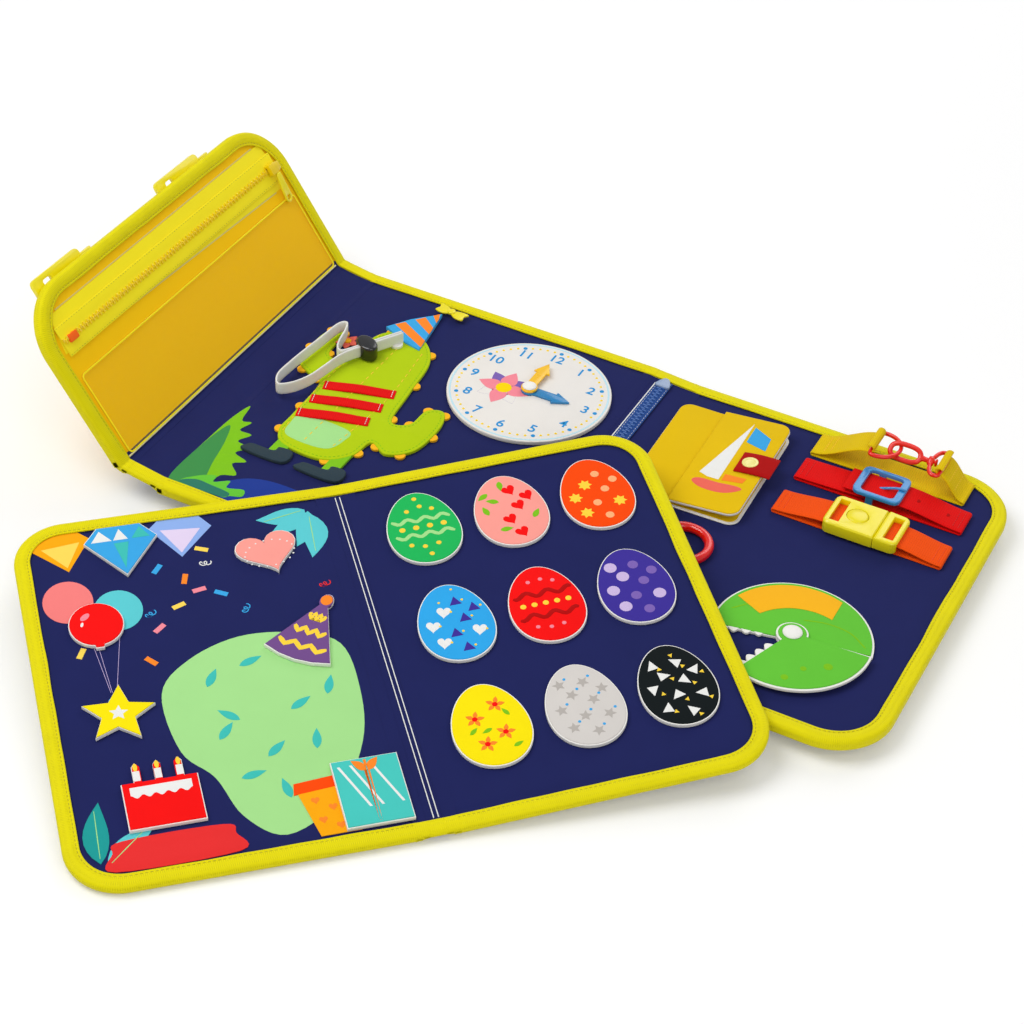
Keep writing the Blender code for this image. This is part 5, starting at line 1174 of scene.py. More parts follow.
# Middle board

@dataclass
class MiddleBoard:
    """The middle board: lacing figure, elastic with its toggle, clock, and straps underneath."""

    plane: Plane
    width: float = MIDDLE_WIDTH
    clock: Point2 = (0.183, 0.237)
    clock_radius: float = 0.0637
    hand: float = 0.0345
    toggle: Point2 = (0.052, 0.214)

    def board(self) -> None:
        """Make the board with its landscape print."""
        BoundBoard("middle", self.plane, self.width, BOARD_THICK, BOARD_CORNER, "",
                   "middle_panel", "middle_binding").build()
        hill = blob([(38, 13), (44, 34), (66, 46), (104, 46), (150, 36), (178, 22), (182, 13)], 6)
        fern = blob([(2, 13), (1.5, 70), (3, 100), (7, 116), (11, 98), (19, 99), (16, 87), (27, 86), (22, 75),
                     (34, 72), (28, 62), (41, 57), (33, 50), (43, 40), (33, 34), (30, 20), (18, 13)], 4)
        frond = blob([(12, 13), (20, 26), (31, 32), (33, 25), (43, 32), (45, 24), (57, 28), (60, 21), (52, 17),
                      (46, 13)], 4)
        shade = blob([(2, 13), (1.5, 60), (6, 88), (14, 70), (20, 44), (26, 20), (18, 13)], 6)
        lower_shade = blob([(12, 13), (20, 21), (34, 21), (50, 19.5), (46, 13)], 5)
        printed("middle_ground", self.plane, {Look.PRINT_HILL: [hill]})
        printed("middle_fern", self.plane, {Look.LEAF: [fern], Look.FERN_DARK: [shade]}, face=0.00006)
        printed("middle_frond", self.plane, {Look.GREEN: [frond], Look.TEAL_SHADE: [lower_shade]}, face=0.00014)

    def figure(self) -> None:
        """Make the lacing figure: a rounded cactus with a party hat, bands, flower and shoes."""
        shares = [
            (0.34, 0.00), (0.58, -0.01), (0.71, 0.08), (0.74, 0.20), (0.86, 0.16), (0.98, 0.25), (1.00, 0.44),
            (0.95, 0.55), (0.86, 0.52), (0.84, 0.40), (0.74, 0.38), (0.70, 0.60), (0.66, 0.84), (0.55, 0.97),
            (0.41, 1.00), (0.28, 0.93), (0.23, 0.76), (0.20, 0.66), (0.12, 0.68), (0.10, 0.84), (0.03, 0.86),
            (-0.01, 0.76), (0.02, 0.56), (0.12, 0.50), (0.22, 0.46), (0.24, 0.22), (0.25, 0.08),
        ]
        outline = flat(smooth([(0.008 + x * 0.138, 0.086 + y * 0.172) for x, y in shares], 8))
        low, top = FELT_GAP, FELT_GAP + FELT
        body = cut_sheet("figure_felt", [outline], low, top, 0.0007)
        settle(body, self.plane, Look.LIME, ["felt_figure"])
        fringe = [cut_sheet("figure_scallop", [circle(spot, 0.0042, 14)], low + 0.0002, top - 0.0008, 0.0003)
                  for spot in outline[::9]]
        settle(joined("figure_scallops", fringe), self.plane, Look.AMBER)
        path = [Vector((x, y, top + 0.00005)) for x, y in grown(outline, -0.0028)]
        seam = stitches("figure_seam", path, 0.002, 0.0033, 0.0005, closed=True)
        settle(seam, self.plane, Look.LEAF)
        ribs = []
        for start, end, sway in (((46, 98), (47, 246), -6), ((66, 96), (68, 252), 0), (((88), 100), (88, 240), 6)):
            line = smooth([(start[0], start[1]), ((start[0] + end[0]) / 2 + sway, (start[1] + end[1]) / 2), end],
                          10, closed=False)
            ribs.append(stitches("rib", [Vector((p.x * MM, p.y * MM, top + 0.0001)) for p in line],
                                 0.0042, 0.0075, 0.0008))
        settle(joined("figure_ribs", ribs), self.plane, Look.PRINT_YELLOW)
        belly = blob([(52, 96), (84, 96), (92, 112), (88, 124), (50, 124), (46, 110)], 6)
        printed("figure_belly", self.plane, {Look.PRINT_MINT: [belly]}, face=top)
        self.trims(top)

    def trims(self, top: float) -> None:
        """Sew on the hat, the flower, the three bands and the shoes."""
        hat = crisp([(46, 255), (58, 249), (70, 243.5), (84, 240.5), (76, 293), (58, 274)])
        item = cut_sheet("hat_felt", [hat], FELT_GAP * 2, top + 0.0013, 0.0006)
        settle(item, self.plane, Look.PRINT_SKY)
        def slant(low: float, high: float) -> Outline:
            """Return a band across the hat between two shares of its height."""
            left = [(46 + 30 * share, 255 + 38 * share) for share in (low + 0.10, high + 0.10)]
            right = [(84 - 8 * share, 240.8 + 52 * share) for share in (high, low)]
            return crisp([left[0], left[1], right[0], right[1]])

        stripes = {Look.PRINT_ORANGE: [slant(0.06, 0.24), slant(0.42, 0.60), slant(0.74, 0.86)]}
        printed("hat_stripe", self.plane, stripes, face=top + 0.0013)
        bow = []
        for side in (-1, 1):
            loop = blob([(0, -1.4), (side * 6, -5), (side * 13, -4.2), (side * 12, 0.5), (side * 13.5, 5),
                         (side * 6, 4.6), (0, 1.4)], 5)
            bow.append(cut_sheet("bow", [moved(loop, (0.0815, 0.2985), -8)], top + 0.0002, top + 0.0020, 0.0007))
        bow.append(cut_sheet("knot", [circle((0.0815, 0.2985), 0.0034, 20)], top + 0.0005, top + 0.0032, 0.0010))
        settle(joined("hat_bow", bow), self.plane, Look.YELLOW_PLASTIC)
        bands, ends = [], []
        for share in (0.27, 0.385, 0.50):
            y = 0.086 + 0.172 * share
            strip = [Vector((0.070 + reach * 0.056 * math.cos(math.radians(17)),
                             y + reach * 0.056 * math.sin(math.radians(17)), top + 0.0006
                             + 0.0005 * math.cos(math.pi * reach * 2)))
                     for reach in [step / 24 - 0.5 for step in range(25)]]
            across = Vector((-math.sin(math.radians(17)), math.cos(math.radians(17)), 0))
            bands.append(swept("band", tape_rings(strip, across, 0.0105, 0.0013)))
            for reach in (-0.46, 0.46):
                centre = Vector((0.070 + reach * 0.056 * math.cos(math.radians(17)),
                                 y + reach * 0.056 * math.sin(math.radians(17)), top + 0.00135))
                line = [centre - across * 0.0046, centre + across * 0.0046]
                ends.append(stitches("end", line, 0.0016, 0.0023, 0.0006))
        settle(joined("figure_bands", bands), self.plane, Look.RED_WEBBING)
        settle(joined("figure_band_stitches", ends), self.plane, Look.ELASTIC_THREAD)
        shoes = []
        shape = [(0.0, 0.0), (0.95, 0.0), (1.0, 0.95), (0.66, 1.0), (0.60, 0.62), (0.12, 0.60), (0.0, 0.4)]
        for share in (0.17, 0.50):
            left = 0.008 + 0.138 * share
            outline = flat(smooth([(left + x * 0.035, 0.0665 + y * 0.015) for x, y in shape], 4))
            shoes.append(cut_sheet("shoe", [outline], FELT_GAP, top, 0.0007))
        settle(joined("figure_shoes", shoes), self.plane, Look.SLATE)
        legs = []
        for share in (0.17, 0.50):
            x = 0.008 + 0.138 * share + 0.035 * 0.66
            legs.append(cut_sheet("leg", [rounded((x - 0.006, 0.070), (x + 0.006, 0.101), 0.002)],
                                  FELT_GAP * 2, top - FELT_GAP, 0.0005))
        settle(joined("figure_legs", legs), self.plane, Look.LEAF)
        petals = [moved(leaf(0.010, 0.0062), (0.030, 0.222), turn) for turn in range(0, 360, 72)]
        flower = [cut_sheet("petal", [shape], top + 0.0001, top + 0.0012, 0.0004) for shape in petals]
        settle(joined("figure_flower", flower), self.plane, Look.CORAL)
        heart_of = cut_sheet("flower_heart", [circle((0.030, 0.222), 0.0030, 18)], top + 0.0004, top + 0.0022, 0.0009)
        settle(heart_of, self.plane, Look.AMBER)

    def elastic(self) -> None:
        """Make the doubled elastic band with the patch that holds its ends."""
        turn = math.radians(60)
        along = Vector((math.cos(turn), math.sin(turn), 0))
        across = Vector((-along.y, along.x, 0)) * 0.0012
        centre = Vector((*self.toggle, 0))
        head, foot = centre + along * 0.032, centre - along * 0.016
        near = [(0.41, 0.53), (0.385, 0.37), (0.355, 0.21), (0.29, 0.07), (0.20, 0.00)]
        far = [(0.135, 0.11), (0.135, 0.30), (0.15, 0.50), (0.17, 0.70), (0.19, 0.91), (0.24, 0.96), (0.28, 0.87),
               (0.31, 0.73), (0.345, 0.64), (0.39, 0.615)]
        sides = [[Vector((x * 0.1, 0.135 + y * 0.1, 0)) for x, y in row] for row in (near, far)]
        spots = [head - across, centre - across, foot - across, *sides[0], *sides[1], foot + across,
                 centre + across, head + across]
        low = FELT_GAP + FELT + 0.002
        path = [spot + Vector((0, 0, low + 0.005)) for spot in smooth(spots, 8, closed=False)]
        item = swept("elastic_band", tape_rings(path, UP, 0.010, 0.0013, crown=0.0001))
        settle(item, self.plane, Look.ELASTIC, ["elastic_loop"])
        patch = cut_sheet("elastic_patch", [circle((centre + along * 0.027)[:2], 0.005, 24)],
                          FELT_GAP + FELT, low + 0.0006, 0.0005)
        settle(patch, self.plane, Look.ELASTIC_THREAD)
        refined("cord_toggle", "toggle", Look.BLACK, 0.0012, 30)

    def clock_parts(self) -> None:
        """Make the clock: printed dial, numerals, hands and rivet."""
        low, top = FELT_GAP, FELT_GAP + 0.0035
        disc = cut_sheet("clock_disc", [circle(self.clock, self.clock_radius, 96)], low, top, 0.0006)
        settle(disc, self.plane, Look.DIAL, ["clock_face"])
        rim = [circle(self.clock, self.clock_radius - 0.0017, 96), circle(self.clock, self.clock_radius - 0.0031, 96)]
        blue, yellow = [], []
        for number in range(60):
            angle = math.radians(6 * number)
            far = number % 5 == 0
            spot = (self.clock[0] + math.sin(angle) * (self.clock_radius - 0.0075),
                    self.clock[1] + math.cos(angle) * (self.clock_radius - 0.0075))
            (blue if far else yellow).append(circle(spot, 0.0017 if far else 0.0010, 12))
        rays = [moved(leaf(0.0215, 0.0130), (self.clock[0] - 0.019, self.clock[1] - 0.006), turn)
                for turn in range(0, 360, 45)]
        printed("clock_print", self.plane, {Look.DIAL_RIM: rim, Look.INK_BLUE: blue, Look.INK_YELLOW: yellow}, top)
        printed("clock_flower", self.plane, {Look.PRINT_PINK: rays[::2]}, top)
        printed("clock_flower_back", self.plane, {Look.PRINT_VIOLET: rays[1::2]}, top - 0.00004)
        printed("clock_flower_heart", self.plane,
                {Look.INK_YELLOW: [circle((self.clock[0] - 0.019, self.clock[1] - 0.006), 0.0062, 24)]}, top + 0.0001)
        self.numerals(top)
        refined("hour_hand", "hour_pointer", Look.HAND_BLUE, 0.0005, 30)
        refined("minute_hand", "minute_pointer", Look.HAND_YELLOW, 0.0005, 30)
        head = top + 0.0049
        rivet = dome("clock_rivet", (*self.clock, head), 0.0055, 0.36, 16)
        post = cut_sheet("post", [circle(self.clock, 0.0028, 24)], top - 0.0002, head + 0.0002, 0.0)
        settle(joined("clock_rivet", [rivet, post]), self.plane, Look.WHITE)

    def numerals(self, top: float) -> None:
        """Set the twelve numerals round the dial."""
        made = []
        for number in range(1, 13):
            angle = math.radians(30 * number)
            alone()
            bpy.ops.object.text_add()
            text = bpy.context.view_layer.objects.active
            text.data.body = str(number)
            text.data.size = 0.0125
            text.data.align_x = "CENTER"
            text.data.align_y = "CENTER"
            text.data.offset = 0.00016
            text.data.extrude = 0.0002
            bpy.ops.object.convert(target="MESH")
            text = bpy.context.view_layer.objects.active
            reach = self.clock_radius - 0.0160
            text.location = (self.clock[0] + math.sin(angle) * reach, self.clock[1] + math.cos(angle) * reach,
                             top - 0.00002)
            alone(text)
            bpy.ops.object.transform_apply(location=True, rotation=True, scale=True)
            tidy(text, 1e-7, 30)
            made.append(text)
        settle(joined("clock_numerals", made), self.plane, Look.INK_BLUE)

    def straps(self) -> None:
        """Make the two padded shoulder straps, their webbing tails, the yoke and the haul loop."""
        top = -BOARD_THICK - FELT_GAP
        pads, tails = [], []
        for side in (-1, 1):
            rings = []
            for station in range(61):
                share = station / 60
                ease = share * share * (3 - 2 * share)
                padding = min(1.0, 0.5 + 5 * share, max(0.0, (0.72 - share) * 10))
                padding = padding * padding * (3 - 2 * padding)
                half_gap = (0.120 + 0.070 * ease) / 2
                wide = (0.025 + 0.025 * padding) / 2
                thick = 0.0025 + 0.0095 * padding
                ripple = 0.00035 * math.sin(share * 90) * padding
                x, y = 0.012 + 0.228 * share, BOARD_DEPTH / 2 + side * half_gap
                ring = []
                for turn in range(28):
                    angle = math.tau * turn / 28
                    ring.append(Vector((x, y + math.copysign(abs(math.cos(angle)) ** 0.45, math.cos(angle))
                                        * (wide + ripple),
                                        top - thick / 2 + math.copysign(abs(math.sin(angle)) ** 0.6, math.sin(angle))
                                        * thick / 2)))
                rings.append(ring)
            pads.append(swept("pad", rings, angle=60))
            for edge in (-1, 1):
                line = []
                for station in range(2, 41):
                    share = station / 60
                    ease = share * share * (3 - 2 * share)
                    x = 0.012 + 0.228 * share
                    y = BOARD_DEPTH / 2 + side * (0.120 + 0.070 * ease) / 2 + edge * 0.0195
                    line.append(Vector((x, y, top - 0.01185)))
                tails.append(stitches("quilt", line, 0.0026, 0.0042, 0.0005, up=-UP))
        pad = settle(joined("strap_pads", pads), self.plane, Look.STRAP, ["shoulder_straps"])
        settle(joined("strap_stitches", tails), self.plane, Look.ZIP_BLUE_THREAD)
        half = 0.060 + 0.0085
        path = [Vector((0.012 + WEBBING_HALF, BOARD_DEPTH / 2 + half * (step / 20 * 2 - 1), top - 0.0018))
                for step in range(21)]
        yoke = swept("strap_yoke", tape_rings(path, Vector((1, 0, 0)), 0.0245, 0.0028))
        loop_path = []
        for step in range(31):
            share = step / 15 - 1
            loop_path.append(Vector((0.012 + WEBBING_HALF, BOARD_DEPTH / 2 + 0.030 * share,
                                     top - 0.0040 - 0.004 * (1 - abs(share) ** 3))))
        loop = swept("haul_loop", tape_rings(loop_path, Vector((1, 0, 0)), 0.0235, 0.0016))
        settle(joined("strap_yoke", [yoke, loop]), self.plane, Look.STRAP)

    def build(self) -> None:
        """Make everything that the middle board carries."""
        self.board()
        self.figure()
        self.elastic()
        self.clock_parts()
        self.straps()


# Flap and zips

@dataclass
class Zip:
    """A zip on its tape, with a row of moulded teeth along its middle."""

    name: str
    plane: Plane
    start: Point2
    end: Point2
    tape: float
    coil: float
    face: float
    top: float
    tape_look: Look
    teeth_look: Look
    node: str

    def build(self) -> None:
        """Make the tape, the teeth and the stitches along the tape's two edges."""
        first, last = Vector((*self.start, 0)), Vector((*self.end, 0))
        along = (last - first).normalized()
        across = Vector((along.y, -along.x, 0))
        middle = self.face + 0.0006
        path = [first.lerp(last, step / 60) + Vector((0, 0, middle + 0.00006 * math.sin(step * 1.7)))
                for step in range(61)]
        tape = swept(f"{self.name}_tape", tape_rings(path, across, self.tape, 0.0010))
        settle(tape, self.plane, self.tape_look, [self.node])
        count = round((last - first).length / 0.0021)
        places, faces = [], []
        for number in range(count):
            side = 1 if number % 2 else -1
            centre = first.lerp(last, (number + 0.5) / count) + across * side * self.coil * 0.17
            base = len(places)
            for reach, width, height in ((-0.5, 0.72, self.face + 0.0009), (-0.5, 0.62, self.top - 0.0004),
                                         (0.5, 0.62, self.top - 0.0004), (0.5, 0.72, self.face + 0.0009)):
                for share in (-1, 1):
                    places.append(centre + along * reach * 0.0015 + across * share * width * self.coil * 0.5
                                  + Vector((0, 0, height - centre.z)))
            crown = len(places)
            for share in (-1, 1):
                places.append(centre + across * share * self.coil * 0.20 + Vector((0, 0, self.top - centre.z)))
            for row in range(3):
                if row != 1:
                    faces.append((base + row * 2, base + row * 2 + 1, base + row * 2 + 3, base + row * 2 + 2))
            faces += [(base, base + 6, base + 7, base + 1), (base + 2, base + 3, crown + 1, crown),
                      (base + 4, crown, crown + 1, base + 5), (base, base + 2, crown, base + 4, base + 6),
                      (base + 1, base + 7, base + 5, crown + 1, base + 3)]
        teeth = meshed(f"{self.name}_teeth", places, faces)
        tidy(teeth, 1e-8, 30)
        settle(teeth, self.plane, self.teeth_look)
        seams = []
        for side in (-1, 1):
            line = [first + across * side * (self.tape / 2 - 0.0012) + Vector((0, 0, self.face + 0.00105)),
                    last + across * side * (self.tape / 2 - 0.0012) + Vector((0, 0, self.face + 0.00105))]
            seams.append(stitches("seam", line, 0.0021, 0.0031, 0.0004))
        settle(joined(f"{self.name}_seams", seams), self.plane,
               Look.THREAD if self.teeth_look is Look.ZIP_YELLOW_TEETH else Look.ELASTIC_THREAD)


@dataclass
class Flap:
    """The turned-back flap: yellow cloth, clear window, zip, closure tongues and the strip that hangs it."""

    plane: Plane
    strip: Plane
    width: float = FLAP_WIDTH

    def build(self) -> None:
        """Make the flap and the strip."""
        SoftStrip("flap_strip", self.strip, -0.030, 0.0, 0.004, "flap_spine").build()
        BoundBoard("flap", self.plane, self.width, BOARD_THICK, BOARD_CORNER, "left", "flap_panel", "flap_binding",
                   Look.FLAP).build()
        self.window()
        Zip("flap_zip", self.plane, (0.040, 0.0165), (0.040, 0.3035), 0.024, 0.005, FELT_GAP, 0.0029, Look.FLAP_BAND,
            Look.ZIP_YELLOW_TEETH, "flap_zipper").build()
        refined("zip_slider", "slider", Look.ZIP_YELLOW_TEETH, 0.0007, 30)
        refined("zip_pull", "pull", Look.YELLOW_PLASTIC, 0.0006, 30)
        path = [Vector((self.width - 0.0014, y / 1000, 0.0006)) for y in range(12, 309, 3)]
        settle(swept("flap_piping", tube_rings(path, 0.0007, 12)), self.plane, Look.PIPING)
        tag = cut_sheet("flap_tag", [rounded((0.0376, 0.0225), (0.0436, 0.0320), 0.001)], 0.0012, 0.0036, 0.0004)
        settle(tag, self.plane, Look.ORANGE_WEBBING_CLOTH)
        for side in ("near", "far"):
            self.closure(side)

    def window(self) -> None:
        """Make the clear pocket with its welded rim and the pale band under it."""
        sheet = cut_sheet("flap_clear", [rounded((0.0663, 0.0140), (0.1360, 0.3060), 0.004)], FELT_GAP, 0.0011,
                          0.0002)
        for vertex in sheet.data.vertices:
            swell = noise.noise(Vector((vertex.co.x * 30, vertex.co.y * 14, 1))) * 0.0004
            vertex.co.z += max(0.0, swell)
        settle(sheet, self.plane, Look.VINYL, ["flap_window"])
        lines = {Look.PRINT_CREAM: [crisp([(17.6, 28), (18.6, 28), (18.2, 290), (17.2, 290)]),
                                    crisp([(48.6, 18), (49.8, 18), (58.6, 290), (57.4, 290)])]}
        band_look = {Look.FLAP_BAND: [crisp([(19, 20), (48.4, 14.5), (58.2, 305.5), (18.3, 300)])]}
        printed("flap_band", self.plane, band_look)
        printed("flap_line", self.plane, lines, face=0.0)
        rim = [rounded((0.0667, 0.0144), (0.1356, 0.3056), 0.004), rounded((0.0679, 0.0156), (0.1344, 0.3044), 0.003)]
        settle(cut_sheet("flap_clear_weld", rim, 0.0008, 0.0013, 0.0001), self.plane, Look.FLAP_BAND)

    def closure(self, side: str) -> None:
        """Make a closure tongue in plastic."""
        node = f"closure_tongue_{side}"
        refined(node, f"{side}_closure", Look.YELLOW_PLASTIC, 0.0004, 30)


@dataclass
class Spine:
    """The soft spine with its blue zip."""

    plane: Plane

    def build(self) -> None:
        """Make the spine strip and the zip that closes the board."""
        SoftStrip("spine", self.plane, 0.0, 0.040, 0.004, "board_spine").build()
        Zip("spine_zip", self.plane, (0.0155, 0.080), (0.0155, 0.307), 0.0120, 0.0060, FELT_GAP, 0.0026,
            Look.ZIP_BLUE, Look.ZIP_TEETH, "spine_zipper").build()
        line = crisp([(8.0, 82), (8.9, 82), (8.9, 303), (8.0, 303)])
        printed("spine_edge", self.plane, {Look.PRINT_WHITE: [line]})
        tip = cut_sheet("spine_zip_end", [blob([(10.2, 298), (10.6, 303), (13.6, 308.4), (17.6, 308.4), (20.6, 303),
                                                (20.8, 298)], 5)], FELT_GAP + 0.0006, 0.0034, 0.0008)
        settle(tip, self.plane, Look.ZIP_END)


# End board

def half_card(side: int, inset: float, inner: float, outer: float) -> Outline:
    """Return half of the card, square at its fold and round at its outer corners.

    Args:
        side: -1 for the half left of the fold, 1 for the half right of it.
        inset: how far its free edges are drawn in.
        inner: x of its low side.
        outer: x of its high side.

    Returns:
        The outline.
    """
    low, high, bend = inset, 0.120 - inset, 0.009 - inset
    if side > 0:
        edge = outer - inset - bend
        return [(inner, high), (inner, low), *arc((edge, low + bend), bend, -90, 0, 8),
                *arc((edge, high - bend), bend, 0, 90, 8)]
    edge = inner + inset + bend
    return [(outer, low), (outer, high), *arc((edge, high - bend), bend, 90, 180, 8),
            *arc((edge, low + bend), bend, 180, 270, 8)]


@dataclass
class EndBoard:
    """The right-hand board: ring, peel card, jaw disc, clip strap and the two belts."""

    plane: Plane
    width: float = END_WIDTH
    ring: Point2 = (0.067, 0.134)
    card: Point2 = (0.003, 0.170)
    jaw: Point2 = (0.1725, 0.083)
    jaw_radius: float = 0.0565

    def board(self) -> None:
        """Make the board."""
        BoundBoard("end", self.plane, self.width, BOARD_THICK, BOARD_CORNER, "right",
                   "end_panel", "end_binding").build()
        path = []
        for x, height in ((-1, 0), (-0.66, 0), (-0.42, 0.25), (-0.32, 0.75), (0, 1), (0.32, 0.75), (0.42, 0.25),
                          (0.66, 0), (1, 0)):
            path.append(Vector((self.ring[0] - 0.0195 + x * 0.0189, self.ring[1], 0.0009 + height * 0.0091)))
        path = smooth(path, 5, closed=False)
        tab = swept("ring_tab", tape_rings(path, ALONG, 0.014, 0.0013))
        settle(tab, self.plane, Look.MUSTARD_WEBBING)
        ends = [stitches("seam", [Vector((x, self.ring[1] + side, 0.00165)) for side in (-0.0055, 0.0055)],
                         0.0018, 0.0026, 0.0006)
                for x in (0.0305, 0.0335, 0.0615, 0.0645)]
        settle(joined("ring_tab_seams", ends), self.plane, Look.RED_WEBBING_THREAD)
        refined("pull_ring", "ring", Look.RED_PLASTIC, 0.0, 30, levels=1, swell=0.0003)

    def card_parts(self) -> None:
        """Make the peel card: its felt base, its printed cover and the snap strap."""
        plane = self.plane.shifted((*self.card, 0), 2)
        base = cut_sheet("card_base_felt", [rounded((0, 0), (0.089, 0.120), 0.009)], FELT_GAP, 0.0015, 0.0004)
        settle(base, plane, Look.CARD_EDGE, ["card_base"])
        face = cut_sheet("card_base_face", [rounded((0.0022, 0.0022), (0.0868, 0.1178), 0.007)], 0.0012, 0.0017,
                         0.0001)
        settle(face, plane, Look.CARD)
        core = half_card(-1, 0.0, 0.0, 0.0338)
        settle(cut_sheet("card_margin_core", [core], 0.0014, 0.0034, 0.0004), plane, Look.CARD_EDGE)
        settle(cut_sheet("card_margin", [half_card(-1, 0.0003, 0.0, 0.0338)], 0.0028, 0.0040, 0.0005), plane,
               Look.CARD)
        hinge = plane.shifted((0.034, 0, 0.0043), 0, "card")
        hinge.matrix = hinge.matrix @ Matrix.Rotation(math.radians(-5), 4, "Y")
        cover = cut_sheet("card_cover_felt", [half_card(1, 0.0, 0.0008, 0.055)], 0.0, 0.0018, 0.0004)
        settle(cover, hinge, Look.CARD_EDGE, ["card_cover"])
        settle(cut_sheet("card_cover_face", [half_card(1, 0.0003, 0.0008, 0.055)], 0.0010, 0.0026, 0.0005), hinge,
               Look.CARD)
        self.boat(hinge)
        strap = [Vector((0.0335 + 0.028 * step / 12, 0.062, 0.0032 + 0.0008 * math.sin(step / 12 * math.pi)))
                 for step in range(13)]
        band_item = swept("card_strap", tape_rings(strap, ALONG, 0.025, 0.0016))
        settle(band_item, hinge, Look.CRIMSON_WEBBING)
        self.snap(hinge)

    def snap(self, hinge: Plane) -> None:
        """Make the snap cap on the card's strap."""
        alone()
        bpy.ops.mesh.primitive_cylinder_add(vertices=40, radius=0.0062, depth=0.0016)
        cap = added("snap_cap", (0.0421, 0.062, 0.0045))
        finished(cap, "BEVEL", width=0.0005, segments=3, limit_method="ANGLE", angle_limit=math.radians(40))
        with editing("DESELECT"):
            pass
        for face in cap.data.polygons:
            face.select = face.normal.z > 0.99
        with editing(""):
            bpy.ops.mesh.select_mode(type="FACE")
            for inward, rise in ((0.0016, 0.0), (0.0004, -0.0004), (0.0006, -0.0001)):
                bpy.ops.mesh.inset(thickness=inward, depth=rise)
        tidy(cap, 1e-7, 30)
        settle(cap, hinge, Look.CREAM)

    def boat(self, plane: Plane) -> None:
        """Print a plain sailboat on the card's cover."""
        top = 0.0026
        prints = {
            Look.CORAL: [blob([(9, 28), (19, 22), (36, 22), (47, 30), (42, 33), (28, 32.4), (13, 33)], 5)],
            Look.PRINT_WHITE: [crisp([(27.0, 36), (27.0, 112), (10.5, 40), (18, 36.6)])],
            Look.PRINT_SKY: [crisp([(29.4, 88), (46.5, 82), (45.2, 98), (29.4, 108)])],
            Look.PRINT_ORANGE: [crisp([(29.4, 36), (45, 38), (46, 44), (29.4, 44)])],
        }
        printed("card_boat", plane, prints, face=top)

    def jaw_disc(self) -> None:
        """Make the two-part jaw disc with its teeth, crescent and rivet."""
        radius = self.jaw_radius
        low, mid, top = FELT_GAP, FELT_GAP + 0.003, 0.0066
        upper = arc((0, 0), radius, 8, 196, 60)
        hub = arc((0, 0), 0.0108, 210, 352, 16)
        plane = self.plane.shifted((*self.jaw, 0))
        base = cut_sheet("jaw_plate_foam", [upper + hub], low, mid - 0.0009, 0.0003)
        settle(base, plane, Look.WHITE, ["jaw_plate"])
        face_in = arc((0, 0), radius - 0.0016, 9, 195, 60) + arc((0, 0), 0.0096, 210, 352, 16)
        settle(cut_sheet("jaw_plate_face", [face_in], low + 0.0012, mid, 0.0005), plane, Look.GREEN)
        crescent = arc((0, 0), radius - 0.004, 70, 158, 30) + arc((0.007, -0.010), radius - 0.016, 150, 74, 30)
        settle(cut_sheet("jaw_crescent", [crescent], mid - 0.0003, mid + 0.0004, 0.0002), plane, Look.AMBER)
        rib = band(flat(smooth([(x * radius, y * radius) for x, y in
                                ((0.86, 0.24), (0.60, 0.40), (0.30, 0.42), (0.02, 0.34))], 8, closed=False)), 0.0011)
        rib_low = band(flat(smooth([(x * radius, y * radius) for x, y in
                                    ((-0.84, 0.10), (-0.62, 0.34), (-0.36, 0.40))], 8, closed=False)), 0.0011)
        printed("jaw_lines", plane, {Look.LEAF: [rib, rib_low]}, face=mid)
        refined_jaw = Plane("jaw", plane.matrix)
        low_arc = arc((0, 0), radius, 248, 365, 44)
        jaw_hub = arc((0, 0), 0.0112, 5, 248, 24)
        lower = low_arc + jaw_hub
        edge = cut_sheet("jaw_lower_foam", [lower], mid + 0.0003, top - 0.0008, 0.0003)
        settle(edge, refined_jaw, Look.WHITE, ["lower_jaw"])
        face = arc((0, 0), radius - 0.0016, 249.5, 363.5, 44) + arc((0, 0), 0.0098, 5, 248, 24)
        settle(cut_sheet("jaw_lower_face", [face], mid + 0.0010, top, 0.0005), refined_jaw, Look.GREEN)
        settle(joined("jaw_teeth", self.teeth(248, -1, mid + 0.0004, top - 0.0004)), refined_jaw, Look.WHITE)
        settle(joined("jaw_plate_teeth", self.teeth(196, 1, low + 0.0006, mid - 0.0004)), plane, Look.WHITE)
        spots = [moved(circle((0, 0), 0.0032, 18), (0.034, -0.020)), moved(circle((0, 0), 0.0022, 16), (0.020, -0.030)),
                 moved(circle((0, 0), 0.0026, 16), (0.012, -0.044))]
        printed("jaw_spots", refined_jaw, {Look.LEAF: spots}, face=top)
        self.rivet(plane, 0.007, 0.0069)

    def teeth(self, angle: float, side: int, start: float, end: float) -> list[bpy.types.Object]:
        """Return four teeth along a jaw's edge, pointing into the open mouth.

        Args:
            angle: the edge's angle in degrees.
            side: 1 where the mouth is anticlockwise of the edge, -1 where it is clockwise.
            start: height of the teeth's underside.
            end: height of their top.

        Returns:
            The teeth as separate sheets.
        """
        along = Vector((math.cos(math.radians(angle)), math.sin(math.radians(angle))))
        out = Vector((-along.y, along.x)) * side
        teeth = []
        for index in range(4):
            reach = 0.0190 + index * 0.0088
            shape = [along * reach - out * 0.001, along * (reach + 0.0072) - out * 0.001,
                     along * (reach + 0.0060) + out * 0.0024, along * (reach + 0.0036) + out * 0.0040,
                     along * (reach + 0.0012) + out * 0.0024]
            teeth.append(cut_sheet("tooth", [flat(smooth(shape, 4))], start, end, 0.0003))
        return teeth

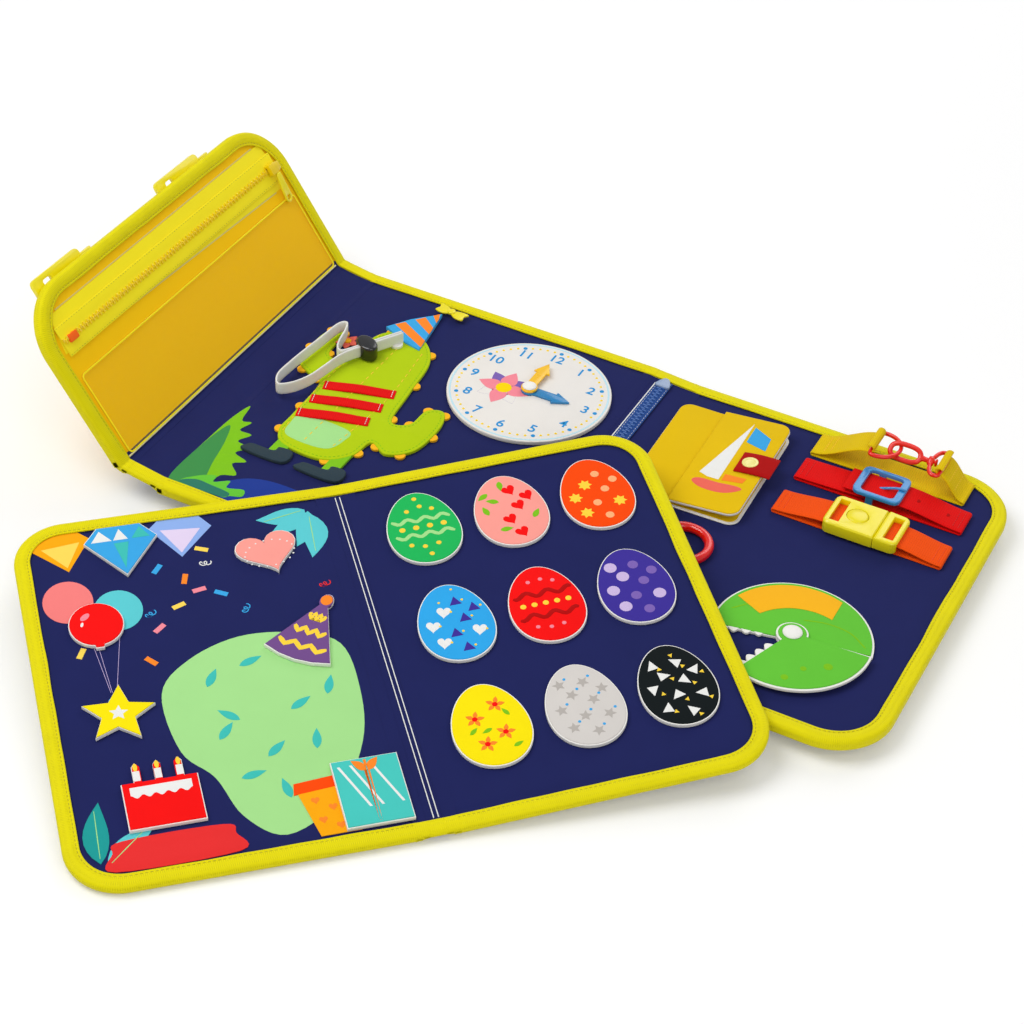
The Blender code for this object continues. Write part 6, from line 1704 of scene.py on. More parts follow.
    def rivet(self, plane: Plane, radius: float, height: float) -> None:
        """Make the domed rivet that the jaw turns on."""
        settle(dome("jaw_rivet", (0, 0, height), radius, 0.30, 18), plane, Look.WHITE)
        post = cut_sheet("jaw_post", [circle((0, 0), radius * 0.45, 24)], 0.001, height + 0.0002, 0.0)
        settle(post, plane, Look.WHITE)

    @staticmethod
    def folded_under(left_fold: float, right_fold: float, low: float, y: float) -> list[Vector]:
        """Return a webbing's way round its left fold, along underneath and round its right fold."""
        def bend(fold: float, start: int) -> list[Vector]:
            return [Vector((fold + WEBBING_FOLD * math.cos(math.radians(turn)), y,
                            low + WEBBING_FOLD + WEBBING_FOLD * math.sin(math.radians(turn))))
                    for turn in range(start, start + 181, 20)]

        under = [Vector((left_fold + (right_fold - left_fold) * step / 24, y, low)) for step in range(1, 24)]
        return bend(left_fold, 90)[1:] + under + bend(right_fold, -90)

    def fold_path(self, left: Point2, right: Point2, left_climb: float, right_climb: float) -> list[Vector]:
        """Return a belt's loop from its left end, round its left and right folds, to its right end.

        Args:
            left: distance along the board and height of the left end.
            right: the same of the right end.
            left_climb: how fast the left run rises, as a share.
            right_climb: how fast the right run rises.

        Returns:
            Points of (x, 0, z).
        """
        low = FELT_GAP + WEBBING_RISE
        high = low + 2 * WEBBING_FOLD
        left_fold, right_fold = 0.1075 + WEBBING_FOLD, 0.2375 - WEBBING_FOLD

        def run(start: Point2, end: Point2, climb: float) -> list[Vector]:
            points = []
            for step in range(15):
                share = step / 14
                ease = min(1.0, share / max(climb, 1e-3))
                ease = ease * ease * (3 - 2 * ease)
                points.append(Vector((start[0] + (end[0] - start[0]) * share, 0,
                                      start[1] + (end[1] - start[1]) * ease)))
            return points

        first = run((left_fold, high), left, left_climb)
        second = run((right_fold, high), right, right_climb)
        return first[::-1] + self.folded_under(left_fold, right_fold, low, 0) + second[1:]

    def belt(self, name: str, y: float, path: Sequence[Vector], look: Look, node: str, thread: Look,
             seams: Sequence[float], follows: str = "") -> None:
        """Sweep a belt, sew it down and replace its node.

        Args:
            name: what its pieces' names start with.
            y: its middle along the board.
            path: points of (x, 0, z).
            look: its webbing.
            node: the CAD node that it replaces.
            thread: its thread.
            seams: x places of the box stitches on its folded ends.
            follows: when given, the right run's last part is swept as a separate piece; the body name itself is not
                used.
        """
        spots = [Vector((point.x, y, point.z)) for point in path]
        fixed = spots[:-14] if follows else spots
        item = swept(f"{name}_webbing", tape_rings(fixed, ALONG, WEBBING_HALF * 2, WEBBING_THICK))
        settle(item, self.plane, look, [node])
        if follows:
            loose = swept(f"{name}_run", tape_rings(spots[-15:], ALONG, WEBBING_HALF * 2, WEBBING_THICK))
            loose.data.transform(self.plane.matrix)
            loose.data.materials.append(look.paint())
            start = self.plane.matrix @ Vector((0.2285, y, spots[-15].z))
            end = self.plane.matrix @ Vector((spots[-1].x + 0.003, y, spots[-15].z))
            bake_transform(loose)
        lines = []
        for x in seams:
            for shift in (0.0, 0.0042):
                line = [Vector((x + shift, y - 0.0098, self.height(spots, x + shift) + 0.0009)),
                        Vector((x + shift, y + 0.0098, self.height(spots, x + shift) + 0.0009))]
                lines.append(stitches("line", line, 0.0020, 0.0029, 0.0006))
        settle(joined(f"{name}_seams", lines), self.plane, thread)

    @staticmethod
    def height(spots: Sequence[Vector], x: float) -> float:
        """Return the highest point of a belt's path at an x place."""
        found = [spot.z + (other.z - spot.z) * (x - spot.x) / (other.x - spot.x)
                 for spot, other in zip(spots, spots[1:])
                 if abs(other.x - spot.x) > 1e-6 and min(spot.x, other.x) <= x <= max(spot.x, other.x)]
        return max(found, default=0.003)

    def clip(self) -> None:
        """Make the clip strap with its curled ends, ring, swivel hook and hook ring."""
        y = 0.2935
        runs = []
        low = FELT_GAP + WEBBING_RISE
        left_fold, right_fold = 0.1075 + WEBBING_FOLD, 0.2280 - WEBBING_FOLD
        for side, end in ((-1, 0.152), (1, 0.206)):
            fold = left_fold if side < 0 else right_fold
            points = []
            for step in range(15):
                share = step / 14
                ease = share * share * (3 - 2 * share)
                points.append(Vector((fold + (end - fold) * share, y,
                                      low + 2 * WEBBING_FOLD + (0.0215 - low - 2 * WEBBING_FOLD) * ease)))
            curl_x, curl_z = points[-1].x, points[-1].z + 0.0028
            turn_way = 1 if side < 0 else -1
            for step in range(1, 13):
                angle = math.radians(-90 + 230 * step / 12)
                points.append(Vector((curl_x + turn_way * 0.0028 * math.cos(angle), y,
                                      curl_z + 0.0028 * math.sin(angle))))
            runs.append(points)
        path = runs[0][::-1] + self.folded_under(left_fold, right_fold, low, y) + runs[1][1:]
        item = swept("clip_webbing_loop", tape_rings(path, ALONG, WEBBING_HALF * 2, WEBBING_THICK))
        settle(item, self.plane, Look.MUSTARD_WEBBING, ["clip_webbing"])
        lines = []
        for x in (0.1165, 0.1215, 0.2140, 0.2190):
            height = self.height(path, x) + 0.0009
            lines.append(stitches("line", [Vector((x, y - 0.0098, height)), Vector((x, y + 0.0098, height))],
                                 0.0020, 0.0029, 0.0006))
        settle(joined("clip_seams", lines), self.plane, Look.AMBER_THREAD)
        refined("clip_ring", "end_board", Look.CLIP_RED, 0.0, 30, levels=1, swell=0.0003)
        refined("hook_ring", "end_board", Look.CLIP_RED, 0.0, 30, levels=1, swell=0.0003)
        refined("swivel_hook", "hook", Look.CLIP_RED, 0.0, 40, levels=1, swell=0.0004)

    def belts(self) -> None:
        """Make the buckled red belt and the orange belt with its side-release buckle."""
        red = self.fold_path((0.1635, 0.0052), (0.145, 0.0088), 1.0, 0.5)
        self.belt("red_belt", 0.260, red, Look.RED_WEBBING, "red_belt", Look.RED_WEBBING_THREAD, (0.1110, 0.2300))
        refined("belt_buckle", "end_board", Look.CLASP_BLUE, 0.0008, 30)
        refined("belt_prong", "prong", Look.CLASP_BLUE, 0.0, 30, levels=1, swell=0.0003)
        # Darker crimson discs laid on the red belt's top stand for its two punched holes: painted shade where the holes
        # are.
        painted_hole_shades = []
        for x in (0.1996, 0.2229):
            height = self.height([Vector((p.x, 0.260, p.z)) for p in red], x) + 0.0007
            painted_hole_shades.append(cut_sheet("painted_hole_shade", [circle((x, 0.260), 0.0018, 20)], height - 0.0004, height + 0.00008))
        settle(joined("belt_eyelets", painted_hole_shades), self.plane, Look.CRIMSON_WEBBING)
        orange = self.fold_path((0.1582, 0.008), (0.1928, 0.008), 0.8, 0.8)
        self.belt("orange_belt", 0.216, orange, Look.ORANGE_WEBBING, "orange_belt", Look.ORANGE_THREAD,
                  (0.1110, 0.2300), "tongue")
        refined("release_socket", "end_board", Look.YELLOW_PLASTIC, 0.0007, 30)
        refined("release_tongue", "tongue", Look.YELLOW_PLASTIC, 0.0006, 30)
        refined("release_button", "button", Look.YELLOW_PLASTIC, 0.0006, 30)

    def sockets(self) -> None:
        """Make the closure sockets."""
        refined("closure_sockets", "end_board", Look.BLACK, 0.0006, 30)

    def build(self) -> None:
        """Make everything that the end board carries."""
        self.board()
        self.card_parts()
        self.jaw_disc()
        self.clip()
        self.belts()
        self.sockets()


# Book

EGG_PLACES = ((0.043, 0.1067, 0.1704), (0.0745, 0.167, 0.2595))


def egg(shrink: float = 0.0, steps: int = 56) -> Outline:
    """Return an egg about its middle, drawn in by an amount."""
    wide, high = 0.0525 / 2 - shrink, 0.070 / 2 - shrink
    return [(wide * math.cos(turn) * (1 - 0.14 * math.sin(turn)), high * math.sin(turn))
            for turn in [math.tau * step / steps for step in range(steps)]]


def inside_egg(outlines: Iterable[Outline], reach: float = 0.92) -> list[Outline]:
    """Keep the outlines whose points all lie well inside the egg."""
    kept = []
    for outline in outlines:
        worst = max(math.hypot(x / (0.02625 * (1 - 0.14 * y / 0.035)), y / 0.035) for x, y in outline)
        if worst < reach:
            kept.append(outline)
    return kept


@dataclass
class Egg:
    """A foam egg that peels off the right page: white edge, coloured skin and its pattern."""

    name: str
    place: Point2
    skin: Look
    prints: dict[Look, list[Outline]]

    def build(self, page: Plane) -> None:
        """Make the egg on its page."""
        body = f"egg_{self.name}_piece"
        plane = page.shifted((*self.place, FELT_GAP), 0, body)
        foam = cut_sheet(f"egg_{self.name}_foam", [egg(0.0, 56)], 0.0, 0.0029, 0.0003)
        settle(foam, plane, Look.WHITE, [f"egg_{self.name}"])
        skin = cut_sheet(f"egg_{self.name}_skin", [egg(0.0007, 56)], 0.0016, 0.0035, 0.0008)
        settle(skin, plane, self.skin)
        kept = {look: inside_egg(shapes) for look, shapes in self.prints.items()}
        printed(f"egg_{self.name}_print", plane, {look: shapes for look, shapes in kept.items() if shapes},
                face=0.0035, proud=0.00008)


def egg_prints() -> dict[str, tuple[Look, dict[Look, list[Outline]]]]:
    """Return each egg's skin and the plain pattern printed on it."""
    dot = circle((0, 0), 0.5, 16)
    petal = [(x - 0.5, y) for x, y in leaf(1.0, 0.55)]
    grid = [(x * MM, y * MM) for x, y in ((-12, -18), (3, -24), (14, -12), (-2, -10), (-16, -2), (7, 2), (-6, 9),
                                          (15, 10), (-12, 19), (4, 18), (-1, 29))]
    yellow_flowers = []
    for centre in ((-9, 6), (8, -9), (7, 15), (-6, -16)):
        for turn in range(0, 360, 72):
            spot = (centre[0] * MM + 0.0038 * math.cos(math.radians(turn)),
                    centre[1] * MM + 0.0038 * math.sin(math.radians(turn)))
            yellow_flowers.append(moved(petal, spot, turn, 0.0058))
    hearts = [moved(heart(20), spot, 18 if index % 2 else -14, 0.0100) for index, spot in enumerate(grid)]
    return {
        "yellow": (Look.FOAM_YELLOW, {
            Look.PRINT_ORANGE: yellow_flowers,
            Look.FOAM_RED: [circle((x * MM, y * MM), 0.0019, 14) for x, y in ((-9, 6), (8, -9), (7, 15), (-6, -16))],
            Look.LEAF: [moved(leaf(0.0075, 0.0030), (x * MM, y * MM), turn) for x, y, turn in
                        ((-15, -6, 40), (14, 4, 120), (-2, 26, 70), (0, -4, 200), (10, -22, 20))]}),
        "white": (Look.FOAM_GREY, {
            Look.GREY_SHADE: [moved(star(), spot, index * 19, 0.0092) for index, spot in enumerate(grid)],
            Look.PRINT_SKY: [moved(dot, (x + 0.0048, y + 0.0042), 0, 0.0021) for x, y in grid]}),
        "black": (Look.FOAM_BLACK, {
            Look.PRINT_WHITE: [moved([(-0.5, -0.35), (0.42, -0.5), (0.2, 0.5)], spot, index * 47, 0.0085)
                               for index, spot in enumerate(grid)],
            Look.PRINT_YELLOW: [moved([(-0.5, -0.3), (0.5, -0.4), (0.0, 0.5)], (x + 0.0046, y - 0.0044), index * 31,
                                      0.0034) for index, (x, y) in enumerate(grid)]}),
        "blue": (Look.FOAM_BLUE, {
            Look.PRINT_WHITE: hearts[::2],
            Look.FOAM_PURPLE: [moved([(-0.5, -0.4), (0.5, -0.4), (0.0, 0.5)], spot, 0, 0.0085)
                               for spot in grid[1::2]],
            Look.PRINT_YELLOW: [moved(dot, (x + 0.0050, y), 0, 0.0018) for x, y in grid]}),
        "red": (Look.FOAM_RED, {
            Look.CRIMSON: [band([(x * MM, (y + math.sin(x * 0.42) * 2.2) * MM) for x in range(-21, 22, 2)], 0.0034)
                           for y in (-10.5, 9.5)],
            Look.PRINT_YELLOW: [moved(dot, (x * MM, 0), 0, 0.0042) for x in (-16, -8, 0, 8, 16)],
            Look.PRINT_PINK: [moved(dot, (x * MM, y * MM), 0, 0.0030) for x, y in
                              ((-7, 21), (2, 22), (10, 19), (-11, -20), (-2, -22), (7, -21))]}),
        "purple": (Look.FOAM_PURPLE, {
            Look.PRINT_LILAC: [moved(dot, spot, 0, 0.0090) for spot in grid[::2]],
            Look.PRINT_VIOLET: [moved(dot, spot, 0, 0.0075) for spot in grid[1::2]]}),
        "green": (Look.FOAM_GREEN, {
            Look.PRINT_MINT: [band([(x * MM, (y + math.sin(x * 0.5) * 1.8) * MM) for x in range(-21, 22, 2)], 0.0030)
                              for y in (-7.5, 7.5)],
            Look.PRINT_YELLOW: [moved(dot, (x * MM, 0), 0, 0.0045) for x in (-15, -5, 5, 15)]
            + [moved(dot, (x * MM, y * MM), 0, 0.0036) for x, y in
               ((-8, 17), (2, 20), (10, 16), (-12, -16), (-3, -19), (7, -18), (0, 28), (0, -27))]}),
        "pink": (Look.FOAM_PINK, {
            Look.FOAM_RED: hearts[1::2],
            Look.LEAF: [moved(leaf(0.0095, 0.0044), spot, index * 53) for index, spot in enumerate(grid[::2])]}),
        "orange": (Look.FOAM_ORANGE, {
            Look.PRINT_YELLOW: [moved(star(7, 0.62), spot, index * 27, 0.0105) for index, spot in
                                enumerate(grid)][::2],
            Look.PRINT_PEACH: [moved(dot, spot, 0, 0.0062) for spot in grid[1::2]]}),
    }


@dataclass
class Book:
    """The felt book: two bound pages, the spine between them, foam eggs and party pieces."""

    left: Plane
    right: Plane
    back: Plane
    page: float = PAGE_WIDTH
    depth: float = BOARD_DEPTH
    foam: float = 0.0035

    def boards(self) -> None:
        """Make the pages and the spine."""
        BoundBoard("right_page", self.right, self.page, PAGE_THICK, PAGE_CORNER, "right", "right_page",
                   "right_binding").build()
        BoundBoard("left_page", self.left, self.page, PAGE_THICK, PAGE_CORNER, "left", "left_page",
                   "left_binding").build()
        SoftStrip("book_spine", self.back, 0.0, 0.020, 0.0035, "book_spine").build()
        lines = {Look.PRINT_WHITE: [crisp([(x, 13), (x + 0.6, 13), (x + 0.6, 307), (x, 307)]) for x in (9.4, 12.6)]}
        printed("book_spine_line", self.back, lines, face=-0.0001, proud=0.0004)

    def eggs(self) -> None:
        """Make the nine eggs, row by row from the near edge."""
        names = (("yellow", "white", "black"), ("blue", "red", "purple"), ("green", "pink", "orange"))
        prints = egg_prints()
        for y, row in zip(EGG_PLACES[1], names):
            for x, name in zip(EGG_PLACES[0], row):
                skin, pattern = prints[name]
                Egg(name, (x, y), skin, pattern).build(self.right)

    def piece(self, name: str, place: Point2, size: Point2, turn: float, outline: Outline,
              skin: Look, prints: dict[Look, list[Outline]]) -> None:
        """Make a party piece: white foam edge, coloured skin, and its prints in shares of its size."""
        plane = self.left.shifted((*place, FELT_GAP), turn, f"party_{name}_piece")
        shape = [(x * size[0], y * size[1]) for x, y in outline]
        foam = cut_sheet(f"party_{name}_foam", [shape], 0.0, self.foam - 0.0007, 0.0002)
        settle(foam, plane, Look.WHITE, [f"party_{name}"])
        shrink = [(x * (size[0] - 0.0014), y * (size[1] - 0.0014)) for x, y in outline]
        settle(cut_sheet(f"party_{name}_skin", [shrink], 0.0010, self.foam, 0.0004), plane, skin)
        scaled_prints = {look: [[(x * size[0], y * size[1]) for x, y in shape_of] for shape_of in shapes]
                         for look, shapes in prints.items()}
        printed(f"party_{name}_print", plane, scaled_prints, face=self.foam, proud=0.00008)

    def party(self) -> None:
        """Make the seven party pieces."""
        dot = circle((0, 0), 0.5, 20)
        gem = [(0, -0.5), (0.5, 0.22), (0.30, 0.5), (-0.30, 0.5), (-0.5, 0.22)]
        facets = {Look.PRINT_WHITE: [[(-0.40, 0.20), (-0.27, 0.42), (-0.12, 0.20)],
                                     [(-0.10, 0.20), (0.0, 0.42), (0.10, 0.20)]],
                  Look.PRINT_TEAL: [[(-0.10, 0.14), (0.10, 0.14), (0.0, -0.38)],
                                    [(0.15, 0.20), (0.28, 0.42), (0.40, 0.20)]]}
        self.piece("diamond", (0.0745, 0.283), (0.051, 0.048), 0, gem, Look.PRINT_SKY, facets)
        self.piece("heart", (0.173, 0.260), (0.044, 0.038), 10, heart(36), Look.FOAM_PINK,
                   {Look.PRINT_WHITE: [moved(dot, (0.40 * math.sin(turn), 0.36 * math.cos(turn) * 0.9 - 0.01), 0, 0.03)
                                       for turn in [math.tau * step / 18 for step in range(18)]]})
        balloon = arc((0, 0.025), 0.475, -80, 260, 44) + [(-0.07, -0.5), (0.07, -0.5)]
        self.piece("balloon", (0.047, 0.2165), (0.039, 0.041), 0, balloon, Look.FOAM_RED,
                   {Look.PRINT_PINK: [moved(dot, (-0.17, 0.20), 40, (0.20, 0.11))],
                    Look.PRINT_WHITE: [moved(dot, (-0.24, 0.04), 70, (0.10, 0.05))]})
        self.piece("star", (0.050, 0.137), (0.050, 0.050), -8, star(), Look.FOAM_YELLOW,
                   {Look.PRINT_WHITE: [moved(star(), (0, 0), 0, 0.26)]})
        cake = [(-0.5, -0.5), (0.5, -0.5), (0.5, 0.20), (0.33, 0.20), (0.33, 0.44), (0.28, 0.5), (0.23, 0.44),
                (0.23, 0.20), (0.05, 0.20), (0.05, 0.44), (0, 0.5), (-0.05, 0.44), (-0.05, 0.20), (-0.23, 0.20),
                (-0.23, 0.44), (-0.28, 0.5), (-0.33, 0.44), (-0.33, 0.20), (-0.5, 0.20)]
        icing = [(-0.40, 0.12), (-0.40, 0.02)]
        for step in range(33):
            icing.append((-0.40 + 0.80 * step / 32, 0.0 - 0.05 * math.sin(step / 32 * math.pi * 5) ** 2))
        icing += [(0.40, 0.12)]
        self.piece("cake", (0.067, 0.0675), (0.049, 0.053), 0, cake, Look.FOAM_RED,
                   {Look.PRINT_WHITE: [icing, *[[(x - 0.045, 0.21), (x + 0.045, 0.21), (x + 0.045, 0.36),
                                                 (x - 0.045, 0.36)] for x in (-0.28, 0, 0.28)]],
                    Look.PRINT_YELLOW: [moved(dot, (x, 0.42), 0, (0.06, 0.12)) for x in (-0.28, 0, 0.28)]})
        brim = [(-0.5, -0.42), (-0.25, -0.48), (0, -0.5), (0.25, -0.48), (0.5, -0.42)]
        hat = brim + arc((0, 0.40), 0.10, -50, 230, 18)
        waves = []
        for level in (-0.30, -0.08, 0.14):
            half = 0.44 * (0.40 - level) / 0.82 - 0.02
            line = [(half * (step / 12 - 0.5) * 2, level + 0.035 * math.cos(step * math.pi / 2)) for step in range(13)]
            waves.append(band(line, 0.065))
        self.piece("hat", (0.188, 0.186), (0.048, 0.064), -34, hat, Look.FOAM_VIOLET,
                   {Look.PRINT_YELLOW: waves, Look.PRINT_ORANGE: [moved(dot, (0.0, 0.40), 0, (0.17, 0.15))]})
        box = [(-0.5, -0.5), (0.5, -0.5), (0.5, 0.5), (-0.5, 0.5)]
        self.piece("gift", (0.1965, 0.041), (0.044, 0.054), 0, box, Look.FOAM_TEAL,
                   {Look.PRINT_WHITE: [[(x - 0.02, 0.40), (x + 0.02, 0.40), (x + 0.34, -0.24), (x + 0.30, -0.24)]
                                       for x in (-0.40, -0.22, 0.08)],
                    Look.PRINT_ORANGE: [[(-0.02, -0.46), (0.02, -0.46), (0.02, 0.46), (-0.02, 0.46)],
                                        moved(leaf(0.26, 0.12), (0.0, 0.30), 40),
                                        moved(leaf(0.26, 0.12), (0.0, 0.30), 140)]})

    def left_prints(self) -> None:
        """Print the left page: bush, leaves, gems, balloons, cake stand, gift and confetti."""
        def at(points: Sequence[Point2]) -> list[Point2]:
            return [(230 - x, y) for x, y in points]

        bush = blob(at([(150, 150), (128, 176), (92, 190), (54, 186), (26, 170), (22, 128), (30, 84), (56, 40),
                        (92, 20), (116, 40), (128, 74), (146, 100)]), 6)
        printed("left_bush", self.left, {Look.PRINT_MINT: [bush]}, proud=0.00008)
        flecks = [moved(leaf(0.017, 0.0060), ((230 - x) * MM, y * MM), turn) for x, y, turn in
                  ((120, 150, 60), (96, 164, 20), (60, 160, 110), (44, 128, 70), (70, 120, 30), (104, 118, 140),
                   (60, 84, 80), (92, 84, 40), (84, 48, 100), (112, 70, 10), (120, 104, 50), (52, 60, 20))]
        printed("left_flecks", self.left, {Look.PRINT_TEAL: flecks}, face=0.0001)
        fern = [moved(leaf(length * MM, length * 0.42 * MM, 0.08), (x * MM, y * MM), turn) for x, y, length, turn in
                ((206, 300, 36, 186), (206, 300, 34, 214), (208, 298, 36, 246), (208, 296, 44, 262))]
        plant = [moved(leaf(length * MM, length * 0.34 * MM, 0.05), (x * MM, y * MM), turn) for x, y, length, turn in
                 ((22, 22, 48, 84), (26, 19, 42, 38))]
        ribs = [band([((x + length * 0.86 * share * math.cos(math.radians(turn))) * MM,
                       (y + length * 0.86 * share * math.sin(math.radians(turn))) * MM) for share in (0.1, 0.5, 1)],
                     0.0007) for x, y, length, turn in ((22, 22, 48, 88), (26, 19, 42, 42), (206, 300, 36, 192),
                                                        (208, 296, 44, 266))]
        for index, shape in enumerate(fern):
            printed(f"left_fern_{index}", self.left, {Look.PRINT_AQUA: [shape]}, face=0.00012 + index * 0.00003)
        printed("left_plant_back", self.left, {Look.PRINT_AQUA: [plant[1]]}, face=0.00012)
        printed("left_plant", self.left, {Look.PRINT_TEAL_DEEP: [plant[0]]}, face=0.0002)
        printed("left_ribs", self.left, {Look.PRINT_MINT: ribs}, face=0.00032)
        self.gifts()

    def gifts(self) -> None:
        """Print the gems, balloons, cake stand and the second gift."""
        gem = [(0, -0.5), (0.5, 0.22), (0.30, 0.5), (-0.30, 0.5), (-0.5, 0.22)]
        crown = [(-0.32, 0.18), (0.32, 0.18), (0.0, -0.40)]
        places = ((34, 291, 6, 0.042, Look.PRINT_AMBER, Look.PRINT_CORN), (116, 291, -6, 0.044, Look.PRINT_PERIWINKLE,
                                                                         Look.PRINT_BLUSH))
        for index, (x, y, turn, size, outer, inner) in enumerate(places):
            printed(f"left_gem_{index}", self.left, {outer: [moved(gem, (x * MM, y * MM), turn, (size, size * 0.9))]},
                    face=0.00008)
            printed(f"left_gem_light_{index}", self.left,
                    {inner: [moved(crown, (x * MM, y * MM), turn, (size, size * 0.9))]}, face=0.00016)
        ball = circle((0, 0), 0.5, 36)
        printed("left_balloon", self.left, {Look.PRINT_SALMON: [moved(ball, (0.0315, 0.2440), 0, (0.034, 0.039))]},
                face=0.00008)
        printed("left_balloon_aqua", self.left,
                {Look.PRINT_AQUA: [moved(ball, (0.0635, 0.2300), 0, (0.033, 0.037))]}, face=0.00014)
        stand = blob([(30, 14), (30, 28), (37, 36.5), (100, 36.5), (107, 28), (107, 14)], 6)
        printed("left_stand", self.left, {Look.PRINT_RED: [stand]}, face=0.00022)
        box = crisp([(158, 14), (150, 50), (185, 54), (184, 14)])
        lid = crisp([(147.5, 49), (149, 58), (188, 61), (187, 52)])
        hearts = [moved(heart(18), (x * MM, y * MM), 0, 0.0056)
                  for x, y in ((160, 42), (170, 35), (162, 26), (172, 20))]
        printed("left_gift", self.left, {Look.PRINT_AMBER: [box], Look.FOAM_ORANGE: [lid]}, face=0.0003)
        printed("left_gift_hearts", self.left, {Look.PRINT_ORANGE: hearts}, face=0.0004)
        self.confetti()

    def confetti(self) -> None:
        """Print confetti, squiggles and balloon strings on the left page."""
        strips = {
            Look.PRINT_CORN: [(128, 276, -24), (34, 196, 62), (104, 226, 20)],
            Look.PRINT_SKY: [(95, 263, 52), (134, 232, -30)],
            Look.PRINT_ORANGE: [(78, 180, -48), (112, 250, 74)],
            Look.PRINT_PINK: [(120, 238, 10), (88, 208, 40)],
        }
        for look, places in strips.items():
            shapes = [moved(box_points(), (x * MM, y * MM), turn, (0.0095, 0.0038)) for x, y, turn in places]
            printed("left_strips", self.left, {look: shapes}, face=0.00006)
        curls = {Look.PRINT_WHITE: [(128, 262, 0)], Look.PRINT_SKY: [(84, 222, 30), (50, 152, 200), (148, 214, 60)],
                 Look.PRINT_RED: [(205, 226, 20)]}
        for look, places in curls.items():
            shapes = []
            for x, y, turn in places:
                line = [((step - 8) * 0.00042 + 0.0017 * math.cos(step * 0.85), 0.0019 * math.sin(step * 0.85))
                        for step in range(17)]
                shapes.append(band(moved(line, (x * MM, y * MM), turn), 0.0008))
            for index, shape in enumerate(shapes):
                printed(f"left_curl_{index}", self.left, {look: [shape]}, face=0.00006 + index * 0.00002)
        strings = [band([(start[0] * MM, start[1] * MM), (end[0] * MM, end[1] * MM)], 0.0005)
                   for start, end in (((46, 197), (49, 158)), ((40, 222), (48, 158)), ((62, 212), (52, 158)))]
        for index, string in enumerate(strings):
            printed(f"left_string_{index}", self.left, {Look.PRINT_LILAC: [string]}, face=0.00004 + index * 0.00003)

    def build(self) -> None:
        """Make the whole book."""
        self.boards()
        self.left_prints()
        self.eggs()
        self.party()


def box_points() -> Outline:
    """Return a square of unit width about its middle."""
    return [(-0.5, -0.5), (0.5, -0.5), (0.5, 0.5), (-0.5, 0.5)]


# Studio

def seen_ray(sheet: Sheet) -> Signal:
    """Return 1 where a camera, glossy or transmission ray meets the surface."""
    path = sheet.node("ShaderNodeLightPath")
    rays = [Signal(sheet, path.outputs[name]) for name in ("Is Camera Ray", "Is Glossy Ray", "Is Transmission Ray")]
    return rays[0] + rays[1] + rays[2]


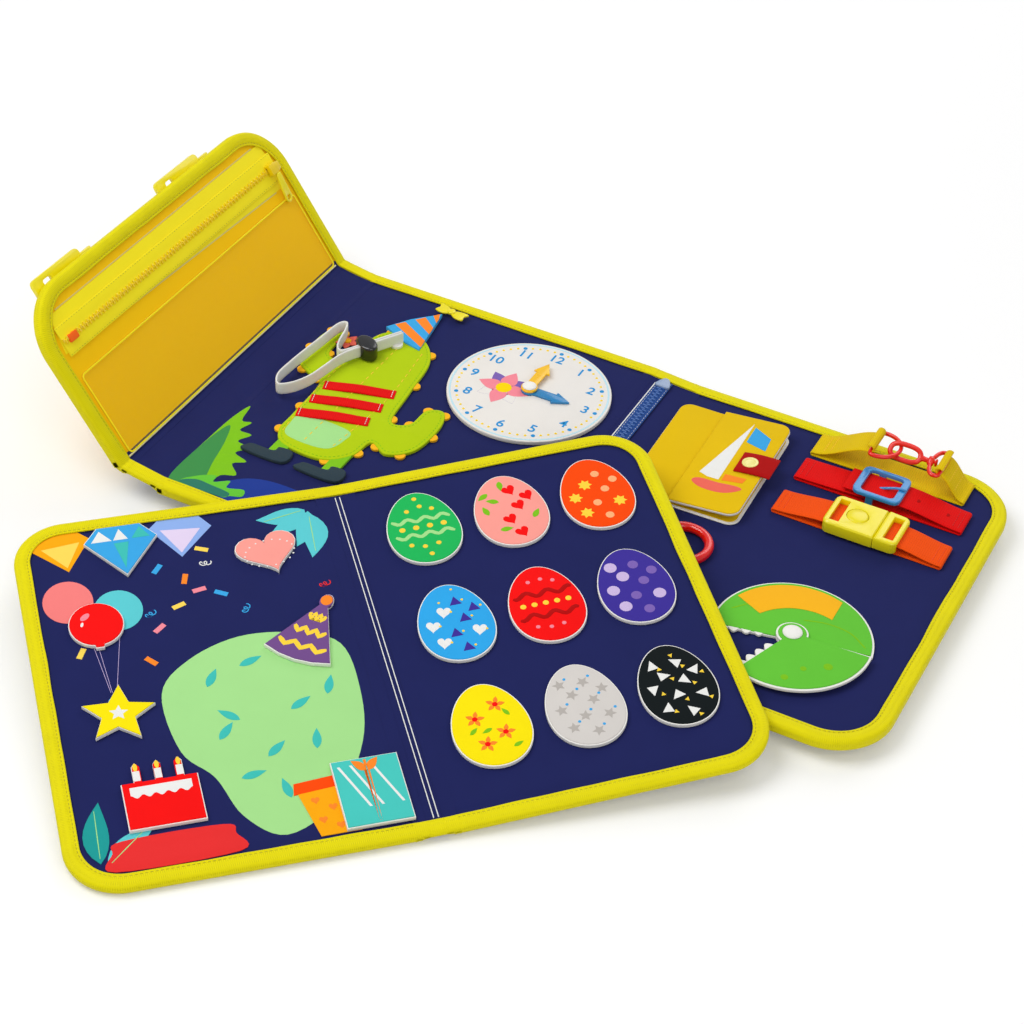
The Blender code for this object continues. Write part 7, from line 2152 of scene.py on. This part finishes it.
class Studio:
    """The plain pale studio: floor, lights, world and the camera at the photograph's angle."""

    place = Vector((0.6693, -1.1493, 1.0885))
    right = Vector((0.88663, 0.46060, 0.04175))
    up = Vector((-0.32183, 0.54963, 0.77094))
    back = Vector((0.33214, -0.69697, 0.63555))
    lens = 81.67

    def floor(self) -> None:
        """Lay the floor, white wherever the camera sees it, and let it keep the shadow."""
        alone()
        bpy.ops.mesh.primitive_plane_add(size=8)
        item = bpy.context.view_layer.objects.active
        item.name = "studio_floor"
        item.data.transform(Matrix.Translation((0, 0, -0.0006)))
        sheet = Sheet("studio_white")
        glow = sheet.mix(seen_ray(sheet), (0.0, 0.0, 0.0, 1), (0.16, 0.16, 0.16, 1))
        sheet.surface(Base_Color=(0.86, 0.86, 0.86, 1), Roughness=0.9, Specular_IOR_Level=0.0,
                      Emission_Color=glow, Emission_Strength=1.0)
        item.data.materials.append(sheet.material)

    def light(self, name: str, place: Sequence[float], size: float, power: float) -> None:
        """Hang a soft square light that looks at the board."""
        data = bpy.data.lights.new(name, "AREA")
        data.shape = "DISK"
        data.size = size
        data.energy = power
        item = linked(name, data)
        item.location = place
        item.rotation_euler = (Vector((0.1, 0.0, 0.0)) - Vector(place)).to_track_quat("-Z", "Y").to_euler()

    def camera(self) -> None:
        """Set the camera where the photograph was taken from."""
        data = bpy.data.cameras.new("photo_camera")
        data.lens = self.lens
        data.sensor_width = 36
        item = linked("photo_camera", data)
        turn = Matrix((self.right, self.up, self.back)).transposed().to_4x4()
        item.matrix_world = Matrix.Translation(self.place) @ turn
        bpy.context.scene.camera = item

    def build(self) -> None:
        """Set up floor, lights, world and camera."""
        self.floor()
        self.light("key_light", (-0.9, -0.5, 1.9), 1.5, 23)
        self.light("fill_light", (1.4, -1.2, 1.5), 1.8, 12)
        self.light("back_light", (0.2, 1.8, 1.4), 1.6, 11)
        world = bpy.data.worlds.new("studio")
        world.use_nodes = True
        tree = world.node_tree
        output = tree.nodes["World Output"]
        light = tree.nodes["Background"]
        light.inputs["Color"].default_value = (1, 1, 1, 1)
        light.inputs["Strength"].default_value = 0.42
        seen = tree.nodes.new("ShaderNodeBackground")
        seen.inputs["Color"].default_value = (1, 1, 1, 1)
        path = tree.nodes.new("ShaderNodeLightPath")
        blend = tree.nodes.new("ShaderNodeMixShader")
        tree.links.new(path.outputs["Is Camera Ray"], blend.inputs[0])
        tree.links.new(light.outputs[0], blend.inputs[1])
        tree.links.new(seen.outputs[0], blend.inputs[2])
        tree.links.new(blend.outputs[0], output.inputs["Surface"])
        bpy.context.scene.view_settings.view_transform = "Standard"
        bpy.context.scene.world = world
        self.camera()


def main() -> None:
    """Build the look in order and set up the studio."""
    logging.basicConfig(level=logging.INFO, format="%(name)s: %(message)s")
    planes = read_planes()
    MiddleBoard(planes["middle"]).build()
    Flap(planes["flap"], planes["strip"]).build()
    Spine(planes["spine"]).build()
    EndBoard(planes["end"]).build()
    Book(planes["left"], planes["right"], planes["back"]).build()
    creases = (
        Crease("strip_fold", planes["strip"], 0.0, STRIP_THICK, planes["middle"], 0.0, BOARD_THICK),
        Crease("flap_fold", planes["flap"], FLAP_WIDTH, BOARD_THICK, planes["strip"], -STRIP_WIDTH, STRIP_THICK),
        Crease("spine_fold", planes["middle"], MIDDLE_WIDTH, BOARD_THICK, planes["spine"], 0.0, STRIP_THICK),
        Crease("end_fold", planes["spine"], SPINE_WIDTH, STRIP_THICK, planes["end"], 0.0, BOARD_THICK),
        Crease("left_fold", planes["left"], PAGE_WIDTH, PAGE_THICK, planes["back"], 0.0, BOOK_SOFT_THICK),
        Crease("right_fold", planes["back"], BOOK_SPINE_WIDTH, BOOK_SOFT_THICK, planes["right"], 0.0, PAGE_THICK),
    )
    for crease in creases:
        crease.build()
    Studio().build()


if __name__ == "__main__":
    main()
